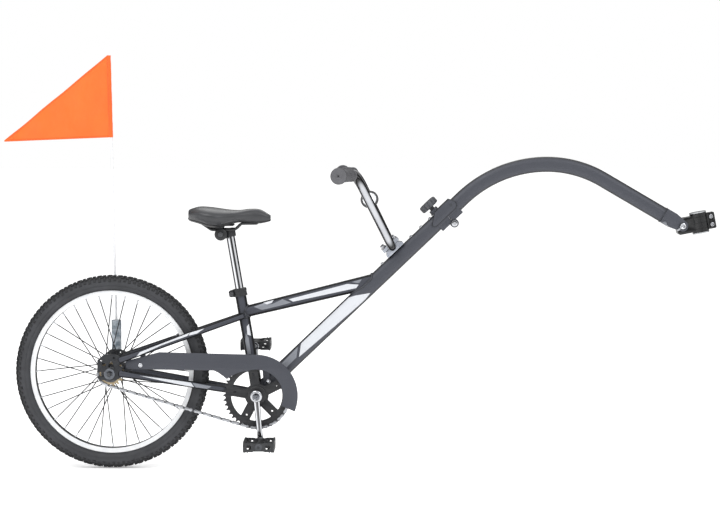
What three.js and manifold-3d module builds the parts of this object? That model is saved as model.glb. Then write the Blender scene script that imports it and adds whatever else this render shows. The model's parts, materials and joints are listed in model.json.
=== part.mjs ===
// A child's trailer bike: one driven wheel, a folding tow arm and a hitch for an adult bicycle's seatpost.
// Millimetres. X runs forward, Y to the rider's left, Z up. The drive side is -Y.
// The origin is the middle of the hitch bushing, where the tow bicycle's seatpost passes through.
import * as THREE from 'three';
import { mergeVertices } from 'three/addons/utils/BufferGeometryUtils.js';
import Module from 'manifold-3d';

const wasm = await Module();
wasm.setup();

// Fits and clearances
const touchGap = 0.3;
const runningGap = 0.4;
const cutOverrun = 6;
const mergeDistance = 0.0001;

// Layout of the rear frame
const axleToCrank = 383.7;
const crankHeight = 195.9;
const mainTubeAngle = 43.7;
const seatTubeLean = 9.6;
const seatTubeLength = 279;
const topTubeDrop = 63;
const topTubeSetback = 90.4;
const hingeAhead = 159;

// Main, top and seat tubes and the rear stays
const mainTubeHeight = 41;
const mainTubeWidth = 31;
const topTubeRearHeight = 30;
const topTubeFrontHeight = 38;
const topTubeWidth = 27;
const seatTubeDiameter = 28.6;
const shellDiameter = 42;
const shellWidth = 68;
const shellBore = 35;
const chainstayDiameter = 17;
const chainstayRootOffset = 19;
const seatstayDiameter = 16;
const seatstayRootOffset = 20;
const seatstayDrop = 71;

// Dropouts
const dropoutInside = 55;
const dropoutThickness = 5;
const dropoutRear = 31;
const dropoutFront = 33;
const dropoutTop = 51;
const dropoutBottom = 15.5;
const dropoutOutlineShares = [
  [-1, -0.6], [-0.85, -1], [0.55, -1], [1, -0.45], [1, 0.34],
  [0.62, 0.46], [0.97, 0.62], [0.8, 0.9], [0.42, 1], [-0.45, 1], [-1, 0.7],
];
const dropoutHoleShares = [[-0.15, 0.38], [0.45, 0.25], [0.15, 0.7]];
const dropoutSquare = 9;
const dropoutSquareShares = [-0.45, 0.49];
const eyeletDiameter = 5.5;
const eyeletShares = [-0.69, 0.68];
const axleSlotFront = 7;
const stayEndForward = 27;
const chainstayEndRise = 1;
const seatstayEndRise = 36;
const stayTongueDepth = 12;

// Seatpost, collar and saddle
const seatpostDiameter = 22.2;
const seatpostInsert = 110;
const seatpostDrop = 92;
const seatpostTop = 439;
const collarHeight = 20;
const collarWall = 3.5;
const collarEarLength = 11;
const collarEarThickness = 7;
const collarSlot = 2.4;
const clampSleeveWall = 3.5;
const clampSleeveHeight = 22;
const knuckleSetback = 21.6;
const knuckleHeight = 427;
const knuckleRadius = 13;
const knuckleWidth = 30;
const clampBoltDiameter = 8;
const railDiscRadius = 16;
const railOuterDiscWidth = 5;
const railDiameter = 7;
const railSpread = 22;
const railRise = 11.6;
const railRearRun = 24;
const railFrontRun = 36;
const railLift = 16;
const railRearReach = 24;
const railNoseReach = 76;
const railNoseSpread = 9;
const railBendRadius = 14;
const railNoseBendShare = 0.9;
const saddleLength = 213;
const saddleWidth = 152;
const saddleHeight = 57;
const saddleRearFromPost = 104;
const saddleBottomHeight = 440.5;
const saddleRecessRear = 42;
const saddleRecessFront = 66;
const saddleRecessWidth = 68;
const saddleRecessTop = 30;
const saddleRoundSteps = 18;
const saddleLengthSteps = 18;

// Steering bar and its clamp, placed along the main tube
const barClampDistance = 520;
const barDiameter = 22.2;
const barRise = 16;
const clampBaseLength = 55;
const clampBaseWidth = 38;
const clampCapLength = 52;
const clampCapRise = 27;
const clampCrownRise = 3;
const clampEdgeDrop = 1.2;
const clampShoulderShare = 0.45;
const clampTopShare = 0.75;
const clampCrownShares = [0.28, 0.4];
const positionPitch = 35.5;
const barBoltDiameter = 8;
const barBoltHead = 13;
const barBoltHeadHeight = 9;
const barCentreHalf = 62;
const barUprightBack = 92;
const barUprightOut = 103;
const barUprightUp = 187;
const barGripReach = 150;
const barSweep = 15.5;
const barBendRadius = 55;
const gripLength = 113;
const gripRadius = 15.8;
const gripFlangeRadius = 18;
const gripFlangeWidth = 5;
const gripDiscRadius = 20.4;
const gripDiscWidth = 7;
const gripDiscBevel = 1.5;
const gripEndWall = 5;
const gripRibCount = 4;
const gripGrooveShare = 0.94;
const reflectorRadius = 24;
const reflectorDepth = 9;
const reflectorRim = 2;
const reflectorUp = 111;
const reflectorClampWidth = 12;
const reflectorClampWall = 2.5;

// Wheel
const tyreWidth = 50;
const rimOuterRadius = 213;
const rimDepth = 12.5;
const tyreHeight = 40.5;
const rimWidth = 27;
const rimWall = 1.6;
const rimBedDepth = 8;
const rimSpineShare = 0.88;
const tyreSideShares = [[0.36, 1], [0.78, 0.86], [1, 0.3]];
const spokeCount = 36;
const spokeDiameter = 2.2;
const spokeLacingAngle = 62;
const spokeOffset = 1.9;
const hubFlangeRadius = 23;
const hubFlangeWidth = 3;
const hubFlangeRight = 24;
const hubFlangeLeft = 31;
const hubBodyRadius = 14;
const hubHalfWidth = 46.5;
const hubBossRadius = 17;
const axleDiameter = 10;
const axleConeRadius = 8.5;
const axleHalfLength = 75;
const axleNutFlats = 15;
const axleNutWidth = 8;

// Chain drive
const chainPitch = 12.7;
const chainringTeeth = 42;
const sprocketTeeth = 16;
const chainLine = 40;
const chainClearWidth = 3.4;
const chainPlate = 1;
const chainLinkHeight = 8.4;
const chainInnerDrop = 0.5;
const chainEndShare = 0.5;
const rollerDiameter = 7.75;
const toothWidth = 2.8;
const toothRise = 3.3;
const toothRootHalf = 1.95;
const toothTipHalf = 0.95;
const chainringArms = 5;
const chainringArmAngle = 26.6;
const chainringArmWidth = 25;
const windowInnerRadius = 31;
const chainringRimDepth = 18.5;
const windowCorner = 7;
const armHoleRadius = 57;
const armHoleDiameter = 6;
const sprocketBodyDepth = 8.5;
const sprocketBodyInside = 33.5;
const sprocketBodyOutside = 45.5;

// Cranks and pedals
const crankLength = 118;
const crankLead = 5.3;
const crankArmDiameter = 14;
const crankBossRadius = 15;
const crankBossInside = 38;
const crankOutside = 66;
const crankFlangeRadius = 24;
const crankFlangeWidth = 3.5;
const crankEyeRadius = 11;
const spindleDiameter = 17;
const spindleEndInset = 4;
const cupFlangeRadius = 22;
const cupFlangeWidth = 3;
const cupDepth = 14;
const pedalAxleDiameter = 12;
const pedalAxleLength = 92;
const pedalCollarRadius = 9;
const pedalCollarWidth = 2.7;
const pedalLength = 79;
const pedalWidth = 84;
const pedalHeight = 28;
const pedalPlate = 7;
const pedalRibWidth = 7;
const pedalRibHeight = 15;
const pedalBarrelRadius = 11;
const pedalToothCount = 4;
const pedalToothDepth = 3.5;
const pedalHoleRadius = 5;
const pedalEndWall = 4;

// Chainguard and its brackets
const guardPlane = 47.2;
const guardThickness = 2.2;
const guardOuterRise = 22;
const guardInnerDrop = 17;
const guardFrontAngle = -22.5;
const guardCuspAngle = 143.8;
const guardTopRear = 272;
const guardTopRearDrop = 12.3;
const guardRearReach = 339;
const guardRearTopDrop = 8.3;
const guardRearBottomRise = 14.6;
const guardLowerRise = 70;
const guardLowerReach = 123.5;
const guardBracketDistance = 44;
const guardBracketRise = 4.6;
const guardBracketWidth = 16;
const guardBracketThickness = 3;
const guardBracketOver = 13;
const guardClipReach = 294;
const guardClipLength = 34.1;
const guardClipWidth = 14;
const guardClipThickness = 2.4;

// Flag and its holder on the left end of the axle
const holderPlateThickness = 3;
const holderPlateWidth = 22;
const holderBottom = 44.5;
const holderTop = 127.5;
const holderDiameter = 25.6;
const holderWall = 1.6;
const holderWeldDepth = 1;
const holderWeldWidth = 4;
const poleLean = 1.1;
const poleDiameter = 6.2;
const poleTop = 827.5;
const poleFootLength = 70;
const poleFootLift = 6;
const flagTop = 826;
const flagBottom = 611;
const flagReach = 282;
const flagTipDrop = 6;
const flagThickness = 1.6;
const flagSleeveDiameter = 12;
const flagFoldDepth = 11;
const flagFoldCount = 2.6;
const flagFoldSlant = 1.2;
const flagFoldFade = 0.4;
const flagTipShare = 0.015;
const flagLengthSteps = 18;
const flagHeightSteps = 4;

// Fold hinge, its coupler and the clamp knob, measured from the split of the main tube
const hingeDrop = 32;
const hingeKnuckleRadius = 11;
const hingeInnerKnuckle = 16;
const hingeOuterKnuckle = 32;
const hingeBoltDiameter = 10;
const hingeHeadRadius = 9;
const hingeHeadWidth = 4.5;
const leafLength = 36;
const leafWidth = 28;
const leafDepth = 6;
const leafSetback = 1.5;
const leafHeel = 6;
const couplerRear = 46;
const couplerFront = 40;
const couplerSkirt = 6;
const couplerWall = 4;
const couplerRearRise = 22;
const couplerCorner = 15;
const couplerClear = 0.6;
const knobDistance = 16;
const knobBossRadius = 12;
const knobBossRise = 33;
const knobStemDiameter = 13;
const knobRadius = 25;
const knobFlutes = 12;
const knobFluteDepth = 1.6;
const knobBottom = 39.5;
const knobHeight = 18;
const knobCrown = 2.5;
const knobCrownShare = 0.55;
const knobFluteSteps = 4;

// Tow arm, fork and hitch
const armHeight = 39.5;
const armWidth = 31;
const armFirstLeg = 187;
const armCrestLeg = 204.5;
const armLastLeg = 259.3;
const armRearBend = 315;
const armFrontBend = 289;
const armDropAngle = 30.3;
const armBendSteps = 5;
const forkLength = 56.4;
const forkWidth = 40;
const forkEndRadius = 14.4;
const forkSlotDepth = 29;
const pinDiameter = 12;
const pinHeadRadius = 8.5;
const pinHeadWidth = 5;
const pinTail = 8;
const tongueLength = 46.5;
const hitchLean = 11;
const tongueWidth = 31;
const tongueRear = 15;
const tongueTop = 20;
const tongueBottom = 22;
const tongueCorner = 5;
const strapRadius = 21.8;
const strapHeight = 49.4;
const bushingRadius = 18;
const bushingBore = 27.4;
const bushingFlangeWidth = 3;
const earReach = 41;
const earHeight = 43;
const earWidth = 20;
const earSlot = 4;
const hitchBoltSetout = 30.5;
const hitchBoltSpacing = 21;
const hitchBoltDiameter = 6;
const hitchBoltHead = 5.5;
const hitchBoltHeadWidth = 4.5;

// Facets round the pieces
const tubeRoundSteps = 2;
const tubeSides = 10;
const roundSides = 16;
const eyeSides = 12;
const smallSides = 6;
const hexSides = 6;
const bendSteps = 3;
const wireSides = 6;
const railBendSteps = 2;
const spokeSides = 3;
const tyreSegments = spokeCount;

// Places worked out from the sizes above
const radians = THREE.MathUtils.degToRad;
const rightAngle = 90;
const rimInnerRadius = rimOuterRadius - rimDepth;
const tyreRadius = rimOuterRadius + tyreHeight;
const hingeDistance = barClampDistance + hingeAhead;
const seatTubeHeading = rightAngle + seatTubeLean;
const topTubeRootHeight = seatTubeLength - topTubeDrop;
const seatstayRootHeight = seatTubeLength - seatstayDrop;
const chainringRadius = pitchRadius(chainringTeeth);
const sprocketBodyRadius = pitchRadius(sprocketTeeth) - sprocketBodyDepth;
const windowOuterRadius = chainringRadius - chainringRimDepth;
const guardOuterRadius = chainringRadius + guardOuterRise;
const guardInnerRadius = chainringRadius - guardInnerDrop;
const guardBracketReach = chainringRadius + guardBracketOver;
const axleDrop = tyreRadius - crankHeight;
const crankForward = Math.sqrt(axleToCrank ** 2 - axleDrop ** 2);
const wheelCentre = new THREE.Vector3(0, 0, tyreRadius);
const crankCentre = new THREE.Vector3(crankForward, 0, crankHeight);
const dropoutOutside = dropoutInside + dropoutThickness;
const stayOffset = (dropoutInside + dropoutOutside) / 2;

// Finishes
function finish(color, roughness, metalness) {
  return new THREE.MeshStandardMaterial({ color, roughness, metalness });
}
const framePaint = finish(0x4a4d54, 0.45, 0.35);
const blackSteel = finish(0x232427, 0.5, 0.4);
const chrome = finish(0xc9ccd0, 0.15, 1);
const castAluminium = finish(0xb4b8bf, 0.35, 0.9);
const bareSteel = finish(0x8d9096, 0.4, 0.8);
const brassGold = finish(0xb28a3e, 0.4, 0.8);
const galvanised = finish(0x97a3b3, 0.55, 0.7);
const rubber = finish(0x3a3b3e, 0.9, 0);
const vinyl = finish(0x3c3d41, 0.7, 0);
const blackPlastic = finish(0x1d1e20, 0.6, 0);
const whitePlastic = finish(0xe8e9ea, 0.4, 0);
const orangeCloth = finish(0xff8038, 0.85, 0);

// Solids, joins and cuts
function vec(x, y, z) {
  return new THREE.Vector3(x, y, z);
}

function signedVolume(position, faces) {
  const a = vec(0, 0, 0);
  const b = vec(0, 0, 0);
  const c = vec(0, 0, 0);
  let sum = 0;
  for (let i = 0; i < faces.length; i += 3) {
    a.fromBufferAttribute(position, faces[i]);
    b.fromBufferAttribute(position, faces[i + 1]);
    c.fromBufferAttribute(position, faces[i + 2]);
    sum += a.dot(b.cross(c));
  }
  return sum / 6;
}

// Turns a geometry into a solid whose vertices are shared and whose faces point out.
function toSolid(geometry) {
  const bare = new THREE.BufferGeometry();
  bare.setAttribute('position', geometry.getAttribute('position'));
  bare.setIndex(geometry.index);
  const merged = mergeVertices(bare, mergeDistance);
  const faces = [];
  for (let i = 0; i < merged.index.count; i += 3) {
    const corners = [0, 1, 2].map((k) => merged.index.getX(i + k));
    if (new Set(corners).size === 3) {
      faces.push(...corners);
    }
  }
  const position = merged.getAttribute('position');
  if (signedVolume(position, faces) < 0) {
    faces.reverse();
  }
  const vertProperties = Float32Array.from(position.array);
  const triVerts = Uint32Array.from(faces);
  return new wasm.Manifold(new wasm.Mesh({ numProp: 3, vertProperties, triVerts }));
}

function join(first, ...others) {
  return others.reduce((whole, other) => whole.add(other), first);
}

function cut(first, ...others) {
  return others.reduce((whole, other) => whole.subtract(other), first);
}

function addPiece(group, name, solid, material) {
  const { vertProperties, triVerts } = solid.getMesh();
  const geometry = new THREE.BufferGeometry();
  geometry.setAttribute('position', new THREE.BufferAttribute(vertProperties, 3));
  geometry.setIndex(new THREE.BufferAttribute(triVerts, 1));
  const piece = new THREE.Mesh(geometry, material);
  piece.name = name;
  group.add(piece);
  return piece;
}

// A box between two opposite corners.
function box(from, to) {
  const size = to.clone().sub(from);
  const geometry = new THREE.BoxGeometry(Math.abs(size.x), Math.abs(size.y), Math.abs(size.z));
  const middle = from.clone().add(to).divideScalar(2);
  return toSolid(geometry.translate(middle.x, middle.y, middle.z));
}

// A round rod between two points.
function rod(from, to, radius, sides = tubeSides) {
  const along = to.clone().sub(from);
  const geometry = new THREE.CylinderGeometry(radius, radius, along.length(), sides);
  const turn = new THREE.Quaternion().setFromUnitVectors(vec(0, 1, 0), along.clone().normalize());
  geometry.applyQuaternion(turn);
  const middle = from.clone().add(to).divideScalar(2);
  return toSolid(geometry.translate(middle.x, middle.y, middle.z));
}

// A round rod along Y, centred on (x, z).
function crossRod(x, z, radius, fromY, toY, sides = tubeSides) {
  return rod(vec(x, fromY, z), vec(x, toY, z), radius, sides);
}

// The radius of a faceted hole whose flat sides lie at the wanted radius.
function boreRadius(radius, sides) {
  return radius / Math.cos(Math.PI / sides);
}

function bore(from, to, radius, sides = roundSides) {
  return rod(from, to, boreRadius(radius, sides), sides);
}

function crossBore(x, z, radius, fromY, toY, sides = roundSides) {
  return crossRod(x, z, boreRadius(radius, sides), fromY, toY, sides);
}

// A round hole in a flat outline.
function roundHole(x, z, radius, sides = smallSides) {
  const points = [];
  for (let i = 0; i < sides; i += 1) {
    const angle = (2 * Math.PI * i) / sides;
    const reach = boreRadius(radius, sides);
    points.push([x + Math.cos(angle) * reach, z + Math.sin(angle) * reach]);
  }
  return polygon(points);
}

// An XZ outline given a thickness along Y.
function plate(shape, fromY, toY, curveSegments = bendSteps) {
  const depth = Math.abs(toY - fromY);
  const geometry = new THREE.ExtrudeGeometry(shape, { depth, curveSegments, steps: 1, bevelEnabled: false });
  geometry.rotateX(Math.PI / 2);
  return toSolid(geometry.translate(0, Math.max(fromY, toY), 0));
}

function polygon(points) {
  return new THREE.Shape(points.map(([x, z]) => new THREE.Vector2(x, z)));
}

// A ring or spool turned about Y, from [radius, y] points that close on themselves or meet the axis.
function turned(points, segments) {
  const profile = points.map(([radius, y]) => new THREE.Vector2(radius, y));
  return toSolid(new THREE.LatheGeometry(profile, segments));
}

function closedRing(points, segments) {
  return turned([...points, points[0]], segments);
}

// A path with its own stations: straight legs take one step and bends take several.
class StationPath extends THREE.Curve {
  constructor(points, tangents) {
    super();
    this.points = points;
    this.tangents = tangents;
  }

  stationAt(share) {
    return Math.round(share * (this.points.length - 1));
  }

  getPoint(share) {
    return this.points[this.stationAt(share)].clone();
  }

  getPointAt(share) {
    return this.getPoint(share);
  }

  getTangentAt(share) {
    return this.tangents[this.stationAt(share)].clone();
  }

  // A path that stays in an XZ plane keeps its section upright all along.
  computeFrenetFrames(segments, closed) {
    if (this.tangents.some((tangent) => Math.abs(tangent.y) > mergeDistance)) {
      return super.computeFrenetFrames(segments, closed);
    }
    const normals = this.tangents.map(() => vec(0, 1, 0));
    const binormals = this.tangents.map((tangent) => tangent.clone().cross(vec(0, 1, 0)));
    return { tangents: this.tangents, normals, binormals };
  }
}

// A path through corner points whose inner corners are rounded to the given radii.
function roundedPath(corners, radii, steps = bendSteps) {
  const points = [corners[0].clone()];
  const tangents = [corners[1].clone().sub(corners[0]).normalize()];
  for (let i = 1; i < corners.length - 1; i += 1) {
    const before = corners[i].clone().sub(corners[i - 1]).normalize();
    const after = corners[i + 1].clone().sub(corners[i]).normalize();
    const turn = before.angleTo(after);
    const back = radii[i - 1] * Math.tan(turn / 2);
    const inward = after.clone().sub(before).normalize();
    const centre = corners[i].clone().addScaledVector(inward, radii[i - 1] / Math.cos(turn / 2));
    const start = corners[i].clone().addScaledVector(before, -back).sub(centre);
    const axis = before.clone().cross(after).normalize();
    for (let step = 0; step <= steps; step += 1) {
      const angle = (turn * step) / steps;
      points.push(start.clone().applyAxisAngle(axis, angle).add(centre));
      tangents.push(before.clone().applyAxisAngle(axis, angle));
    }
  }
  const last = corners.length - 1;
  points.push(corners[last].clone());
  tangents.push(corners[last].clone().sub(corners[last - 1]).normalize());
  return new StationPath(points, tangents);
}

function sweep(shape, path, curveSegments = tubeRoundSteps) {
  const steps = path.points.length - 1;
  return toSolid(new THREE.ExtrudeGeometry(shape, { steps, extrudePath: path, curveSegments }));
}

function roundSection(radius) {
  return new THREE.Shape().absarc(0, 0, radius, 0, 2 * Math.PI, false);
}

// The flat-sided oval section of the frame tubes: height runs along Y of the shape.
function ovalSection(height, width) {
  const shape = new THREE.Shape();
  const rise = (height - width) / 2;
  shape.absarc(0, rise, width / 2, 0, Math.PI, false);
  shape.absarc(0, -rise, width / 2, Math.PI, 2 * Math.PI, false);
  return shape;
}

function straightPath(from, to) {
  const along = to.clone().sub(from).normalize();
  return new StationPath([from, to], [along, along]);
}

function ovalTube(from, to, height, width) {
  return sweep(ovalSection(height, width), straightPath(from, to));
}

// The direction in the XZ plane at an angle above forward, in degrees.
function heading(angle) {
  return vec(Math.cos(radians(angle)), 0, Math.sin(radians(angle)));
}

const bike = new THREE.Group();

function frameGroup(name, parent, position, pitch) {
  const group = new THREE.Group();
  group.name = name;
  group.position.copy(position);
  group.rotation.y = -radians(pitch);
  parent.add(group);
  return group;
}

const origin = vec(0, 0, 0);
const wheelGroup = frameGroup('wheel_axis', bike, wheelCentre, 0);
const crankGroup = frameGroup('crank_axis', bike, crankCentre, 0);
const tubeGroup = frameGroup('main_tube_line', bike, crankCentre, mainTubeAngle);
const seatGroup = frameGroup('seat_tube_line', bike, crankCentre, seatTubeLean);
const armGroup = frameGroup('fold_split', tubeGroup, vec(hingeDistance, 0, 0), 0);

// Frame tubes, each cut to sit on the tube that it is welded to
const shellReach = shellDiameter / 2 + touchGap;

function shellCutter() {
  return crossBore(0, 0, shellReach, -shellWidth, shellWidth);
}

function addBottomBracket() {
  const shell = crossRod(0, 0, shellDiameter / 2, -shellWidth / 2, shellWidth / 2, roundSides);
  const hole = crossBore(0, 0, shellBore / 2, -shellWidth, shellWidth);
  addPiece(crankGroup, 'bottom_bracket_shell', cut(shell, hole), framePaint);
}

function addMainTube() {
  const end = vec(hingeDistance - touchGap / 2, 0, 0);
  const tube = ovalTube(origin, end, mainTubeHeight, mainTubeWidth);
  const seatTubeEnd = heading(seatTubeHeading - mainTubeAngle).multiplyScalar(seatTubeLength);
  const seatTubeCut = bore(origin, seatTubeEnd, seatTubeDiameter / 2 + touchGap);
  addPiece(tubeGroup, 'main_tube', cut(tube, shellCutter(), seatTubeCut), framePaint);
}

function addSeatTube() {
  const top = vec(0, 0, seatTubeLength);
  const tube = rod(origin, top, seatTubeDiameter / 2, roundSides);
  const boreBottom = vec(0, 0, seatTubeLength - seatpostInsert - seatpostDrop);
  const boreTop = vec(0, 0, seatTubeLength + cutOverrun);
  const hole = bore(boreBottom, boreTop, seatpostDiameter / 2 + touchGap);
  addPiece(seatGroup, 'seat_tube', cut(tube, shellCutter(), hole), framePaint);
}

// The top tube grows taller towards the front, from the seat tube to the main tube.
function addTopTube() {
  const start = heading(seatTubeHeading).multiplyScalar(topTubeRootHeight);
  const meeting = heading(mainTubeAngle).multiplyScalar(barClampDistance - topTubeSetback);
  const along = meeting.clone().sub(start);
  const length = along.length();
  const section = ovalSection(topTubeRearHeight, topTubeWidth);
  const geometry = new THREE.ExtrudeGeometry(section, {
    steps: 1,
    curveSegments: tubeRoundSteps,
    extrudePath: straightPath(origin, vec(length, 0, 0)),
  });
  const position = geometry.getAttribute('position');
  for (let i = 0; i < position.count; i += 1) {
    const growth = topTubeFrontHeight / topTubeRearHeight - 1;
    const factor = 1 + (growth * position.getX(i)) / length;
    position.setZ(i, position.getZ(i) * factor);
  }
  geometry.rotateY(-Math.atan2(along.z, along.x));
  geometry.translate(start.x, start.y, start.z);
  const seatTubeEnd = heading(seatTubeHeading).multiplyScalar(seatTubeLength);
  const seatTubeCut = bore(origin, seatTubeEnd, seatTubeDiameter / 2 + touchGap);
  const mainEnd = heading(mainTubeAngle).multiplyScalar(hingeDistance);
  const mainCut = ovalTube(origin, mainEnd, mainTubeHeight + 2 * touchGap, mainTubeWidth + 2 * touchGap);
  addPiece(crankGroup, 'top_tube', cut(toSolid(geometry), seatTubeCut, mainCut), framePaint);
}

// A rear stay from the frame to the tongue of its dropout, slotted over the plate.
function rearStay(side, root, endRise, diameter, cutters) {
  const end = vec(stayEndForward, side * stayOffset, tyreRadius + endRise);
  const stay = rod(root, end, diameter / 2);
  const back = end.clone().sub(root).normalize();
  const slotStart = end.clone().addScaledVector(back, -stayTongueDepth);
  const half = dropoutThickness / 2 + touchGap;
  const slotOutline = new THREE.Shape().absarc(end.x, end.z, stayTongueDepth, 0, 2 * Math.PI, false);
  const slot = plate(slotOutline, side * stayOffset - half, side * stayOffset + half);
  const rearEnd = box(
    vec(slotStart.x - diameter, side * stayOffset - half, end.z - diameter),
    vec(end.x, side * stayOffset + half, end.z + diameter),
  );
  return cut(stay, slot, rearEnd, ...cutters);
}

function addStays() {
  const shell = crossBore(crankCentre.x, crankCentre.z, shellReach, -shellWidth, shellWidth);
  const seatTop = crankCentre.clone().addScaledVector(heading(seatTubeHeading), seatTubeLength);
  const seatTubeCut = bore(crankCentre, seatTop, seatTubeDiameter / 2 + touchGap);
  const seatRoot = crankCentre.clone().addScaledVector(heading(seatTubeHeading), seatstayRootHeight);
  for (const [side, name] of [[-1, 'right'], [1, 'left']]) {
    const chainRoot = vec(crankCentre.x, side * chainstayRootOffset, crankCentre.z);
    const chainstay = rearStay(side, chainRoot, chainstayEndRise, chainstayDiameter, [shell]);
    addPiece(bike, `chainstay_${name}`, chainstay, framePaint);
    const root = vec(seatRoot.x, side * seatstayRootOffset, seatRoot.z);
    const seatstay = rearStay(side, root, seatstayEndRise, seatstayDiameter, [seatTubeCut]);
    addPiece(bike, `seatstay_${name}`, seatstay, framePaint);
  }
}

// A steel plate with a rear-facing axle slot, an eyelet and lightening holes.
function addDropouts() {
  const place = ([x, z]) => [
    x * (x < 0 ? dropoutRear : dropoutFront),
    z * (z < 0 ? dropoutBottom : dropoutTop),
  ];
  const outline = polygon(dropoutOutlineShares.map(place));
  outline.holes.push(polygon(dropoutHoleShares.map(place)));
  const [squareX, squareZ] = place(dropoutSquareShares);
  const [eyeletX, eyeletZ] = place(eyeletShares);
  outline.holes.push(roundHole(eyeletX, eyeletZ, eyeletDiameter / 2));
  const half = dropoutSquare / 2;
  outline.holes.push(polygon([
    [squareX - half, squareZ - half], [squareX + half, squareZ - half],
    [squareX + half, squareZ + half], [squareX - half, squareZ + half],
  ]));
  const slotHalf = axleDiameter / 2 + touchGap;
  const slotFront = axleSlotFront - slotHalf;
  const slot = new THREE.Shape();
  slot.moveTo(-dropoutRear - cutOverrun, -slotHalf);
  slot.lineTo(slotFront, -slotHalf);
  slot.absarc(slotFront, 0, slotHalf, -Math.PI / 2, Math.PI / 2, false);
  slot.lineTo(-dropoutRear - cutOverrun, slotHalf);
  for (const [side, name] of [[-1, 'right'], [1, 'left']]) {
    const inner = side * dropoutInside;
    const outer = side * dropoutOutside;
    const body = plate(outline, inner, outer);
    const slotCut = plate(slot, inner - side * cutOverrun, outer + side * cutOverrun);
    addPiece(wheelGroup, `dropout_${name}`, cut(body, slotCut), framePaint);
  }
}

// Wheel: tyre, rim, and hub with its laced spokes
function addTyreAndRim() {
  const half = tyreWidth / 2;
  const bead = rimWidth / 2 - rimWall - touchGap;
  const bed = rimOuterRadius - rimBedDepth + touchGap;
  const lip = rimOuterRadius + touchGap;
  const height = tyreRadius - rimOuterRadius;
  const side = [[bed, bead], [lip, bead]];
  for (const [rise, out] of tyreSideShares) {
    side.push([rimOuterRadius + rise * height, out * half]);
  }
  const mirrored = side.map(([radius, y]) => [radius, -y]).reverse();
  addPiece(wheelGroup, 'tyre', closedRing([...side, ...mirrored], tyreSegments), rubber);
  const wall = rimWidth / 2;
  const rimSide = [
    [rimOuterRadius - rimBedDepth, wall - rimWall],
    [rimOuterRadius, wall - rimWall],
    [rimOuterRadius, wall],
    [rimInnerRadius, rimSpineShare * wall],
  ];
  const rimMirror = rimSide.map(([radius, y]) => [radius, -y]).reverse();
  addPiece(wheelGroup, 'rim', closedRing([...rimSide, ...rimMirror], tyreSegments), chrome);
}

// Spokes leave the flanges on a slant, every second pair forwards and the others backwards.
function addHubAndSpokes() {
  const coneHole = boreRadius(axleConeRadius + runningGap, eyeSides);
  const axleHole = boreRadius(axleDiameter / 2 + runningGap, eyeSides);
  const seat = hubHalfWidth - hubFlangeWidth;
  const shell = closedRing([
    [coneHole, -hubHalfWidth], [hubBossRadius, -hubHalfWidth],
    [hubBossRadius, -hubFlangeRight - hubFlangeWidth], [hubFlangeRadius, -hubFlangeRight - hubFlangeWidth],
    [hubFlangeRadius, -hubFlangeRight], [hubBodyRadius, -hubFlangeRight + hubFlangeWidth],
    [hubBodyRadius, hubFlangeLeft - hubFlangeWidth], [hubFlangeRadius, hubFlangeLeft],
    [hubFlangeRadius, hubFlangeLeft + hubFlangeWidth], [hubBodyRadius, hubFlangeLeft + hubFlangeWidth],
    [hubBodyRadius, hubHalfWidth], [coneHole, hubHalfWidth],
    [coneHole, seat], [axleHole, seat], [axleHole, -seat], [coneHole, -seat],
  ], eyeSides);
  const spokes = [];
  const holeRadius = hubFlangeRadius - hubFlangeWidth;
  const tipRadius = rimInnerRadius - 2 * touchGap;
  for (let i = 0; i < spokeCount; i += 1) {
    const rimAngle = (360 * i) / spokeCount;
    const left = i % 2 === 0;
    const forward = Math.floor(i / 2) % 2 === 0;
    const hubAngle = rimAngle + (forward ? spokeLacingAngle : -spokeLacingAngle);
    const flange = left ? hubFlangeLeft + hubFlangeWidth / 2 : -hubFlangeRight - hubFlangeWidth / 2;
    const offset = forward ? spokeOffset : -spokeOffset;
    const from = heading(hubAngle).multiplyScalar(holeRadius).setY(flange + offset);
    const to = heading(rimAngle).multiplyScalar(tipRadius);
    spokes.push(rod(from, to, spokeDiameter / 2, spokeSides));
  }
  addPiece(wheelGroup, 'hub_and_spokes', join(shell, ...spokes), bareSteel);
}

function hexNut(flats, fromY, toY, holeRadius) {
  const nut = crossRod(0, 0, boreRadius(flats / 2, hexSides), fromY, toY, hexSides);
  const hole = crossBore(0, 0, holeRadius, fromY - cutOverrun, toY + cutOverrun, tubeSides);
  return cut(nut, hole);
}

function addAxle() {
  const radius = axleDiameter / 2;
  const coneOutside = dropoutInside - touchGap;
  const coneInside = hubHalfWidth - hubFlangeWidth + touchGap;
  const axle = turned([
    [0, -axleHalfLength], [radius, -axleHalfLength], [radius, -coneOutside], [axleConeRadius, -coneOutside],
    [axleConeRadius, -coneInside], [radius, -coneInside], [radius, coneInside], [axleConeRadius, coneInside],
    [axleConeRadius, coneOutside], [radius, coneOutside], [radius, axleHalfLength], [0, axleHalfLength],
  ], tubeSides);
  addPiece(wheelGroup, 'wheel_axle', axle, bareSteel);
  const hole = radius + touchGap;
  const right = -dropoutOutside - touchGap;
  addPiece(wheelGroup, 'axle_nut_right', hexNut(axleNutFlats, right - axleNutWidth, right, hole), bareSteel);
  const left = dropoutOutside + holderPlateThickness + 2 * touchGap;
  addPiece(wheelGroup, 'axle_nut_left', hexNut(axleNutFlats, left, left + axleNutWidth, hole), bareSteel);
}

// Chain drive: the loop is walked pin by pin, and both toothed wheels take their phase from it
function pitchRadius(teeth) {
  return chainPitch / 2 / Math.sin(Math.PI / teeth);
}

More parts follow.
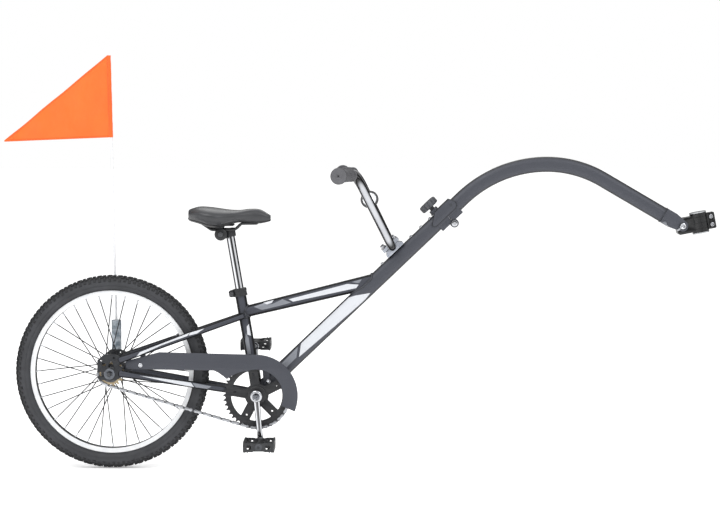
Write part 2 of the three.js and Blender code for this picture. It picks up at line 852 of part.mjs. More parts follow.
function chainLoop() {
  const ring = pitchRadius(chainringTeeth);
  const sprocket = pitchRadius(sprocketTeeth);
  const slope = Math.asin((ring - sprocket) / axleToCrank);
  const sprocketWraps = Math.round(((Math.PI - 2 * slope) / (2 * Math.PI)) * sprocketTeeth);
  const idealRing = ((Math.PI + 2 * slope) / (2 * Math.PI)) * chainringTeeth;
  const ringWraps = 2 * Math.round((idealRing + sprocketWraps) / 2) - sprocketWraps;
  const toAxle = Math.atan2(axleDrop, -crankForward);
  const pins = [];
  for (let i = 0; i <= ringWraps; i += 1) {
    const angle = toAxle + Math.PI + ((i - ringWraps / 2) * 2 * Math.PI) / chainringTeeth;
    pins.push(vec(Math.cos(angle) * ring, 0, Math.sin(angle) * ring).add(crankCentre));
  }
  const back = [];
  for (let i = 0; i <= sprocketWraps; i += 1) {
    const angle = toAxle + ((i - sprocketWraps / 2) * 2 * Math.PI) / sprocketTeeth;
    back.push(vec(Math.cos(angle) * sprocket, 0, Math.sin(angle) * sprocket).add(wheelCentre));
  }
  const run = back[0].clone().sub(pins[pins.length - 1]);
  const runLinks = Math.round(run.length() / chainPitch);
  const upper = [];
  const lower = [];
  for (let i = 1; i < runLinks; i += 1) {
    upper.push(pins[pins.length - 1].clone().lerp(back[0], i / runLinks));
    lower.push(back[back.length - 1].clone().lerp(pins[0], i / runLinks));
  }
  return { pins: [...pins, ...upper, ...back, ...lower], ringStart: pins[0], sprocketStart: back[0] };
}

const loop = chainLoop();

// A link seen from the side, running a little past each of its two pins.
function linkOutline(length, height) {
  const half = height / 2;
  const end = length / 2 + chainEndShare * half;
  return polygon([[-end, -half], [end, -half], [end, half], [-end, half]]);
}

function addChain() {
  const links = [];
  const windows = [];
  const count = loop.pins.length;
  for (let i = 0; i < count; i += 1) {
    const from = loop.pins[i];
    const to = loop.pins[(i + 1) % count];
    const along = to.clone().sub(from);
    const length = along.length();
    const inner = i % 2 === 0;
    const half = chainClearWidth / 2 + chainPlate * (inner ? 1 : 2);
    const outline = linkOutline(length, chainLinkHeight - (inner ? 2 * chainInnerDrop : 0));
    const options = { depth: 2 * half, steps: 1, bevelEnabled: false };
    const link = new THREE.ExtrudeGeometry(outline, options).rotateX(Math.PI / 2).translate(0, half, 0);
    const gap = length - rollerDiameter;
    const window = new THREE.BoxGeometry(gap, chainClearWidth, 2 * chainLinkHeight);
    const turn = -Math.atan2(along.z, along.x);
    for (const [list, geometry] of [[links, link], [windows, window]]) {
      geometry.rotateY(turn);
      geometry.translate((from.x + to.x) / 2, -chainLine, (from.z + to.z) / 2);
      list.push(toSolid(geometry));
    }
  }
  addPiece(bike, 'chain', cut(join(...links), ...windows), bareSteel);
}

// A toothed outline whose gaps hold the rollers: the first pin of the loop sits between two teeth.
function toothedShape(teeth, firstPin) {
  const pitch = pitchRadius(teeth);
  const root = pitch * Math.cos(Math.PI / teeth) - chainLinkHeight / 2 - touchGap;
  const tip = pitch + toothRise;
  const points = [];
  for (let i = 0; i < teeth; i += 1) {
    const angle = firstPin + ((i + 0.5) * 2 * Math.PI) / teeth;
    const tooth = [[root, -toothRootHalf], [tip, -toothTipHalf], [tip, toothTipHalf], [root, toothRootHalf]];
    for (const [radius, side] of tooth) {
      const x = radius * Math.cos(angle) - side * Math.sin(angle);
      const z = radius * Math.sin(angle) + side * Math.cos(angle);
      points.push([x, z]);
    }
  }
  return polygon(points);
}

function pinAngle(pin, centre) {
  return Math.atan2(pin.z - centre.z, pin.x - centre.x);
}

// One opening between two arms: sides parallel to the arms, corners taken off at the rim.
function chainringWindow(middle) {
  const halfAt = (radius) => Math.PI / chainringArms - Math.asin(chainringArmWidth / 2 / radius);
  const shoulder = windowOuterRadius - windowCorner;
  const outerHalf = halfAt(windowOuterRadius) - windowCorner / windowOuterRadius;
  const corners = [
    [windowInnerRadius, -halfAt(windowInnerRadius)],
    [shoulder, -halfAt(shoulder)],
    [windowOuterRadius, -outerHalf],
    [windowOuterRadius, outerHalf],
    [shoulder, halfAt(shoulder)],
    [windowInnerRadius, halfAt(windowInnerRadius)],
  ];
  return polygon(corners.map(([radius, angle]) => [
    radius * Math.cos(middle + angle),
    radius * Math.sin(middle + angle),
  ]));
}

function addChainring() {
  const shape = toothedShape(chainringTeeth, pinAngle(loop.ringStart, crankCentre));
  shape.holes.push(roundHole(0, 0, crankBossRadius + touchGap, roundSides));
  for (let i = 0; i < chainringArms; i += 1) {
    const arm = radians(chainringArmAngle) + (i * 2 * Math.PI) / chainringArms;
    shape.holes.push(chainringWindow(arm + Math.PI / chainringArms));
    const x = Math.cos(arm) * armHoleRadius;
    const z = Math.sin(arm) * armHoleRadius;
    shape.holes.push(roundHole(x, z, armHoleDiameter / 2));
  }
  const half = toothWidth / 2;
  addPiece(crankGroup, 'chainring', plate(shape, -chainLine - half, -chainLine + half), blackSteel);
}

function addSprocket() {
  const shape = toothedShape(sprocketTeeth, pinAngle(loop.sprocketStart, wheelCentre));
  const half = toothWidth / 2;
  const teeth = plate(shape, -chainLine - half, -chainLine + half);
  const body = crossRod(0, 0, sprocketBodyRadius, -sprocketBodyOutside, -sprocketBodyInside, roundSides);
  const hole = crossBore(0, 0, hubBossRadius + runningGap, -hubHalfWidth - cutOverrun, -hubFlangeRight);
  addPiece(wheelGroup, 'freewheel_sprocket', cut(join(teeth, body), hole), brassGold);
}

// Cranks, spindle and its bearing cups
function addCranks() {
  const armMiddle = crankOutside - crankArmDiameter / 2;
  for (const [side, name] of [[-1, 'right'], [1, 'left']]) {
    const away = heading(side * rightAngle + crankLead).multiplyScalar(crankLength);
    const boss = crossRod(0, 0, crankBossRadius, side * crankBossInside, side * crankOutside, roundSides);
    const armStart = vec(0, side * armMiddle, 0);
    const arm = rod(armStart, armStart.clone().add(away), crankArmDiameter / 2);
    const eyeInside = side * (crankOutside - crankArmDiameter);
    const eye = crossRod(away.x, away.z, crankEyeRadius, eyeInside, side * crankOutside, eyeSides);
    const flangeStart = side * (chainLine + toothWidth / 2 + touchGap);
    const flangeEnd = flangeStart + side * crankFlangeWidth;
    const flange = crossRod(0, 0, crankFlangeRadius, flangeStart, flangeEnd, roundSides);
    const solid = side < 0 ? join(boss, arm, eye, flange) : join(boss, arm, eye);
    const outside = side * (crankOutside + cutOverrun);
    const spindleHole = crossBore(0, 0, spindleDiameter / 2 + touchGap, 0, outside, tubeSides);
    const axleHole = crossBore(away.x, away.z, pedalAxleDiameter / 2 + touchGap, 0, outside, tubeSides);
    addPiece(crankGroup, `crank_${name}`, cut(solid, spindleHole, axleHole), chrome);
    addPedal(side, name, away);
  }
  const spindleHalf = crankOutside - spindleEndInset;
  const spindle = crossRod(0, 0, spindleDiameter / 2, -spindleHalf, spindleHalf);
  addPiece(crankGroup, 'crank_spindle', spindle, bareSteel);
}

function addBearingCups() {
  for (const [side, name] of [[-1, 'right'], [1, 'left']]) {
    const face = shellWidth / 2;
    const inner = boreRadius(spindleDiameter / 2 + runningGap, roundSides);
    const sleeve = shellBore / 2 - touchGap;
    const deep = side * (face - cupDepth);
    const seat = side * (face + touchGap);
    const rim = side * (face + touchGap + cupFlangeWidth);
    const cup = closedRing([
      [inner, deep], [sleeve, deep], [sleeve, seat],
      [cupFlangeRadius, seat], [cupFlangeRadius, rim], [inner, rim],
    ], roundSides);
    addPiece(crankGroup, `bearing_cup_${name}`, cup, blackSteel);
  }
}

// The toothed front and back plates of a pedal, seen from the front: width along the shape's X.
function pedalPlateShape() {
  const half = pedalHeight / 2;
  const tooth = pedalWidth / pedalToothCount;
  const top = [];
  for (let i = 0; i < pedalToothCount; i += 1) {
    top.push([i * tooth, half], [(i + 0.5) * tooth, half - pedalToothDepth]);
  }
  top.push([pedalWidth, half]);
  const bottom = top.map(([y, z]) => [y, -z]).reverse();
  const shape = polygon([...top, ...bottom]);
  for (let i = 1; i < pedalToothCount; i += 1) {
    shape.holes.push(roundHole(i * tooth, 0, pedalHoleRadius));
  }
  return shape;
}

function addPedal(side, name, away) {
  const group = frameGroup(`pedal_axis_${name}`, crankGroup, vec(away.x, side * crankOutside, away.z), 0);
  const collarOutside = pedalCollarWidth + touchGap;
  const axle = join(
    crossRod(0, 0, pedalAxleDiameter / 2, -side * crankArmDiameter, side * (pedalAxleLength - pedalEndWall)),
    crossRod(0, 0, pedalCollarRadius, side * touchGap, side * collarOutside),
  );
  addPiece(group, `pedal_axle_${name}`, axle, bareSteel);
  const inside = collarOutside + runningGap;
  const outside = inside + pedalWidth;
  const plates = [1, -1].map((end) => {
    const geometry = new THREE.ExtrudeGeometry(pedalPlateShape(), {
      depth: pedalPlate, steps: 1, bevelEnabled: false,
    });
    const stand = new THREE.Matrix4().makeBasis(vec(0, side, 0), vec(0, 0, 1), vec(side, 0, 0));
    geometry.applyMatrix4(stand);
    const middle = (end * (pedalLength - pedalPlate)) / 2;
    return toSolid(geometry.translate(middle - (side * pedalPlate) / 2, side * inside, 0));
  });
  const ribs = [0, 0.5, 1].map((share) => {
    const start = inside + share * (pedalWidth - pedalRibWidth);
    const reach = (pedalLength - pedalPlate) / 2;
    return box(
      vec(-reach, side * start, -pedalRibHeight / 2),
      vec(reach, side * (start + pedalRibWidth), pedalRibHeight / 2),
    );
  });
  const barrel = crossRod(0, 0, pedalBarrelRadius, side * inside, side * outside);
  const boreEnd = side * (pedalAxleLength - pedalEndWall + runningGap);
  const hole = crossBore(0, 0, pedalAxleDiameter / 2 + runningGap, 0, boreEnd, tubeSides);
  const pedal = cut(join(...plates, ...ribs, barrel), hole);
  addPiece(group, `pedal_${name}`, pedal, blackPlastic);
}

// The height above the crank of a stay's middle line, at a distance behind the crank.
function stayHeightAt(root, endRise, reach) {
  const end = wheelCentre.clone().sub(crankCentre).add(vec(stayEndForward, 0, endRise));
  const share = (-reach - root.x) / (end.x - root.x);
  return root.z + share * (end.z - root.z);
}

function seatstayHeight(reach) {
  const root = heading(seatTubeHeading).multiplyScalar(seatstayRootHeight);
  return stayHeightAt(root, seatstayEndRise, reach);
}

function chainstayHeight(reach) {
  return stayHeightAt(origin, chainstayEndRise, reach);
}

// Chainguard: a tail over the chain's upper run and a band round the chainring
function addChainguard() {
  const start = radians(guardFrontAngle);
  const cusp = radians(guardCuspAngle);
  const shape = new THREE.Shape();
  shape.absarc(0, 0, guardOuterRadius, start, Math.PI / 2, false);
  shape.lineTo(-guardTopRear, seatstayHeight(guardTopRear) - guardTopRearDrop);
  shape.lineTo(-guardRearReach, seatstayHeight(guardRearReach) - guardRearTopDrop);
  shape.lineTo(-guardRearReach, chainstayHeight(guardRearReach) + guardRearBottomRise);
  shape.lineTo(-guardLowerReach, guardLowerRise);
  shape.absarc(0, 0, guardInnerRadius, cusp, start, true);
  const solid = plate(shape, -guardPlane - guardThickness, -guardPlane, tubeSides);
  addPiece(crankGroup, 'chainguard', solid, framePaint);
}

// The front bracket stands on the main tube, rises behind the chainring and reaches out over the chain.
function addGuardBrackets() {
  const foot = heading(mainTubeAngle).multiplyScalar(guardBracketDistance);
  foot.addScaledVector(heading(mainTubeAngle + rightAngle), guardBracketRise);
  const up = foot.clone().normalize();
  const out = up.clone().multiplyScalar(guardBracketReach);
  const half = guardBracketWidth / 2;
  const inner = -mainTubeWidth / 2 - touchGap;
  const upright = new THREE.ExtrudeGeometry(polygon([
    [foot.length() - half, -half],
    [guardBracketReach, -half],
    [guardBracketReach, half],
    [foot.length() - half, half],
  ]), { depth: guardBracketThickness, steps: 1, bevelEnabled: false });
  upright.rotateX(Math.PI / 2).translate(0, inner, 0).rotateY(-Math.atan2(out.z, out.x));
  const shelf = new THREE.BoxGeometry(
    guardBracketThickness,
    guardPlane - touchGap + inner,
    guardBracketWidth,
  );
  shelf.translate(guardBracketReach - guardBracketThickness / 2, (inner - guardPlane + touchGap) / 2, 0);
  shelf.rotateY(-Math.atan2(out.z, out.x));
  addPiece(crankGroup, 'chainguard_bracket_front', join(toSolid(upright), toSolid(shelf)), framePaint);

  // The rear bracket hangs from the right seatstay, between the chain and the guard.
  const root = heading(seatTubeHeading).multiplyScalar(seatstayRootHeight);
  root.y = -seatstayRootOffset;
  const end = wheelCentre.clone().sub(crankCentre).add(vec(stayEndForward, -stayOffset, seatstayEndRise));
  const stayCut = bore(root, end, seatstayDiameter / 2 + touchGap);
  const clipTop = seatstayHeight(guardClipReach);
  const outer = -guardPlane + touchGap;
  const clip = box(
    vec(-guardClipReach - guardClipWidth / 2, outer, clipTop - guardClipLength),
    vec(-guardClipReach + guardClipWidth / 2, outer + guardClipThickness, clipTop),
  );
  addPiece(crankGroup, 'chainguard_bracket_rear', cut(clip, stayCut), framePaint);
}

// Seatpost, collar, saddle clamp, rails and saddle
function addSeatpostAndCollar() {
  const bottom = vec(0, 0, seatTubeLength - seatpostInsert);
  const post = rod(bottom, vec(0, 0, seatpostTop), seatpostDiameter / 2, roundSides);
  addPiece(seatGroup, 'seatpost', post, chrome);
  const inner = seatTubeDiameter / 2 + touchGap;
  const outer = inner + collarWall;
  const low = seatTubeLength - collarHeight;
  const band = rod(vec(0, 0, low), vec(0, 0, seatTubeLength), outer, roundSides);
  const ears = box(
    vec(-outer - collarEarLength, -collarEarThickness - collarSlot / 2, low),
    vec(0, collarEarThickness + collarSlot / 2, seatTubeLength),
  );
  const hole = bore(vec(0, 0, low - cutOverrun), vec(0, 0, seatTubeLength + cutOverrun), inner);
  const slot = box(
    vec(-outer - collarEarLength - cutOverrun, -collarSlot / 2, low - cutOverrun),
    vec(0, collarSlot / 2, seatTubeLength + cutOverrun),
  );
  addPiece(seatGroup, 'seat_collar', cut(join(band, ears), hole, slot), blackSteel);
}

function addSaddleClamp() {
  const sleeveRadius = seatpostDiameter / 2 + touchGap + clampSleeveWall;
  const middle = knuckleHeight;
  const low = vec(0, 0, middle - clampSleeveHeight / 2);
  const high = vec(0, 0, middle + clampSleeveHeight / 2);
  const sleeve = rod(low, high, sleeveRadius, roundSides);
  const half = knuckleWidth / 2;
  const knuckle = crossRod(-knuckleSetback, middle, knuckleRadius, -half, half, roundSides);
  const web = box(
    vec(-knuckleSetback, -half, middle - clampSleeveHeight / 2),
    vec(0, half, middle + clampSleeveHeight / 2),
  );
  const postHole = bore(
    vec(0, 0, middle - clampSleeveHeight),
    vec(0, 0, middle + clampSleeveHeight),
    seatpostDiameter / 2 + touchGap,
  );
  const boltRadius = clampBoltDiameter / 2 + runningGap;
  const boltHole = crossBore(-knuckleSetback, middle, boltRadius, -knuckleWidth, knuckleWidth);
  addPiece(seatGroup, 'saddle_clamp', cut(join(sleeve, knuckle, web), postHole, boltHole), blackSteel);
}

const knuckleCentre = seatpostPoint(-knuckleSetback, knuckleHeight);
const saddleGroup = frameGroup('saddle_tilt_axis', bike, knuckleCentre, 0);

function seatpostPoint(forward, height) {
  const point = crankCentre.clone().addScaledVector(heading(seatTubeHeading), height);
  return point.addScaledVector(heading(seatTubeLean), forward);
}

function railCorners() {
  const up = railRise;
  const corners = [
    vec(-railRearRun - railRearReach, -railSpread, up + railLift),
    vec(-railRearRun, -railSpread, up),
    vec(railFrontRun, -railSpread, up),
    vec(railFrontRun + railLift, -railSpread + railNoseSpread / 2, up + railLift),
    vec(railNoseReach + railLift, -railNoseSpread, up + railLift),
  ];
  const mirrored = corners.map((corner) => vec(corner.x, -corner.y, corner.z)).reverse();
  return [...corners, ...mirrored];
}

function railWire(radius) {
  const corners = railCorners();
  const radii = corners.slice(1, -1).map(() => railBendRadius);
  const noseStart = corners.length / 2 - 1;
  radii[noseStart - 1] = railNoseSpread * railNoseBendShare;
  radii[noseStart] = railNoseSpread * railNoseBendShare;
  return sweep(roundSection(radius), roundedPath(corners, radii, railBendSteps), wireSides / 2);
}

function addRailsAndDiscs() {
  addPiece(saddleGroup, 'saddle_rails', railWire(railDiameter / 2), blackSteel);
  const bolt = clampBoltDiameter / 2;
  const discInside = knuckleWidth / 2 + touchGap;
  const discOutside = railSpread - railDiameter / 2 - touchGap;
  const outerInside = railSpread + railDiameter / 2 + touchGap;
  const outerOutside = outerInside + railOuterDiscWidth;
  const side = [
    [bolt, discInside],
    [railDiscRadius, discInside],
    [railDiscRadius, discOutside],
    [bolt, discOutside],
    [bolt, outerInside],
    [railDiscRadius, outerInside],
    [railDiscRadius, outerOutside],
    [0, outerOutside],
  ];
  const mirrored = side.map(([radius, y]) => [radius, -y]).reverse();
  addPiece(saddleGroup, 'rail_clamp', turned([...mirrored, ...side], eyeSides), blackSteel);
}

// The saddle's outline from above and from the side, as shares along its length from the back
const saddleEndPower = 0.42;
const saddleSquarePower = 0.75;
const saddleDrawInShare = 0.3;
const saddleWaistShare = 0.55;
const saddleWidthShares = [0.72, 0.93, 1, 0.93, 0.72, 0.48, 0.34, 0.29, 0.27];
const saddleTopShares = [0.8, 0.98, 1, 0.92, 0.86, 0.84, 0.88, 0.88, 0.66];
const saddleBottomShares = [0.34, 0.14, 0.02, 0, 0.1, 0.2, 0.19, 0.18, 0.3];

function shareAt(shares, place) {
  const last = shares.length - 1;
  const curve = new THREE.SplineCurve(shares.map((value, i) => new THREE.Vector2(i / last, value)));
  return curve.getPoint(place).y;
}

// A padded saddle: a crowned top, drawn-in sides and a narrow nose.
function addSaddle() {
  const geometry = new THREE.SphereGeometry(1, saddleRoundSteps, saddleLengthSteps);
  const position = geometry.getAttribute('position');
  for (let i = 0; i < position.count; i += 1) {
    const along = position.getY(i);
    const across = position.getX(i);
    const upward = position.getZ(i);
    const ring = Math.hypot(across, upward);
    const place = (1 - along) / 2;
    const end = ring ** saddleEndPower;
    const cosine = ring > 0 ? across / ring : 0;
    const sine = ring > 0 ? upward / ring : 0;
    const square = Math.abs(cosine) ** saddleSquarePower * Math.sign(cosine);
    const drawnIn = sine < 0 ? 1 - saddleDrawInShare * sine * sine : 1;
    const y = (saddleWidth / 2) * shareAt(saddleWidthShares, place) * end * square * drawnIn;
    const top = shareAt(saddleTopShares, place);
    const bottom = shareAt(saddleBottomShares, place);
    const middle = (saddleWaistShare * top + (1 - saddleWaistShare) * bottom) * saddleHeight;
    const reach = (sine > 0 ? top * saddleHeight - middle : middle - bottom * saddleHeight) * end;
    position.setXYZ(i, place * saddleLength, y, middle + reach * sine);
  }
  const back = seatpostPoint(0, saddleBottomHeight);
  geometry.translate(back.x - saddleRearFromPost - knuckleCentre.x, 0, back.z - knuckleCentre.z);
  const recess = box(
    vec(-saddleRecessRear, -saddleRecessWidth / 2, 0),
    vec(saddleRecessFront, saddleRecessWidth / 2, saddleRecessTop),
  );
  const solid = cut(toSolid(geometry), railWire(railDiameter / 2 + 2 * touchGap), recess);
  addPiece(saddleGroup, 'saddle', solid, vinyl);
}

// Steering bar, its clamp on the main tube, the grips and the reflector
const clampGroup = frameGroup('bar_clamp_line', tubeGroup, vec(barClampDistance, 0, mainTubeHeight / 2), 0);

function addBarClamp() {
  const half = clampBaseLength / 2;
  const capHalf = clampCapLength / 2;
  const width = clampBaseWidth / 2;
  const barHole = crossBore(0, barRise, barDiameter / 2 + touchGap, -clampBaseWidth, clampBaseWidth);
  const holes = [-1, 1].map((end) => {
    const x = (end * positionPitch) / 2;
    const holeRadius = barBoltDiameter / 2 + touchGap;
    return bore(vec(x, 0, -cutOverrun), vec(x, 0, 2 * clampCapRise), holeRadius, smallSides);
  });
  const shoulder = clampShoulderShare * barRise;
  const topHalf = clampTopShare * half;
  const base = plate(polygon([
    [-half, touchGap], [half, touchGap], [half, shoulder], [topHalf, barRise - touchGap],
    [-topHalf, barRise - touchGap], [-half, shoulder],
  ]), -width, width);
  addPiece(clampGroup, 'bar_clamp_base', cut(base, barHole, ...holes), castAluminium);
  const [crownHalf, seatHalf] = clampCrownShares.map((share) => share * capHalf);
  const edge = clampCapRise - clampEdgeDrop;
  const crown = clampCapRise + clampCrownRise;
  const cap = plate(polygon([
    [-capHalf, barRise + touchGap], [capHalf, barRise + touchGap], [capHalf, edge],
    [seatHalf, clampCapRise], [crownHalf, crown], [-crownHalf, crown],
    [-seatHalf, clampCapRise], [-capHalf, edge],
  ]), -width, width);
  addPiece(clampGroup, 'bar_clamp_cap', cut(cap, barHole, ...holes), castAluminium);
}

function addBarBolts() {
  for (const [end, name] of [[-1, 'rear'], [1, 'front']]) {
    const x = (end * positionPitch) / 2;
    const headBottom = clampCapRise + touchGap;
    const shankTop = headBottom + barBoltHeadHeight / 2;
    const shank = rod(vec(x, 0, touchGap), vec(x, 0, shankTop), barBoltDiameter / 2, smallSides);
    const headTop = headBottom + barBoltHeadHeight;
    const head = rod(vec(x, 0, headBottom), vec(x, 0, headTop), barBoltHead / 2, hexSides);
    addPiece(clampGroup, `bar_bolt_${name}`, join(shank, head), chrome);
  }
}

const barCentre = crankCentre.clone()
  .addScaledVector(heading(mainTubeAngle), barClampDistance)
  .addScaledVector(heading(mainTubeAngle + rightAngle), mainTubeHeight / 2 + barRise);
const barGroup = frameGroup('bar_axis', bike, barCentre, 0);

function barCorners() {
  const bend = vec(-barUprightBack, -barCentreHalf - barUprightOut, barUprightUp);
  const sweepBack = radians(barSweep);
  const gripDirection = vec(-Math.sin(sweepBack), -Math.cos(sweepBack), 0);
  const tip = bend.clone().addScaledVector(gripDirection, barGripReach);
  const right = [tip, bend, vec(0, -barCentreHalf, 0)];
  const left = right.map((corner) => vec(corner.x, -corner.y, corner.z)).reverse();
  return { corners: [...right, ...left], gripDirection, tip };
}

function addHandlebar() {
  const { corners, gripDirection, tip } = barCorners();
  const radii = corners.slice(1, -1).map(() => barBendRadius);
  const bar = sweep(roundSection(barDiameter / 2), roundedPath(corners, radii), tubeSides / 2);
  addPiece(barGroup, 'handlebar', bar, chrome);
  for (const [side, name] of [[1, 'right'], [-1, 'left']]) {
    addGrip(vec(tip.x, side * tip.y, tip.z), vec(gripDirection.x, side * gripDirection.y, 0), name);
  }
}

// A ribbed grip with a wide safety disc on its closed end and a small lip towards the bend.
function addGrip(tip, direction, name) {
  const hole = boreRadius(barDiameter / 2 + touchGap, eyeSides);
  const end = gripEndWall + touchGap;
  const ribs = [];
  const groove = gripGrooveShare * gripRadius;
  const ribPitch = (gripLength - gripFlangeWidth - gripDiscWidth) / gripRibCount;
  for (let i = 0; i < gripRibCount; i += 1) {
    const y = end - gripDiscWidth - i * ribPitch;
    ribs.push([gripRadius, y], [groove, y - ribPitch / 2]);
  }
  const flangeStart = end - gripLength + gripFlangeWidth;
  const grip = turned([
    [0, end], [gripDiscRadius - gripDiscBevel, end], [gripDiscRadius, end - gripDiscBevel],
    [gripDiscRadius, end - gripDiscWidth], ...ribs,
    [groove, flangeStart], [gripFlangeRadius, flangeStart],
    [gripFlangeRadius, end - gripLength], [hole, end - gripLength], [hole, touchGap], [0, touchGap],
  ], eyeSides);
  const piece = addPiece(barGroup, `grip_${name}`, grip, rubber);
  piece.quaternion.setFromUnitVectors(vec(0, 1, 0), direction);
  piece.position.copy(tip);
}

// A round reflector whose band goes round the left upright of the bar.
function addReflector() {
  const along = vec(-barUprightBack, barUprightOut, barUprightUp).normalize();
  const facing = vec(0, -1, 0).addScaledVector(along, along.y).normalize();
  const across = along.clone().cross(facing);
  const inner = barDiameter / 2 + touchGap;
  const bandOuter = inner + reflectorClampWall;
  const half = reflectorClampWidth / 2;
  const band = crossRod(0, 0, bandOuter, -half, half, roundSides);
  const discStart = bandOuter - reflectorRim / 2;
  const disc = rod(vec(0, 0, discStart), vec(0, 0, discStart + reflectorDepth), reflectorRadius, roundSides);
  const dishStart = discStart + reflectorDepth - reflectorRim;
  const dishEnd = vec(0, 0, dishStart + cutOverrun);
  const dish = rod(vec(0, 0, dishStart), dishEnd, reflectorRadius - reflectorRim, roundSides);
  const barHole = crossBore(0, 0, inner, -reflectorRadius, reflectorRadius);
  const piece = addPiece(barGroup, 'reflector', cut(join(band, disc), barHole, dish), whitePlastic);
  const stand = new THREE.Matrix4().makeBasis(across, along, facing);
  piece.quaternion.setFromRotationMatrix(stand);
  const up = reflectorUp / barUprightUp;
  piece.position.set(-barUprightBack * up, barCentreHalf + barUprightOut * up, reflectorUp);
}

// Flag holder, pole and flag on the left end of the axle
const holderPlane = dropoutOutside + touchGap;
const poleLineY = holderPlane + holderPlateThickness + holderDiameter / 2 - holderWeldDepth;

function addFlagHolder() {
  const half = holderPlateWidth / 2;
  const shape = new THREE.Shape();
  shape.absarc(0, 0, half, Math.PI, 2 * Math.PI, false);
  shape.lineTo(half, holderTop - holderPlateWidth);
  shape.lineTo(-half, holderTop - holderPlateWidth);
  shape.holes.push(roundHole(0, 0, axleDiameter / 2 + touchGap, tubeSides));
  const bracket = plate(shape, holderPlane, holderPlane + holderPlateThickness);
  const low = vec(0, poleLineY, holderBottom);
  const high = vec(0, poleLineY, holderTop);
  const tube = rod(low, high, holderDiameter / 2, roundSides);
  const socket = bore(
    vec(0, poleLineY, holderBottom + holderPlateThickness),
    vec(0, poleLineY, holderTop + cutOverrun),
    holderDiameter / 2 - holderWall,
  );
  const inside = box(
    vec(-half, holderPlane, -half),
    vec(half, holderPlane + holderPlateThickness, holderTop),
  );
  const keptTube = cut(tube, inside);
  addPiece(wheelGroup, 'flag_holder', join(bracket, cut(keptTube, socket), weldStrip()), galvanised);
}

// The weld that carries the socket on its plate.
function weldStrip() {
  const from = holderPlane + holderPlateThickness - holderWeldDepth;
  return box(
    vec(-holderWeldWidth / 2, from, holderBottom),
    vec(holderWeldWidth / 2, from + holderWeldDepth + holderWall, holderTop - holderPlateWidth),
  );
}

const poleGroup = frameGroup('flag_pole_line', wheelGroup, vec(0, poleLineY, holderTop), poleLean);

function addFlagPole() {
  const footRadius = holderDiameter / 2 - holderWall - 2 * touchGap;
  const bottom = holderBottom - holderTop + poleFootLift;
  const foot = rod(vec(0, 0, bottom), vec(0, 0, bottom + poleFootLength), footRadius - poleFootLean());
  const pole = rod(vec(0, 0, bottom), vec(0, 0, poleTop - holderTop), poleDiameter / 2, smallSides);
  addPiece(poleGroup, 'flag_pole', join(foot, pole), whitePlastic);
}

function poleFootLean() {
  return Math.tan(radians(poleLean)) * (holderTop - holderBottom);
}

// The pennant hangs in soft folds that run out from the pole; its back edge is sewn into a sleeve.
function addFlag() {
  const top = flagTop - holderTop;
  const bottom = flagBottom - holderTop;
  const sleeve = rod(vec(0, 0, bottom), vec(0, 0, top), flagSleeveDiameter / 2);
  const geometry = new THREE.BoxGeometry(1, flagThickness, 1, flagLengthSteps, 1, flagHeightSteps);
  const position = geometry.getAttribute('position');
  const height = flagTop - flagBottom;
  for (let i = 0; i < position.count; i += 1) {
    const out = 0.5 - position.getX(i);
    const up = position.getZ(i) + 0.5;
    const side = position.getY(i);
    const spread = height * (1 - (1 - flagTipShare) * out);
    const x = -out * flagReach;
    const z = bottom - flagTipDrop * out + up * spread;
    const phase = 2 * Math.PI * flagFoldCount * out + flagFoldSlant * up;
    const wave = Math.sin(phase) * flagFoldDepth * out * (1 - flagFoldFade * out);
    position.setXYZ(i, x, side + wave, z);
  }
  const cloth = toSolid(geometry);
  const hole = bore(
    vec(0, 0, bottom - cutOverrun),
    vec(0, 0, top + cutOverrun),
    poleDiameter / 2 + touchGap,
    smallSides,
  );
  addPiece(poleGroup, 'flag', cut(join(sleeve, cloth), hole), orangeCloth);
}

// Fold hinge: leaves under both tubes, knuckles round one bolt
function leafBlock(direction) {
  const near = direction * leafSetback;
  const far = direction * leafLength;
  const low = -mainTubeHeight / 2 - leafDepth;
  const block = plate(polygon([
    [near, -hingeDrop], [near, -mainTubeHeight / 4], [far, -mainTubeHeight / 4], [far, low],
    [direction * leafHeel, low],
  ]), -leafWidth / 2, leafWidth / 2);
  const tube = ovalTube(
    vec(-leafLength * 2, 0, 0),
    vec(leafLength * 2, 0, 0),
    mainTubeHeight + 2 * touchGap,
    mainTubeWidth + 2 * touchGap,
  );
  return cut(block, tube);
}

function knuckle(radius, fromY, toY) {
  return crossRod(0, -hingeDrop, radius, fromY, toY, roundSides);
}

function addHingeLeaves() {
  const clear = hingeKnuckleRadius + runningGap;
  const inner = hingeInnerKnuckle / 2;
  const outer = hingeOuterKnuckle / 2;
  const holeEnd = outer + cutOverrun;
  const hole = crossBore(0, -hingeDrop, hingeBoltDiameter / 2 + runningGap, -holeEnd, holeEnd);
  const frameLeaf = join(
    cut(leafBlock(-1), knuckle(clear, -outer, -inner), knuckle(clear, inner, outer)),
    knuckle(hingeKnuckleRadius, -inner, inner),
  );
  addPiece(armGroup, 'frame_hinge_leaf', cut(frameLeaf, hole), framePaint);
  const apart = inner + touchGap;
  const armLeaf = join(
    cut(leafBlock(1), knuckle(clear, -apart, apart)),
    knuckle(hingeKnuckleRadius, -outer, -apart),
    knuckle(hingeKnuckleRadius, apart, outer),
  );
  addPiece(armGroup, 'arm_hinge_leaf', cut(armLeaf, hole), framePaint);
  const head = outer + touchGap;
  const bolt = join(
    knuckle(hingeBoltDiameter / 2, -head - hingeHeadWidth, head + hingeHeadWidth),
    knuckle(hingeHeadRadius, -head - hingeHeadWidth, -head),
    knuckle(hingeHeadRadius, head, head + hingeHeadWidth),
  );
  addPiece(armGroup, 'hinge_bolt', bolt, bareSteel);
}

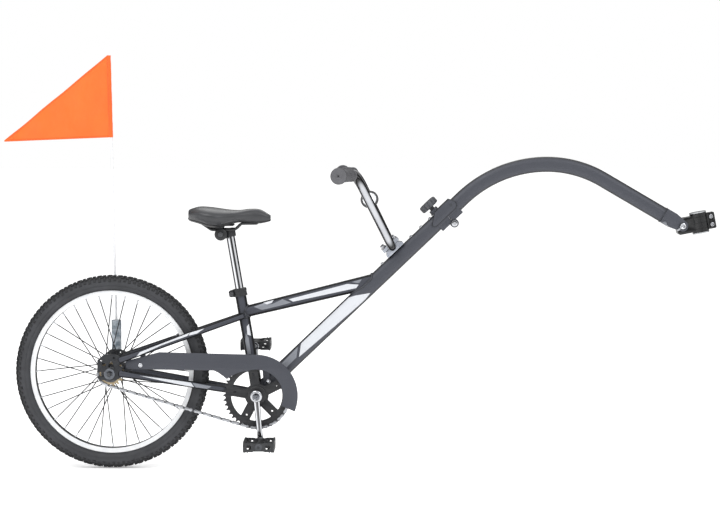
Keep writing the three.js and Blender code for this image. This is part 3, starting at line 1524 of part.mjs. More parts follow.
// The coupler is an inverted U on the arm that straddles the end of the frame's main tube.
function addCoupler() {
  const top = mainTubeHeight / 2 + couplerClear + couplerWall;
  const half = mainTubeWidth / 2 + couplerClear + couplerWall;
  const shape = new THREE.Shape();
  const cornerX = couplerFront - couplerCorner;
  shape.moveTo(-couplerRear, -couplerSkirt);
  shape.lineTo(cornerX, -couplerSkirt);
  shape.absarc(cornerX, couplerCorner - couplerSkirt, couplerCorner, -Math.PI / 2, 0, false);
  shape.absarc(cornerX, top - couplerCorner, couplerCorner, 0, Math.PI / 2, false);
  shape.lineTo(-couplerRear + couplerRearRise, top);
  const outside = plate(shape, -half, half);
  const boss = rod(vec(-knobDistance, 0, mainTubeHeight / 4), vec(-knobDistance, 0, knobBossRise), knobBossRadius);
  const inside = ovalTube(
    vec(-couplerRear - cutOverrun, 0, 0),
    vec(couplerFront + cutOverrun, 0, 0),
    mainTubeHeight + 2 * couplerClear,
    mainTubeWidth + 2 * couplerClear,
  );
  const open = box(
    vec(-couplerRear - cutOverrun, -mainTubeWidth / 2 - couplerClear, -couplerSkirt - cutOverrun),
    vec(couplerFront + cutOverrun, mainTubeWidth / 2 + couplerClear, 0),
  );
  const stemRadius = knobStemDiameter / 2 + runningGap;
  const stem = bore(vec(-knobDistance, 0, 0), vec(-knobDistance, 0, knobBottom), stemRadius);
  addPiece(armGroup, 'arm_coupler', cut(join(outside, boss), inside, open, stem), framePaint);
}

function addKnob() {
  const steps = knobFluteSteps * knobFlutes;
  const points = [];
  for (let i = 0; i < steps; i += 1) {
    const angle = (2 * Math.PI * i) / steps;
    const radius = knobRadius - (i % knobFluteSteps === 0 ? knobFluteDepth : 0);
    points.push([Math.cos(angle) * radius, Math.sin(angle) * radius]);
  }
  const options = { depth: knobHeight, steps: 1, bevelEnabled: false };
  const disc = new THREE.ExtrudeGeometry(polygon(points), options);
  disc.translate(-knobDistance, 0, knobBottom);
  const crownLow = knobBottom + knobHeight - knobCrown;
  const crown = rod(
    vec(-knobDistance, 0, crownLow),
    vec(-knobDistance, 0, crownLow + 2 * knobCrown),
    knobCrownShare * knobRadius,
  );
  const stemLow = mainTubeHeight / 2 + touchGap;
  const stem = rod(vec(-knobDistance, 0, stemLow), vec(-knobDistance, 0, crownLow), knobStemDiameter / 2);
  addPiece(armGroup, 'clamp_knob', join(toSolid(disc), crown, stem), blackPlastic);
}

// Tow arm: straight out of the hinge, over a level crest and down to the fork
const armCrest = heading(-mainTubeAngle);
const armDrop = heading(-mainTubeAngle - armDropAngle);
const crestStart = vec(armFirstLeg, 0, 0);
const crestEnd = crestStart.clone().addScaledVector(armCrest, armCrestLeg);
const armEnd = crestEnd.clone().addScaledVector(armDrop, armLastLeg);

function addTowArm() {
  const corners = [vec(touchGap / 2, 0, 0), crestStart, crestEnd, armEnd];
  const path = roundedPath(corners, [armRearBend, armFrontBend], armBendSteps);
  const arm = sweep(ovalSection(armHeight, armWidth), path);
  addPiece(armGroup, 'tow_arm', arm, framePaint);
}

const forkGroup = frameGroup('fork_line', armGroup, armEnd, -mainTubeAngle - armDropAngle);

function addFork() {
  const half = forkWidth / 2;
  const shape = new THREE.Shape();
  shape.moveTo(touchGap, -armHeight / 2);
  shape.lineTo(forkLength - forkSlotDepth, -armHeight / 2);
  shape.absarc(forkLength, 0, forkEndRadius, -Math.PI / 2, Math.PI / 2, false);
  shape.lineTo(forkLength - forkSlotDepth, armHeight / 2);
  shape.lineTo(touchGap, armHeight / 2);
  const body = plate(shape, -half, half, smallSides);
  const slot = box(
    vec(forkLength - forkSlotDepth, -tongueWidth / 2 - runningGap, -armHeight),
    vec(forkLength + armHeight, tongueWidth / 2 + runningGap, armHeight),
  );
  const hole = crossBore(forkLength, 0, pinDiameter / 2 + runningGap, -forkWidth, forkWidth);
  addPiece(forkGroup, 'arm_fork', cut(body, slot, hole), framePaint);
}

const pinCentre = forkPoint();
const hitchGroup = frameGroup('hitch_pitch_axis', bike, pinCentre, hitchLean);
const bushingGroup = frameGroup('hitch_yaw_axis', hitchGroup, vec(tongueLength, 0, 0), 0);

function forkPoint() {
  const split = crankCentre.clone().addScaledVector(heading(mainTubeAngle), hingeDistance);
  const crest = split.addScaledVector(heading(mainTubeAngle), armFirstLeg);
  const drop = crest.addScaledVector(heading(0), armCrestLeg);
  return drop.addScaledVector(heading(-armDropAngle), armLastLeg + forkLength);
}

function addHitchPin() {
  const half = forkWidth / 2;
  const shank = crossRod(0, 0, pinDiameter / 2, -half - touchGap, half + pinTail);
  const head = crossRod(0, 0, pinHeadRadius, -half - touchGap - pinHeadWidth, -half - touchGap);
  addPiece(hitchGroup, 'hitch_pin', join(shank, head), chrome);
}

function addStrap() {
  const half = tongueWidth / 2;
  const shape = new THREE.Shape();
  shape.moveTo(-tongueRear + tongueCorner, -tongueBottom);
  shape.lineTo(tongueLength, -tongueBottom);
  shape.lineTo(tongueLength, tongueTop);
  shape.lineTo(-tongueRear + tongueCorner, tongueTop);
  shape.lineTo(-tongueRear, tongueTop - tongueCorner);
  shape.lineTo(-tongueRear, -tongueBottom + tongueCorner);
  const tongue = plate(shape, -half, half);
  const low = -strapHeight / 2;
  const barrel = rod(vec(tongueLength, 0, low), vec(tongueLength, 0, -low), strapRadius, roundSides);
  const ears = box(
    vec(tongueLength, -earWidth / 2, -earHeight / 2),
    vec(tongueLength + earReach, earWidth / 2, earHeight / 2),
  );
  const barrelHole = bore(
    vec(tongueLength, 0, low - cutOverrun),
    vec(tongueLength, 0, cutOverrun - low),
    bushingRadius + runningGap,
  );
  const slot = box(
    vec(tongueLength, -earSlot / 2, low - cutOverrun),
    vec(tongueLength + earReach + cutOverrun, earSlot / 2, cutOverrun - low),
  );
  const pinHole = crossBore(0, 0, pinDiameter / 2 + runningGap, -forkWidth, forkWidth);
  const boltX = tongueLength + hitchBoltSetout;
  const boltHole = hitchBoltDiameter / 2 + touchGap;
  const boltHoles = [1, -1].map((end) => (
    crossBore(boltX, (end * hitchBoltSpacing) / 2, boltHole, -earWidth, earWidth, smallSides)
  ));
  const strap = cut(join(tongue, barrel, ears), barrelHole, slot, pinHole, ...boltHoles);
  addPiece(hitchGroup, 'hitch_strap', strap, blackSteel);
  for (const [end, name] of [[1, 'top'], [-1, 'bottom']]) {
    const z = (end * hitchBoltSpacing) / 2;
    const face = earWidth / 2 + touchGap;
    const outside = face + hitchBoltHeadWidth;
    const bolt = join(
      crossRod(boltX, z, hitchBoltDiameter / 2, -outside, outside, smallSides),
      crossRod(boltX, z, hitchBoltHead, -outside, -face, hexSides),
      crossRod(boltX, z, hitchBoltHead, face, outside, hexSides),
    );
    addPiece(hitchGroup, `hitch_bolt_${name}`, bolt, chrome);
  }
}

function addBushing() {
  const half = strapHeight / 2 + touchGap;
  const outside = half + bushingFlangeWidth;
  const hole = boreRadius(bushingBore / 2, roundSides);
  const ring = closedRing([
    [hole, -outside], [strapRadius, -outside], [strapRadius, -half], [bushingRadius, -half],
    [bushingRadius, half], [strapRadius, half], [strapRadius, outside], [hole, outside],
  ], roundSides);
  const piece = addPiece(bushingGroup, 'hitch_bushing', ring, castAluminium);
  piece.rotation.x = Math.PI / 2;
}

addBottomBracket();
addMainTube();
addSeatTube();
addTopTube();
addStays();
addDropouts();
addTyreAndRim();
addHubAndSpokes();
addAxle();
addChain();
addChainring();
addSprocket();
addCranks();
addBearingCups();
addChainguard();
addGuardBrackets();
addSeatpostAndCollar();
addSaddleClamp();
addRailsAndDiscs();
addSaddle();
addBarClamp();
addBarBolts();
addHandlebar();
addReflector();
addFlagHolder();
addFlagPole();
addFlag();
addHingeLeaves();
addCoupler();
addKnob();
addTowArm();
addFork();
addHitchPin();
addStrap();
addBushing();

// The origin moves to the middle of the hitch bushing
const bushingCentre = pinCentre.clone().addScaledVector(heading(hitchLean), tongueLength);
bike.position.copy(bushingCentre).negate();

export default bike;
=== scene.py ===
"""Looks of a child's trailer bike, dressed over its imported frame.

Every piece is made in millimetres in the frame's own axes (x forward, y to the left, z up)
and handed over in metres. Each sub-assembly is a class that holds its sizes and builds its
pieces; each finish is a small frozen class that lays out its own nodes.
"""

import json
import logging
import math
from dataclasses import dataclass, replace
from enum import Enum
from functools import cached_property

import bmesh
import bpy
from mathutils import Matrix, Vector
from mathutils.geometry import tessellate_polygon

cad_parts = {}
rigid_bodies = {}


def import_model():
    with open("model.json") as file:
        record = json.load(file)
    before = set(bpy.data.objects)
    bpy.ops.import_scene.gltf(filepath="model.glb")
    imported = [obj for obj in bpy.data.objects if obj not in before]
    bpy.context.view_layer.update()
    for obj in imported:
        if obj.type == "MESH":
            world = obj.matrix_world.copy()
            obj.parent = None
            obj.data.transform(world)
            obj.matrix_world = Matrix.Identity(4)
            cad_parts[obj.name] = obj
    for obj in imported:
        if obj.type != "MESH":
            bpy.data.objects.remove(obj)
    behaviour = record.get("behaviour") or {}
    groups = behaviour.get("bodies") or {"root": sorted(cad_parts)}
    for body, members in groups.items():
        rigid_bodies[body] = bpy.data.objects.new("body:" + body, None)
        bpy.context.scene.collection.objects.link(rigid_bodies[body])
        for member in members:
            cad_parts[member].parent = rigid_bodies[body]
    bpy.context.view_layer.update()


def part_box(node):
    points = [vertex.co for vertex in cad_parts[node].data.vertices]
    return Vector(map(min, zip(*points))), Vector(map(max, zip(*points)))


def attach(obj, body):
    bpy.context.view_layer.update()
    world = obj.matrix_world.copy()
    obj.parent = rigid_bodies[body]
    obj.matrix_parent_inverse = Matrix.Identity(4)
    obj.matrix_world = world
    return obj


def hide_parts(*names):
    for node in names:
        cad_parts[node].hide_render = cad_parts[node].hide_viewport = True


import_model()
MM = 0.001
ACROSS = Vector((0, 1, 0))
Pair = tuple[float, float]
Colour = tuple[float, float, float]
log = logging.getLogger("trailer_bike")


class Slot(Enum):
    """The record's names for the bike's finishes."""

    FRAME_PAINT = "frame_paint"
    BLACK_STEEL = "black_steel"
    CHROME = "chrome"
    CAST_ALUMINIUM = "cast_aluminium"
    BARE_STEEL = "bare_steel"
    GOLD_STEEL = "gold_steel"
    GALVANISED = "galvanised"
    TYRE_RUBBER = "tyre_rubber"
    GRIP_RUBBER = "grip_rubber"
    SADDLE_VINYL = "saddle_vinyl"
    BLACK_PLASTIC = "black_plastic"
    WHITE_PLASTIC = "white_plastic"
    FLAG_CLOTH = "flag_cloth"


class Side(Enum):
    """The two sides of the bike, as the sign of y."""

    RIGHT = -1
    LEFT = 1

    @property
    def word(self) -> str:
        """The side as a piece's name says it."""
        return self.name.lower()


def shade(red: int, green: int, blue: int) -> Colour:
    """Turns a colour picked from 0 to 255 into the light that it stands for.

    Args:
        red: The red share.
        green: The green share.
        blue: The blue share.

    Returns:
        The three shares as linear light.
    """
    picked = [value / 255 for value in (red, green, blue)]
    return tuple(v / 12.92 if v <= 0.04045 else ((v + 0.055) / 1.055) ** 2.4 for v in picked)


def add_node(tree: bpy.types.NodeTree, kind: str, values: dict, **options: object) -> bpy.types.Node:
    """Adds a shader node and fills its inputs.

    Args:
        tree: The nodes that it joins.
        kind: Blender's name for it.
        values: What each input gets: a value, or the socket that runs into it.
        **options: The node's own settings.

    Returns:
        The node.
    """
    node = tree.nodes.new(kind)
    for name, option in options.items():
        setattr(node, name, option)
    for name, value in values.items():
        if isinstance(value, bpy.types.NodeSocket):
            tree.links.new(value, node.inputs[name])
        else:
            node.inputs[name].default_value = value
    return node


class Recipe:
    """Lays out the nodes of one finish round a single shader."""

    # painted dark reflection: how far the surface turns before the darker middle of a mirror ends
    HEART = 0.07  # how far the surface turns before the darker heart of a mirror ends

    def __init__(self, name: str) -> None:
        """Starts an empty finish.

        Args:
            name: What the finish is called.
        """
        self.material = bpy.data.materials.new(name)
        self.material.use_nodes = True
        self.material.node_tree.nodes.clear()
        self.shader = self.node("ShaderNodeBsdfPrincipled")
        self.node("ShaderNodeOutputMaterial", {"Surface": self.shader.outputs[0]})
        self.spot = self.node("ShaderNodeTexCoord").outputs["Object"]
        self.relief = None

    def node(self, kind: str, values: dict | None = None, **options: object) -> bpy.types.Node:
        """Adds a node to this finish."""
        return add_node(self.material.node_tree, kind, values or {}, **options)

    def feed(self, name: str, source: bpy.types.NodeSocket) -> None:
        """Runs a socket into one of the shader's inputs."""
        self.material.node_tree.links.new(source, self.shader.inputs[name])

    def noise(self, scale: float, detail: float = 3) -> bpy.types.NodeSocket:
        """A cloudy pattern with so many clouds in a metre and so much fine structure."""
        values = {"Scale": scale, "Detail": detail, "Vector": self.spot}
        return self.node("ShaderNodeTexNoise", values).outputs[0]

    def cells(self, scale: float) -> bpy.types.NodeSocket:
        """A pattern of small cells, such as leather grain or prisms, so many in a metre."""
        return self.node("ShaderNodeTexVoronoi", {"Scale": scale, "Vector": self.spot}).outputs[0]

    def threads(self, scale: float, direction: str) -> bpy.types.NodeSocket:
        """The height of parallel threads that follow each other along X, Y or Z."""
        values = {"Scale": scale, "Distortion": 0.6, "Vector": self.spot}
        return self.node("ShaderNodeTexWave", values, bands_direction=direction).outputs["Fac"]

    def tint(self, pattern: bpy.types.NodeSocket, dark: Colour, light: Colour, spread: float,
             edge: float = 1, heart: float = 1, band: Pair = (0.28, 0.64)) -> None:
        """Colours the finish between two close shades, and paints shade on it where the surface turns away
        from the viewer and a dark reflection where it faces the viewer.

        Args:
            pattern: Where each shade comes.
            dark: The darker shade.
            light: The lighter shade.
            spread: Half the width of the change from one to the other.
            edge: The share of the colour that is left where the surface turns away, as painted shade.
            heart: The share that is left where it squarely faces the viewer.
            band: Where the darker edge starts and where it is full.
        """
        ramp = self.node("ShaderNodeValToRGB", {0: pattern})
        for stop, place, shown in zip(ramp.color_ramp.elements, (0.5 - spread, 0.5 + spread), (dark, light)):
            stop.position, stop.color = place, (*shown, 1)
        turned = self.node("ShaderNodeLayerWeight").outputs["Facing"]
        colour = ramp.outputs[0]
        for near, far, low, high in ((*band, 1, edge), (0, self.HEART, heart, 1)):
            if low != high:
                values = {"Value": turned, "From Min": near, "From Max": far, "To Min": low, "To Max": high}
                share = self.node("ShaderNodeMapRange", values, interpolation_type="SMOOTHSTEP").outputs[0]
                values = {0: colour, "Scale": share}
                colour = self.node("ShaderNodeVectorMath", values, operation="SCALE").outputs[0]
        self.feed("Base Color", colour)

    def vary(self, pattern: bpy.types.NodeSocket, name: str, low: float, high: float) -> None:
        """Lets an input of the shader wander between two limits along a pattern."""
        values = {"Value": pattern, "From Min": 0.3, "From Max": 0.7, "To Min": low, "To Max": high}
        self.feed(name, self.node("ShaderNodeMapRange", values).outputs[0])

    def raise_by(self, pattern: bpy.types.NodeSocket, strength: float, depth: float) -> None:
        """Adds a relief to the surface, over any that is there.

        Args:
            pattern: The height of the relief.
            strength: How strongly it shows.
            depth: How deep it is, in metres.
        """
        values = {"Strength": strength, "Distance": depth, "Height": pattern}
        if self.relief is not None:
            values["Normal"] = self.relief
        self.relief = self.node("ShaderNodeBump", values).outputs["Normal"]
        self.feed("Normal", self.relief)


@dataclass(frozen=True)
class Finish:
    """A finish of two close shades with painted shade where it turns away from the viewer, a gloss that
    wanders and a fine relief.
    """

    name: str
    slot: Slot
    dark: Colour
    light: Colour
    metal: float = 0
    gloss: Pair = (0.4, 0.5)
    mottle: float = 30
    spread: float = 0.15
    grain: float = 700
    relief: float = 0.1
    depth: float = 0.0003
    coat: float = 0
    coat_gloss: float = 0.1
    # painted shade: the share of colour left where the surface turns away from the viewer
    edge: float = 1
    # painted dark reflection: the share of colour left where the surface faces the viewer
    heart: float = 1
    shine: float = 0.5
    # where the painted edge shade starts and where it is full
    band: Pair = (0.28, 0.64)

    def material(self) -> bpy.types.Material:
        """Makes the finish once and hands the same one out after that.

        Returns:
            The finish as Blender keeps it.
        """
        known = bpy.data.materials.get(self.name)
        if known is not None:
            return known
        recipe = Recipe(self.name)
        recipe.shader.inputs["Metallic"].default_value = self.metal
        recipe.shader.inputs["Coat Weight"].default_value = self.coat
        recipe.shader.inputs["Coat Roughness"].default_value = self.coat_gloss
        recipe.shader.inputs["Specular IOR Level"].default_value = self.shine
        self.lay(recipe)
        return recipe.material

    def colour(self, recipe: Recipe, pattern: bpy.types.NodeSocket) -> None:
        """Colours the finish along a pattern, with its painted edge shade and painted dark reflection."""
        recipe.tint(pattern, self.dark, self.light, self.spread, self.edge, self.heart, self.band)

    def lay(self, recipe: Recipe) -> None:
        """Lays the colour, the gloss and the relief of this kind of finish.

        Args:
            recipe: The nodes being laid out.
        """
        self.colour(recipe, recipe.noise(self.mottle, 4))
        recipe.vary(recipe.noise(self.mottle * 2.3, 5), "Roughness", *self.gloss)
        recipe.raise_by(recipe.noise(self.grain, 2), self.relief, self.depth)


@dataclass(frozen=True)
class FlakePaint(Finish):
    """Sprayed enamel with a fine metal flake under a clear coat."""

    flake: float = 1600

    def lay(self, recipe: Recipe) -> None:
        """Lays flakes, a clear coat and the faint orange-peel of sprayed paint.

        Args:
            recipe: The nodes being laid out.
        """
        self.colour(recipe, recipe.noise(self.flake, 1))
        recipe.vary(recipe.noise(self.mottle, 5), "Roughness", *self.gloss)
        recipe.raise_by(recipe.cells(self.flake * 0.6), 0.06, self.depth * 0.3)
        recipe.raise_by(recipe.noise(self.grain, 1), self.relief, self.depth)


@dataclass(frozen=True)
class Vinyl(Finish):
    """Padded vinyl with a pebbled grain and softer wear spots."""

    def lay(self, recipe: Recipe) -> None:
        """Lays the grain and the duller, paler wear of a seat cover.

        Args:
            recipe: The nodes being laid out.
        """
        self.colour(recipe, recipe.noise(self.mottle, 6))
        recipe.vary(recipe.noise(self.mottle * 1.7, 4), "Roughness", *self.gloss)
        recipe.raise_by(recipe.cells(self.grain), self.relief, self.depth)
        recipe.raise_by(recipe.noise(self.grain * 0.3, 4), self.relief * 0.4, self.depth * 2)


@dataclass(frozen=True)
class WovenCloth(Finish):
    """Bright coated cloth whose weave shows as two sets of threads."""

    threads: float = 420

    def lay(self, recipe: Recipe) -> None:
        """Lays the weave, its unevenness and a soft sheen.

        Args:
            recipe: The nodes being laid out.
        """
        self.colour(recipe, recipe.noise(self.mottle, 5))
        recipe.vary(recipe.noise(self.mottle * 3, 3), "Roughness", *self.gloss)
        for direction in "XZ":
            recipe.raise_by(recipe.threads(self.threads, direction), self.relief, self.depth)
        recipe.raise_by(recipe.noise(self.mottle * 1.4, 3), 0.25, 0.002)
        recipe.shader.inputs["Sheen Weight"].default_value = 0.15


@dataclass(frozen=True)
class Prisms(Finish):
    """A moulded reflector face of small prisms under clear plastic."""

    def lay(self, recipe: Recipe) -> None:
        """Lays the prisms and the milky colour between them.

        Args:
            recipe: The nodes being laid out.
        """
        self.colour(recipe, recipe.cells(self.grain))
        recipe.vary(recipe.noise(self.mottle, 2), "Roughness", *self.gloss)
        recipe.raise_by(recipe.cells(self.grain), self.relief, self.depth)


class Look:
    """The finishes of this bike."""

    # Where a finish's edge is below 1, shade is painted on the parts of it that turn away from the viewer; on
    # the metals this painted shade stands for dark reflections.
    PAINT = FlakePaint("charcoal enamel", Slot.FRAME_PAINT, shade(58, 60, 66), shade(80, 82, 90),
                       metal=0.15, gloss=(0.44, 0.54), mottle=24, spread=0.3, grain=260, relief=0.05,
                       depth=0.0004, coat=0.08, coat_gloss=0.3, edge=0.12, shine=0.3, band=(0.22, 0.55))
    # a copy of the charcoal enamel with wider, darker painted shade along the edges of the tubes
    TUBE = replace(PAINT, name="charcoal tube enamel", edge=0.05, band=(0.05, 0.36), coat=0, shine=0.15)
    WELD = FlakePaint("painted weld", Slot.FRAME_PAINT, shade(50, 52, 57), shade(72, 74, 80), metal=0.2,
                      gloss=(0.42, 0.55), mottle=60, spread=0.3, grain=900, relief=0.2, depth=0.0004,
                      coat=0.08, coat_gloss=0.3, edge=0.2, shine=0.35)
    # a darker copy of the charcoal enamel, as painted shade: on the dropouts and on the plate under the
    # coupler
    SHADED = FlakePaint("dark enamel", Slot.FRAME_PAINT, shade(34, 35, 38), shade(50, 52, 56), metal=0.2,
                        gloss=(0.42, 0.55), mottle=40, spread=0.3, grain=500, relief=0.08, depth=0.0004,
                        coat=0.06, coat_gloss=0.3, edge=0.2, shine=0.35)
    PANEL_WHITE = FlakePaint("white panel", Slot.FRAME_PAINT, shade(196, 199, 205), shade(216, 218, 222),
                             spread=0.3, grain=400, relief=0.03, coat=0.05, coat_gloss=0.15, edge=0.3,
                             shine=0.2)
    PANEL_GREY = FlakePaint("grey panel", Slot.FRAME_PAINT, shade(108, 111, 118), shade(146, 149, 156),
                            metal=0.2, mottle=26, spread=0.3, grain=400, relief=0.03, coat=0.05,
                            coat_gloss=0.2, edge=0.3, shine=0.3)
    BLACK = Finish("black steel", Slot.BLACK_STEEL, shade(24, 25, 27), shade(38, 39, 42), metal=0.2,
                   gloss=(0.4, 0.55), mottle=45, spread=0.3, grain=900, relief=0.08, coat=0.15,
                   coat_gloss=0.3, edge=0.4)
    CHROME = Finish("polished chrome", Slot.CHROME, shade(172, 174, 179), shade(204, 206, 210), metal=1,
                    gloss=(0.06, 0.13), mottle=14, spread=0.25, grain=1400, relief=0.012, depth=0.0002,
                    edge=0.02, band=(0.14, 0.5))
    # chrome with a painted dark reflection down the middle of the cranks and the post, where they face the
    # viewer
    LINED = Finish("lined chrome", Slot.CHROME, shade(206, 208, 212), shade(230, 231, 234), metal=1,
                   gloss=(0.06, 0.12), mottle=14, spread=0.25, grain=1400, relief=0.012, depth=0.0002,
                   edge=0.02, heart=0.05, band=(0.14, 0.36))
    SMOKED = Finish("smoked chrome", Slot.CHROME, shade(84, 87, 92), shade(122, 125, 131), metal=1,
                    gloss=(0.16, 0.28), spread=0.25, grain=1400, relief=0.03, depth=0.0002, edge=0.2)
    CAST = Finish("polished aluminium", Slot.CAST_ALUMINIUM, shade(150, 155, 166), shade(190, 194, 202),
                  metal=0.4, gloss=(0.3, 0.4), mottle=60, spread=0.25, grain=900, relief=0.04, edge=0.04,
                  band=(0.15, 0.45))
    RIM_SILVER = Finish("machined rim", Slot.CHROME, shade(220, 222, 225), shade(240, 241, 242), metal=0.2,
                        gloss=(0.34, 0.46), mottle=40, spread=0.25, grain=1500, relief=0.05, depth=0.0002,
                        edge=0.5)
    # painted shade and dark reflection: the rim's inner bed coloured near black
    RIM_BED = Finish("dark rim bed", Slot.BLACK_STEEL, shade(12, 12, 13), shade(22, 22, 24),
                     gloss=(0.65, 0.8), mottle=40, spread=0.25, grain=900, relief=0.06, depth=0.0002)
    STEEL = Finish("plated steel", Slot.BARE_STEEL, shade(150, 152, 157), shade(192, 194, 198), metal=0.9,
                   gloss=(0.24, 0.4), mottle=70, spread=0.25, grain=1100, relief=0.08, edge=0.1,
                   band=(0.2, 0.55))
    DARK_STEEL = Finish("oiled steel", Slot.BARE_STEEL, shade(62, 63, 66), shade(104, 105, 108), metal=0.8,
                        gloss=(0.34, 0.5), mottle=120, spread=0.3, grain=1100, relief=0.12, edge=0.4)
    SPOKE = Finish("dark spoke wire", Slot.BARE_STEEL, shade(26, 27, 29), shade(46, 47, 50), metal=0.2,
                   gloss=(0.45, 0.6), mottle=60, spread=0.25, grain=1100, relief=0.04, depth=0.0002)
    GOLD = Finish("brass plated steel", Slot.GOLD_STEEL, shade(150, 132, 104), shade(196, 180, 148),
                  metal=0.55, gloss=(0.34, 0.5), mottle=70, spread=0.3, grain=1000, relief=0.08, edge=0.5)
    ZINC = Finish("galvanised steel", Slot.GALVANISED, shade(118, 130, 140), shade(186, 194, 202),
                  metal=0.55, gloss=(0.34, 0.55), mottle=90, spread=0.12, grain=500, relief=0.12, edge=0.45)
    TYRE = Finish("tyre rubber", Slot.TYRE_RUBBER, shade(42, 43, 46), shade(60, 61, 65), gloss=(0.6, 0.75),
                  mottle=22, spread=0.3, grain=900, relief=0.25, depth=0.0005, edge=0.5)
    TREAD = Finish("tread rubber", Slot.TYRE_RUBBER, shade(20, 21, 23), shade(38, 39, 42), gloss=(0.6, 0.8),
                   mottle=60, spread=0.3, relief=0.35, depth=0.0006, edge=0.6)
    GRIP = Finish("grip rubber", Slot.GRIP_RUBBER, shade(80, 80, 83), shade(98, 98, 102), gloss=(0.6, 0.78),
                  mottle=60, spread=0.3, grain=1300, relief=0.25, depth=0.0004, edge=0.3)
    VINYL = Vinyl("saddle vinyl", Slot.SADDLE_VINYL, shade(38, 39, 42), shade(54, 55, 59),
                  gloss=(0.34, 0.46), mottle=26, spread=0.3, grain=900, relief=0.3, depth=0.0004, coat=0.2,
                  coat_gloss=0.3, edge=0.4, band=(0.35, 0.8))
    SEAM = Finish("saddle piping", Slot.SADDLE_VINYL, shade(22, 22, 24), shade(34, 34, 37),
                  gloss=(0.45, 0.6), mottle=80, spread=0.3, grain=1200, relief=0.3, depth=0.0004)
    PLASTIC = Finish("moulded plastic", Slot.BLACK_PLASTIC, shade(34, 35, 37), shade(52, 53, 56),
                     gloss=(0.42, 0.58), mottle=50, spread=0.3, grain=1200, relief=0.18, edge=0.4)
    KNOB = Finish("knob plastic", Slot.BLACK_PLASTIC, shade(56, 58, 62), shade(74, 76, 81),
                  gloss=(0.45, 0.6), mottle=50, spread=0.3, grain=1200, relief=0.2, edge=0.3)
    GLOSS = Finish("glossy black", Slot.BLACK_STEEL, shade(12, 12, 14), shade(20, 21, 23), metal=0.1,
                   gloss=(0.24, 0.34), mottle=40, spread=0.3, grain=500, relief=0.05, depth=0.0004,
                   coat=0.16, coat_gloss=0.14, edge=0.2, shine=0.45)
    BUSH = Finish("bush plastic", Slot.BARE_STEEL, shade(160, 162, 165), shade(196, 198, 200), metal=0.3,
                  gloss=(0.3, 0.45), mottle=60, spread=0.3, grain=1200, relief=0.12, edge=0.4)
    WHITE = Finish("white fibreglass", Slot.WHITE_PLASTIC, shade(226, 228, 230), shade(240, 241, 243),
                   gloss=(0.3, 0.42), mottle=50, spread=0.3, grain=900, relief=0.08, coat=0.2,
                   coat_gloss=0.2, edge=0.7)
    LENS = Prisms("reflector prisms", Slot.WHITE_PLASTIC, shade(196, 200, 206), shade(246, 247, 249),
                  metal=0.15, gloss=(0.12, 0.22), mottle=40, spread=0.3, grain=420, relief=0.6,
                  depth=0.0008, coat=1, coat_gloss=0.05)
    CLOTH = WovenCloth("orange pennant cloth", Slot.FLAG_CLOTH, shade(246, 96, 22), shade(252, 112, 34),
                       gloss=(0.6, 0.75), mottle=9, spread=0.4, relief=0.12, depth=0.0002)
    HEM = WovenCloth("doubled pennant cloth", Slot.FLAG_CLOTH, shade(236, 86, 16), shade(246, 102, 26),
                     gloss=(0.6, 0.75), mottle=14, spread=0.4, relief=0.15, depth=0.0002)


@dataclass(frozen=True)
class Place:
    """A working plane on the bike: x runs forward in it, y to the left, z up from it."""

    origin: Vector
    pitch: float = 0

    @cached_property
    def forward(self) -> Vector:
        """The direction of x."""
        return Vector((math.cos(math.radians(self.pitch)), 0, math.sin(math.radians(self.pitch))))

    @cached_property
    def up(self) -> Vector:
        """The direction of z."""
        return self.forward.cross(ACROSS)

    def at(self, x: float, y: float = 0, z: float = 0) -> Vector:
        """The point at x forward, y left and z up."""
        return self.origin + self.forward * x + ACROSS * y + self.up * z

    def moved(self, x: float, y: float = 0, z: float = 0, turn: float = 0) -> "Place":
        """Another plane that starts at a point of this one.

        Args:
            x: How far forward it starts.
            y: How far to the left.
            z: How far up.
            turn: How much steeper it is, in degrees.

        Returns:
            The new plane.
        """
        return Place(self.at(x, y, z), self.pitch + turn)


def square_to(axis: Vector) -> tuple[Vector, Vector]:
    """Two directions square to an axis and to each other.

    Args:
        axis: The axis, of length 1.

    Returns:
        The two directions; the first lies across the bike where it can.
    """
    helper = ACROSS if abs(axis.y) < 0.9 else Vector((1, 0, 0))
    first = (helper - axis * helper.dot(axis)).normalized()
    return first, axis.cross(first)


def circle(radius: float, sides: int, height: float = 0) -> list[Pair]:
    """The section of a round or flat-sided oval bar.

    Args:
        radius: Half its width.
        sides: How many points go round it.
        height: Its full height where that is more than its width.

    Returns:
        Points as (across, up).
    """
    rise = max(height / 2 - radius, 0)
    points = []
    for i in range(sides):
        angle = 2 * math.pi * (i + 0.5) / sides
        lift = rise if math.sin(angle) > 0 else -rise
        points.append((math.cos(angle) * radius, math.sin(angle) * radius + lift))
    return points


def ring_of(x: float, z: float, radius: float, sides: int = 32) -> list[Pair]:
    """A round outline in a plate."""
    return [(x + across, z + up) for across, up in circle(radius, sides)]


def arc(x: float, z: float, radius: float, start: float, stop: float, steps: int = 12) -> list[Pair]:
    """Points along part of a circle.

    Args:
        x: The middle's place forward.
        z: The middle's place up.
        radius: The radius.
        start: The first angle above forward, in degrees.
        stop: The last angle.
        steps: How many straight steps it takes.

    Returns:
        The points in order.
    """
    turns = [math.radians(start + (stop - start) * i / steps) for i in range(steps + 1)]
    return [(x + math.cos(turn) * radius, z + math.sin(turn) * radius) for turn in turns]


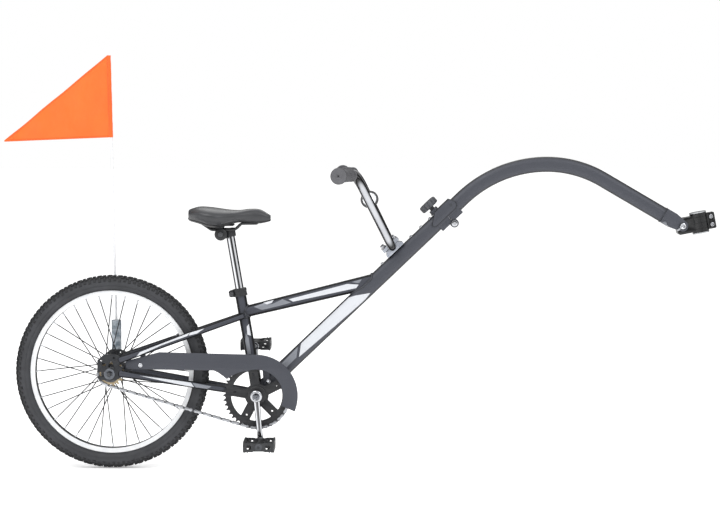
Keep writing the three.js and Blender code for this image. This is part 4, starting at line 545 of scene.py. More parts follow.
def rounded(corners: list[Pair], radius: float, steps: int = 5) -> list[Pair]:
    """Rounds the corners of an outline.

    Args:
        corners: The sharp outline.
        radius: The wanted radius; short sides get a smaller one.
        steps: How many steps each corner takes.

    Returns:
        The rounded outline.
    """
    points = []
    count = len(corners)
    for i in range(count):
        here = Vector(corners[i])
        before = Vector(corners[i - 1]) - here
        after = Vector(corners[(i + 1) % count]) - here
        turn = before.angle(after)
        back = min(radius / math.tan(turn / 2), before.length * 0.49, after.length * 0.49)
        start, stop = here + before.normalized() * back, here + after.normalized() * back
        for step in range(steps + 1):
            share = step / steps
            near = start.lerp(here, share).lerp(here.lerp(stop, share), share)
            points.append((near.x, near.y))
    return points


def plaque(left: float, low: float, right: float, high: float, radius: float, steps: int = 5) -> list[Pair]:
    """A rectangle with rounded corners."""
    return rounded([(left, low), (right, low), (right, high), (left, high)], radius, steps)


def bush(low: float, high: float, inner: float, outer: float, ease: float) -> list[Pair]:
    """The profile of a bush with its outer edges eased."""
    return [(low, inner), (low, outer - ease), (low + ease, outer), (high - ease, outer),
            (high, outer - ease), (high, inner)]


def inset(outline: list[Pair], amount: float) -> list[Pair]:
    """Moves a closed outline sideways to its left by an amount.

    Args:
        outline: The outline.
        amount: How far it moves; inward where it runs anticlockwise.

    Returns:
        The moved outline.
    """
    moved = []
    count = len(outline)
    for i in range(count):
        here = Vector(outline[i])
        before = (here - Vector(outline[i - 1])).normalized()
        after = (Vector(outline[(i + 1) % count]) - here).normalized()
        normal = Vector((-before.y - after.y, before.x + after.x))
        if normal.length < 1e-6:
            normal = Vector((-before.y, before.x))
        normal.normalize()
        reach = amount / max(normal.dot(Vector((-before.y, before.x))), 0.35)
        moved.append((here.x + normal.x * reach, here.y + normal.y * reach))
    return moved


def area_of(outline: list[Pair]) -> float:
    """The area of an outline, below 0 where it runs clockwise."""
    after = outline[1:] + outline[:1]
    return sum(a[0] * b[1] - b[0] * a[1] for a, b in zip(outline, after)) / 2


def smooth_line(knots: list[Pair], steps: int) -> list[Pair]:
    """A smooth line through knots.

    Args:
        knots: The points that it passes through.
        steps: How many steps lie between two knots.

    Returns:
        The points of the smooth line.
    """
    padded = [knots[0], *knots, knots[-1]]
    points = []
    for a, b, c, d in zip(padded, padded[1:], padded[2:], padded[3:]):
        for step in range(steps):
            t = step / steps
            points.append(tuple(
                0.5 * (2 * q + (r - p) * t + (2 * p - 5 * q + 4 * r - s) * t * t
                       + (3 * q - p - 3 * r + s) * t ** 3)
                for p, q, r, s in zip(a, b, c, d)))
    return [*points, knots[-1]]


@dataclass
class Track:
    """A line through space with a direction across it and one above it at each point."""

    points: list[Vector]
    tangents: list[Vector]

    @classmethod
    def bent(cls, corners: list[Vector], radii: list[float], steps: int = 14) -> "Track":
        """A line of straight legs with round bends.

        Args:
            corners: The ends and the sharp corners.
            radii: The radius of each bend.
            steps: How many steps each bend takes.

        Returns:
            The line.
        """
        points = [corners[0]]
        tangents = [(corners[1] - corners[0]).normalized()]
        for i in range(1, len(corners) - 1):
            before = (corners[i] - corners[i - 1]).normalized()
            after = (corners[i + 1] - corners[i]).normalized()
            turn = before.angle(after)
            inward = (after - before).normalized()
            centre = corners[i] + inward * (radii[i - 1] / math.cos(turn / 2))
            start = corners[i] - before * (radii[i - 1] * math.tan(turn / 2)) - centre
            axis = before.cross(after).normalized()
            for step in range(steps + 1):
                spin = Matrix.Rotation(turn * step / steps, 3, axis)
                points.append(centre + spin @ start)
                tangents.append(spin @ before)
        points.append(corners[-1])
        tangents.append((corners[-1] - corners[-2]).normalized())
        return cls(points, tangents)

    @classmethod
    def through(cls, points: list[Vector], loop: bool = False) -> "Track":
        """A line through close points.

        Args:
            points: The points.
            loop: Whether the last one runs back to the first.

        Returns:
            The line.
        """
        last = len(points) - 1
        tangents = []
        for i in range(len(points)):
            after = points[(i + 1) % len(points)] if loop else points[min(i + 1, last)]
            before = points[i - 1] if loop else points[max(i - 1, 0)]
            tangents.append((after - before).normalized())
        return cls(points, tangents)

    def frames(self) -> list[tuple[Vector, Vector]]:
        """The directions across and above, carried along the line without twist.

        Returns:
            One pair for each point.
        """
        across, above = square_to(self.tangents[0])
        found = [(across, above)]
        for tangent in self.tangents[1:]:
            across = (across - tangent * across.dot(tangent)).normalized()
            found.append((across, tangent.cross(across)))
        return found


class Blank:
    """A piece being worked: points in millimetres, faces, and the finish of each face."""

    def __init__(self) -> None:
        """Starts with nothing on the bench."""
        self.points: list[Vector] = []
        self.faces: list[list[int]] = []
        self.inks: list[int] = []

    def add(self, points: list[Vector], faces: list[list[int]], ink: int = 0) -> None:
        """Adds loose points and faces.

        Args:
            points: The points.
            faces: The faces, by the points' order in this call.
            ink: Which of the piece's finishes they get.
        """
        base = len(self.points)
        self.points.extend(points)
        self.faces.extend([[base + i for i in face] for face in faces])
        self.inks.extend([ink] * len(faces))

    def loft(self, rings: list[list[Vector]], loop: bool = False, ink: int = 0) -> None:
        """Skins rings of equal count, and closes both ends unless they meet.

        Args:
            rings: The rings in order.
            loop: Whether the last ring joins the first.
            ink: Which finish the skin gets.
        """
        size, count = len(rings[0]), len(rings)
        faces = []
        for r in range(count if loop else count - 1):
            a, b = r * size, (r + 1) % count * size
            faces.extend([a + i, a + (i + 1) % size, b + (i + 1) % size, b + i] for i in range(size))
        if not loop:
            faces.append(list(range(size))[::-1])
            faces.append([(count - 1) * size + i for i in range(size)])
        self.add([point for ring in rings for point in ring], faces, ink)

    def turn(self, centre: Vector, axis: Vector, profile: list[Pair], sides: int = 48,
             loop: bool = False, ink: int = 0) -> None:
        """Turns a profile about an axis, as on a lathe.

        Args:
            centre: Where the axis starts.
            axis: Its direction, of length 1.
            profile: Points as (along, radius).
            sides: How many facets go round.
            loop: Whether the profile closes on itself, as in a ring.
            ink: Which finish it gets.
        """
        first, second = square_to(axis)
        spins = [2 * math.pi * i / sides for i in range(sides)]
        rings = [[centre + axis * along + (first * math.cos(spin) + second * math.sin(spin)) * radius
                  for spin in spins] for along, radius in profile]
        self.loft(rings, loop, ink)

    def rod(self, start: Vector, end: Vector, radius: float, sides: int = 32,
            edge: float = 0.4, ink: int = 0) -> None:
        """A round bar with eased ends.

        Args:
            start: The middle of one end.
            end: The middle of the other.
            radius: Its radius.
            sides: How many facets go round.
            edge: How much is taken off its end edges.
            ink: Which finish it gets.
        """
        length = (end - start).length
        profile = [(0, radius - edge), (edge, radius), (length - edge, radius), (length, radius - edge)]
        self.turn(start, (end - start).normalized(), profile, sides, False, ink)

    def sweep(self, track: Track, section: list[Pair], loop: bool = False) -> None:
        """Drags a section along a line.

        Args:
            track: The line.
            section: The section as (across, up).
            loop: Whether the line closes on itself.
        """
        rings = [[point + across * a + above * b for a, b in section]
                 for point, (across, above) in zip(track.points, track.frames())]
        self.loft(rings, loop)

    def plate(self, place: Place, outline: list[Pair], holes: list[list[Pair]], near: float, far: float,
              edge: float = 0.4, ink: int = 0) -> None:
        """Cuts a plate to an outline with holes and eases its edges.

        Args:
            place: The plane of the outline.
            outline: The outline as (forward, up).
            holes: The outlines of the holes.
            near: Where the plate starts across the bike.
            far: Where it ends.
            edge: How much is taken off its edges.
            ink: Which finish it gets.
        """
        self.slab([place.at(0, near), place.forward, place.up, ACROSS * math.copysign(1, far - near)],
                  outline, holes, abs(far - near), edge, ink)

    def slab(self, axes: list[Vector], outline: list[Pair], holes: list[list[Pair]], thickness: float,
             edge: float = 0.4, ink: int = 0) -> None:
        """Cuts a plate in any plane.

        Args:
            axes: Its corner, the directions of the outline's two numbers, and the way it thickens.
            outline: The outline.
            holes: The outlines of the holes.
            thickness: Its thickness.
            edge: How much is taken off its edges.
            ink: Which finish it gets.
        """
        corner, first, second, through = axes
        loops = [outline if area_of(outline) > 0 else outline[::-1]]
        loops += [hole if area_of(hole) < 0 else hole[::-1] for hole in holes]
        levels = [(0, edge), (0.3 * edge, 0.3 * edge), (edge, 0),
                  (thickness - edge, 0), (thickness - 0.3 * edge, 0.3 * edge), (thickness, edge)]
        points, faces, starts = [], [], []
        for line in loops:
            size = len(line)
            starts.append((len(points), size))
            for depth, back in levels:
                points.extend(corner + first * a + second * b + through * depth for a, b in inset(line, back))
            for level in range(len(levels) - 1):
                a = starts[-1][0] + level * size
                faces.extend([a + i, a + (i + 1) % size, a + size + (i + 1) % size, a + size + i]
                             for i in range(size))
        flat = [[Vector((a, b, 0)) for a, b in inset(line, edge)] for line in loops]
        for level in (0, len(levels) - 1):
            order = [start + level * size + i for start, size in starts for i in range(size)]
            faces.extend([order[i] for i in corners] for corners in tessellate_polygon(flat))
        self.add(points, faces, ink)

    def block(self, place: Place, low: tuple[float, float, float], high: tuple[float, float, float],
              edge: float = 0.6, ink: int = 0) -> None:
        """A block with eased edges between two opposite corners of a plane's space.

        Args:
            place: The plane.
            low: Its lowest corner.
            high: Its highest corner.
            edge: How much is taken off its edges.
            ink: Which finish it gets.
        """
        outline = plaque(low[0], low[2], high[0], high[2], edge, 2)
        self.plate(place, outline, [], low[1], high[1], edge, ink)

    def fit(self, name: str, body: str, finishes: Finish | list[Finish], *nodes: str,
            crease: float = 32) -> bpy.types.Object:
        """Hands the worked piece over and puts it on its body.

        Args:
            name: What the piece is called.
            body: The body that it rides on.
            finishes: Its finish, or its finishes in the order of the faces' numbers.
            *nodes: The nodes that it replaces.
            crease: The angle above which an edge stays crisp, in degrees.

        Returns:
            The piece.
        """
        finishes = finishes if isinstance(finishes, list) else [finishes]
        return mount(self.piece(name, finishes, crease), body, finishes[0], *nodes)

    def piece(self, name: str, finishes: list[Finish], crease: float = 32) -> bpy.types.Object:
        """Hands the worked piece over as an object.

        Args:
            name: What the piece is called.
            finishes: Its finishes, in the order of the faces' numbers.
            crease: The angle above which an edge stays crisp, in degrees.

        Returns:
            The piece.
        """
        mesh = bpy.data.meshes.new(name)
        mesh.from_pydata([point * MM for point in self.points], [], self.faces)
        mesh.polygons.foreach_set("material_index", self.inks)
        table = bmesh.new()
        table.from_mesh(mesh)
        bmesh.ops.recalc_face_normals(table, faces=table.faces)
        table.to_mesh(mesh)
        table.free()
        for finish in finishes:
            mesh.materials.append(finish.material())
        mesh.shade_smooth()
        mesh.set_sharp_from_angle(angle=math.radians(crease))
        made = bpy.data.objects.new(name, mesh)
        bpy.context.scene.collection.objects.link(made)
        return made


def settle(piece: bpy.types.Object, crease: float = 32) -> None:
    """Applies what is still pending on a piece and marks its crisp edges again.

    Args:
        piece: The piece.
        crease: The angle above which an edge stays crisp, in degrees.
    """
    bpy.context.view_layer.update()
    worked = piece.evaluated_get(bpy.context.evaluated_depsgraph_get())
    mesh = bpy.data.meshes.new_from_object(worked)
    piece.modifiers.clear()
    piece.data = mesh
    mesh.shade_smooth()
    mesh.set_sharp_from_angle(angle=math.radians(crease))


def carve(piece: bpy.types.Object, tool: bpy.types.Object, crease: float = 32) -> None:
    """Cuts one shape out of a piece.

    Args:
        piece: The piece.
        tool: The shape that is taken away and thrown out.
        crease: The angle above which an edge stays crisp, in degrees.
    """
    cut = piece.modifiers.new("cut", "BOOLEAN")
    cut.operation = "DIFFERENCE"
    cut.solver = "EXACT"
    cut.object = tool
    settle(piece, crease)
    bpy.data.objects.remove(tool)


def mount(piece: bpy.types.Object, body: str, finish: Finish, *nodes: str) -> bpy.types.Object:
    """Puts a piece on its body, in place of the nodes that it stands for.

    Args:
        piece: The piece.
        body: The body that it rides on.
        finish: Not used.
        *nodes: The nodes that it replaces.

    Returns:
        The same piece.
    """
    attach(piece, body)
    if nodes:
        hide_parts(*nodes)
    return piece


@dataclass(frozen=True)
class Layout:
    """Where the bike's main lines lie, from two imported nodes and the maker's distances."""

    main_pitch: float = 43.7
    seat_lean: float = 9.6
    hinge_along: float = 679
    clamp_along: float = 520
    main_half: float = 20.5
    bar_rise: float = 16
    knuckle_back: float = 21.6
    knuckle_up: float = 427
    first_leg: float = 187
    crest_leg: float = 204.5
    last_leg: float = 259.3
    arm_drop: float = 30.3
    fork_length: float = 56.4
    hitch_lean: float = 11
    tongue_length: float = 46.5
    pole_out: float = 75.1
    holder_top: float = 127.5
    pole_lean: float = 1.1

    @cached_property
    def wheel(self) -> Place:
        """The wheel's axis."""
        low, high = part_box("tyre")
        return Place((low + high) / 2 / MM)

    @cached_property
    def crank(self) -> Place:
        """The crank's axis."""
        low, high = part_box("bottom_bracket_shell")
        return Place((low + high) / 2 / MM)

    @cached_property
    def main(self) -> Place:
        """The main tube's line, from the crank."""
        return Place(self.crank.origin, self.main_pitch)

    @cached_property
    def seat(self) -> Place:
        """The seat tube's line, as up, from the crank."""
        return Place(self.crank.origin, self.seat_lean)

    @cached_property
    def split(self) -> Place:
        """The end of the main tube, where the arm folds."""
        return self.main.moved(self.hinge_along)

    @cached_property
    def clamp(self) -> Place:
        """The seat of the bar clamp on top of the main tube."""
        return self.main.moved(self.clamp_along, 0, self.main_half)

    @cached_property
    def bar(self) -> Place:
        """The steering bar's axis."""
        return Place(self.clamp.at(0, 0, self.bar_rise))

    @cached_property
    def saddle(self) -> Place:
        """The knuckle that the saddle tilts on."""
        return Place(self.seat.at(-self.knuckle_back, 0, self.knuckle_up))

    @cached_property
    def arm_corners(self) -> list[Vector]:
        """The corners of the tow arm's middle line.

        Returns:
            Its start, the end of its rise, the end of its crest and its low end.
        """
        rise = self.split.at(self.first_leg)
        crest = rise + Vector((self.crest_leg, 0, 0))
        return [self.split.origin, rise, crest, Place(crest, -self.arm_drop).at(self.last_leg)]

    @cached_property
    def fork(self) -> Place:
        """The start of the fork at the arm's end."""
        return Place(self.arm_corners[-1], -self.arm_drop)

    @cached_property
    def hitch(self) -> Place:
        """The axis of the hitch pin."""
        return Place(self.fork.at(self.fork_length), self.hitch_lean)

    @cached_property
    def bushing(self) -> Place:
        """The axis of the bushing, as up."""
        return self.hitch.moved(self.tongue_length)

    @cached_property
    def pole(self) -> Place:
        """The flag pole's line, as up, from the mouth of its holder."""
        return Place(self.wheel.at(0, self.pole_out, self.holder_top), self.pole_lean)


BIKE = Layout()


@dataclass(frozen=True)
class Tube:
    """A straight tube of flat-sided oval section, whose height may grow along it."""

    start: Vector
    end: Vector
    width: float
    height: float
    end_height: float
    ripple: float = 0.16
    ripple_turn: float = 2.1

    @cached_property
    def length(self) -> float:
        """Its length."""
        return (self.end - self.start).length

    @cached_property
    def along(self) -> Vector:
        """The direction that it runs in."""
        return (self.end - self.start).normalized()

    @cached_property
    def across(self) -> Vector:
        """The direction of its width."""
        return square_to(self.along)[0]

    @cached_property
    def above(self) -> Vector:
        """The direction of its height."""
        return self.along.cross(self.across)

    def height_at(self, distance: float) -> float:
        """Its height at a distance from its start."""
        return self.height + (self.end_height - self.height) * distance / self.length

    def ring(self, distance: float) -> list[Vector]:
        """The points round it at a distance from its start.

        Args:
            distance: How far along the tube they lie.

        Returns:
            The points in order.
        """
        section = circle(self.width / 2, 48, self.height_at(distance))
        base = self.start + self.along * distance
        return [base + self.across * a + self.above * b for a, b in section]

    def outside(self, point: Vector) -> float:
        """How far a point lies outside the tube's skin.

        Args:
            point: The point.

        Returns:
            The distance, below 0 inside the tube.
        """
        way = point - self.start
        distance, side, up = way.dot(self.along), way.dot(self.across), way.dot(self.above)
        rise = max((self.height_at(distance) - self.width) / 2, 0)
        return math.hypot(side, max(abs(up) - rise, 0)) - self.width / 2

    def on_side(self, distance: float, up: float, side: Side, lift: float) -> Vector:
        """A point on one flank of the tube.

        Args:
            distance: How far along the tube.
            up: How far above its middle line.
            side: Which flank.
            lift: How far it stands proud of the skin.

        Returns:
            The point.
        """
        rise = max((self.height_at(distance) - self.width) / 2, 0)
        round_up = min(max(abs(up) - rise, 0), self.width / 2 - 0.5)
        half = self.width / 2
        out = math.sqrt(half * half - round_up * round_up)
        normal = Vector((0, out / half, math.copysign(round_up / half, up)))
        base = self.start + self.along * distance
        return (base + self.across * ((out + normal.y * lift) * side.value)
                + self.above * (up + normal.z * lift))

    def build(self, blank: Blank, ink: int = 0) -> None:
        """Adds the tube to a piece.

        Args:
            blank: The piece being worked.
            ink: Which finish it gets.
        """
        steps = 12
        rings = [self.ring(self.length * i / steps) for i in range(steps + 1)]
        blank.loft(rings, ink=ink)

    def weld_to(self, blank: Blank, other: "Tube", start: float, stop: float, size: float = 2.6) -> None:
        """Lays a rippled weld bead where this tube runs into another.

        Args:
            blank: The piece being worked.
            other: The tube that it runs into.
            start: A distance along this tube that lies inside the other.
            stop: A distance that lies outside it.
            size: The radius of the bead.
        """
        sides = 96
        line = []
        section = circle(self.width / 2, sides, self.height)
        for i in range(sides):
            inside, clear = start, stop
            for _ in range(22):
                middle = (inside + clear) / 2
                growth = self.height_at(middle) / self.height
                a, b = section[i]
                point = self.start + self.along * middle + self.across * a + self.above * (b * growth)
                if other.outside(point) < 0:
                    inside = middle
                else:
                    clear = middle
            line.append(point)
        track = Track.through(line, True)
        rings = []
        for i, point in enumerate(track.points):
            middle = self.start + self.along * (point - self.start).dot(self.along)
            radial = (point - middle).normalized()
            second = track.tangents[i].cross(radial).normalized()
            radius = size * (1 + self.ripple * math.sin(i * self.ripple_turn))
            rings.append([point + radial * (a * radius) + second * (b * radius) for a, b in circle(1, 8)])
        blank.loft(rings, True)


@dataclass(frozen=True)
class Panel:
    """A bare printed panel on the flank of a tube."""

    tube: Tube
    outline: tuple[Pair, ...]
    finish: Finish

    def build(self, name: str, side: Side) -> bpy.types.Object:
        """Lays the panel on one flank as a film that follows the tube.

        Args:
            name: What the piece is called.
            side: Which flank.

        Returns:
            The piece.
        """
        film = bmesh.new()
        corners = [film.verts.new((a, b, 0)) for a, b in self.outline]
        film.faces.new(corners)
        for axis, step in ((1, 1.6), (0, 14)):
            lowest = min(corner[axis] for corner in self.outline)
            highest = max(corner[axis] for corner in self.outline)
            for i in range(1, int((highest - lowest) / step) + 1):
                spot = [0, 0, 0]
                normal = [0, 0, 0]
                spot[axis] = lowest + i * step
                normal[axis] = 1
                geometry = film.verts[:] + film.edges[:] + film.faces[:]
                bmesh.ops.bisect_plane(film, geom=geometry, plane_co=spot, plane_no=normal)
        film.verts.ensure_lookup_table()
        blank = Blank()
        count = len(film.verts)
        for lift in (0.16, -0.5):
            blank.points.extend(self.tube.on_side(v.co.x, v.co.y, side, lift) for v in film.verts)
        for face in film.faces:
            loop = [v.index for v in face.verts]
            blank.faces += [loop, [count + i for i in loop[::-1]]]
        for edge in film.edges:
            if len(edge.link_faces) == 1:
                a, b = edge.verts[0].index, edge.verts[1].index
                blank.faces.append([a, b, count + b, count + a])
        film.free()
        blank.inks = [0] * len(blank.faces)
        return blank.fit(name, "frame", self.finish, crease=60)


@dataclass
class RearFrame:
    """The painted frame: its tubes, stays, dropouts, welds and bare panels."""

    main_height: float = 41
    main_width: float = 31
    top_heights: Pair = (30, 38)
    top_width: float = 27
    top_root: float = 216
    top_meeting: float = 429.6
    seat_diameter: float = 28.6
    seat_length: float = 279
    seat_bore: float = 11.6
    shell_diameter: float = 42
    shell_width: float = 68
    shell_bore: float = 17.6
    tongue: Pair = (34, 30)
    tongue_squash: float = 0.36
    tongue_swell: float = 0.08
    tongue_tips: tuple[Pair, ...] = ((2.5, 0.86), (4.2, 0.55))
    stay_rings: int = 24
    screw: tuple[Pair, ...] = ((0, 5.2), (1.2, 5.2), (1.6, 4.8), (1.9, 3.6), (3.6, 3.3), (4.2, 2.6),
                               (4.2, 1.6), (2.4, 1.4))
    chainstay_diameter: float = 17
    chainstay_out: float = 19
    seatstay_diameter: float = 16
    seatstay_out: float = 20
    seatstay_root: float = 208
    stay_end: Pair = (27, 57.5)
    stay_rises: Pair = (1, 36)
    dropout_faces: Pair = (55, 60)
    screw_places: tuple[float, ...] = (470, 573, 609, 640)

    @cached_property
    def main(self) -> Tube:
        """The main tube."""
        end = BIKE.split.at(-0.15)
        return Tube(BIKE.crank.origin, end, self.main_width, self.main_height, self.main_height)

    @cached_property
    def seat(self) -> Tube:
        """The seat tube."""
        end = BIKE.seat.at(0, 0, self.seat_length)
        return Tube(BIKE.crank.origin, end, self.seat_diameter, self.seat_diameter, self.seat_diameter)

    @cached_property
    def top(self) -> Tube:
        """The top tube, which grows towards the front."""
        start = BIKE.seat.at(0, 0, self.top_root)
        return Tube(start, BIKE.main.at(self.top_meeting), self.top_width, *self.top_heights)

    @cached_property
    def shell(self) -> Tube:
        """The bottom bracket shell.

        Returns:
            Its tube, which runs across the bike.
        """
        half = ACROSS * self.shell_width / 2
        middle = BIKE.crank.origin
        size = self.shell_diameter
        return Tube(middle - half, middle + half, size, size, size)

    def stay(self, side: Side, high: bool) -> Tube:
        """One of the four rear stays.

        Args:
            side: Which side of the wheel it passes.
            high: Whether it is a seatstay.

        Returns:
            The stay as a tube.
        """
        sign = side.value
        root = BIKE.seat.at(0, sign * self.seatstay_out, self.seatstay_root)
        if not high:
            root = BIKE.crank.at(0, sign * self.chainstay_out)
        end = BIKE.wheel.at(self.stay_end[0], sign * self.stay_end[1], self.stay_rises[int(high)])
        size = self.seatstay_diameter if high else self.chainstay_diameter
        return Tube(root, end, size, size, size)

    def build_tubes(self) -> None:
        """Makes the three main tubes and the shell."""
        for name, tube in (("main_tube", self.main), ("top_tube", self.top)):
            blank = Blank()
            tube.build(blank)
            finish = Look.TUBE if name == "top_tube" else Look.PAINT
            blank.fit(f"painted_{name}", "frame", finish, name)
        blank = Blank()
        outer, inner, top = self.seat_diameter / 2, self.seat_bore, self.seat_length
        blank.turn(BIKE.crank.origin, BIKE.seat.up, [
            (0, inner), (0, outer), (top - 0.5, outer), (top, outer - 0.5), (top, inner)], 48, True)
        blank.fit("painted_seat_tube", "frame", Look.TUBE, "seat_tube")
        blank = Blank()
        half, radius = self.shell_width / 2, self.shell_diameter / 2
        blank.turn(BIKE.crank.origin, ACROSS, bush(-half, half, self.shell_bore, radius, 0.8), 64, True)
        blank.fit("painted_shell", "frame", Look.PAINT, "bottom_bracket_shell")

    def build_stay(self, side: Side, high: bool) -> None:
        """Makes one stay, flattened to a tongue over its dropout.

        Args:
            side: Which side of the wheel it passes.
            high: Whether it is a seatstay.
        """
        stay = self.stay(side, high)
        radius, last = stay.width / 2, self.stay_rings
        before, stretch = self.tongue
        rings = []
        for i in range(last + 1):
            distance = stay.length * i / last
            near = min(max((distance - stay.length + before) / stretch, 0), 1)
            flat = radius * (1 - self.tongue_squash * near * near * (3 - 2 * near))
            tall = radius * (1 + self.tongue_swell * near)
            base = stay.start + stay.along * distance
            rings.append([base + stay.across * (a * flat) + stay.above * (b * tall)
                          for a, b in circle(1, 32)])
        middle = rings[last][0].lerp(rings[last][16], 0.5)
        for extra, shrink in self.tongue_tips:
            base = stay.end + stay.along * extra
            rings.append([base + (p - middle) * shrink for p in rings[last]])
        blank = Blank()
        blank.loft(rings)
        name = f"{'seatstay' if high else 'chainstay'}_{side.word}"
        blank.fit(f"painted_{name}", "frame", Look.TUBE, name, crease=50)

    def build_welds(self) -> None:
        """Lays the weld beads round every joint of the tubes."""
        blank = Blank()
        self.top.weld_to(blank, self.seat, 0, 60)
        back = Tube(self.top.end, self.top.start, self.top_width, self.top_heights[1], self.top_heights[0])
        back.weld_to(blank, self.main, 0, 150, 3)
        self.main.weld_to(blank, self.shell, 0, 60, 3)
        self.seat.weld_to(blank, self.shell, 0, 40)
        for side in Side:
            self.stay(side, False).weld_to(blank, self.shell, 0, 40, 2)
            self.stay(side, True).weld_to(blank, self.seat, -6, 40, 2)
        blank.fit("weld_beads", "frame", Look.WELD, crease=80)

    def build_dropouts(self) -> None:
        """Cuts the two slotted plates that hold the axle."""
        outline = rounded([
            (-31, -9.3), (-26.4, -15.5), (18, -15.5), (33, -7), (33, 17.3), (21.5, 24),
            (32, 31.6), (26.4, 45.9), (13.9, 51), (-14, 51), (-31, 35.7), (-31, 5.3)], 4, 4)
        slot = [(-31, 5.3)] + arc(1.7, 0, 5.3, 90, -90) + [(-31, -5.3)]
        first = next(i for i, p in enumerate(outline) if p[0] < -30.9 and p[1] < -4)
        outline = outline[first:] + outline[:first]
        outline = [p for p in outline if not (p[0] < -30 and -9 < p[1] < 9)] + slot
        holes = [
            rounded([(-4.6, 19.4), (14.8, 13.5), (4.9, 35.7)], 2.4, 4),
            plaque(-18.4, 20.5, -9.5, 29.5, 1.2, 3),
            ring_of(-21.4, 35.6, 2.7, 20), ring_of(12, 42, 3.2, 20),
        ]
        for side in Side:
            blank = Blank()
            near, far = (face * side.value for face in self.dropout_faces)
            blank.plate(BIKE.wheel, outline, holes, near, far, 0.6)
            name = f"dropout_{side.word}"
            # the dropouts take the darker copy of the enamel as painted shade
            blank.fit(f"painted_{name}", "frame", Look.SHADED, name)

    def build_screws(self) -> None:
        """Sets the small screws along the top of the main tube."""
        blank = Blank()
        for distance in self.screw_places:
            foot = BIKE.main.at(distance, 0, self.main_height / 2 - 0.6)
            blank.turn(foot, BIKE.main.up, list(self.screw), 24)
        blank.fit("position_screws", "frame", Look.CHROME)

    def build_panels(self) -> None:
        """Lays the bare white and grey panels on both flanks of the frame."""
        top, main, seat = self.top, self.main, self.seat
        rows = {
            "main_white": (main, ((146, -5.2), (174, 16.4), (347, 17.3), (363, 9.7), (396, -12.4),
                                  (376, -15.4), (354, -15.2)), Look.PANEL_WHITE),
            "main_grey": (main, ((102, 13.8), (162, 16.1), (140, -1.3), (102, -2.2)), Look.PANEL_GREY),
            "top_white": (top, ((123, 6.1), (133, -2.6), (301, -6.6), (309, 0.7), (282, 9.1)),
                          Look.PANEL_WHITE),
            "top_grey": (top, ((30, 8.3), (56, 11.3), (65, 6.4), (79, 4.3), (108, 9.7), (128, -3.8),
                               (102, -4.7), (49, -4.4)), Look.PANEL_GREY),
            "top_chip": (top, ((56, 12.3), (84, 13), (78, 7.1), (65, 6.4)), Look.PANEL_WHITE),
            "top_line": (top, ((294, 11.1), (320, 12), (313, 5.1), (308, 4.8)), Look.PANEL_GREY),
            "seat_white": (seat, ((184, -8.9), (153, -9.4), (158, -0.6), (179, -3)), Look.PANEL_WHITE),
            "seat_grey": (seat, ((162, 2.5), (148, -2.8), (106, -1.5), (107, 7.9), (142, 7.9)),
                          Look.PANEL_GREY),
        }
        for name, (tube, outline, finish) in rows.items():
            for side in Side:
                Panel(tube, outline, finish).build(f"panel_{name}_{side.word}", side)
        stays = {
            "seatstay_white": (True, ((295, -5.1), (283, 2.5), (146, 6.4), (154, 0.6), (225, 0.4)),
                               Look.PANEL_WHITE),
            "seatstay_chip": (True, ((145, 6), (106, 4.1), (129, -1.8), (151, 0.4)), Look.PANEL_WHITE),
            "chainstay_white": (False,
                                ((308, 3.4), (240, 4.8), (175, 5.2), (165, -5), (182, -5), (240, -1.6)),
                                Look.PANEL_WHITE),
            "chainstay_grey": (False, ((171, 5.2), (121, 3.4), (131, -4.6), (161, -5.2)),
                               Look.PANEL_GREY),
        }
        for name, (high, outline, finish) in stays.items():
            for side in Side:
                sign = -1 if self.stay(side, high).above.z < 0 else 1
                drawn = tuple((a, b * sign) for a, b in outline)
                Panel(self.stay(side, high), drawn, finish).build(f"panel_{name}_{side.word}", side)

    def build(self) -> None:
        """Makes the whole painted frame."""
        self.build_tubes()
        for side in Side:
            for high in (False, True):
                self.build_stay(side, high)
        self.build_welds()
        self.build_dropouts()
        self.build_screws()
        self.build_panels()


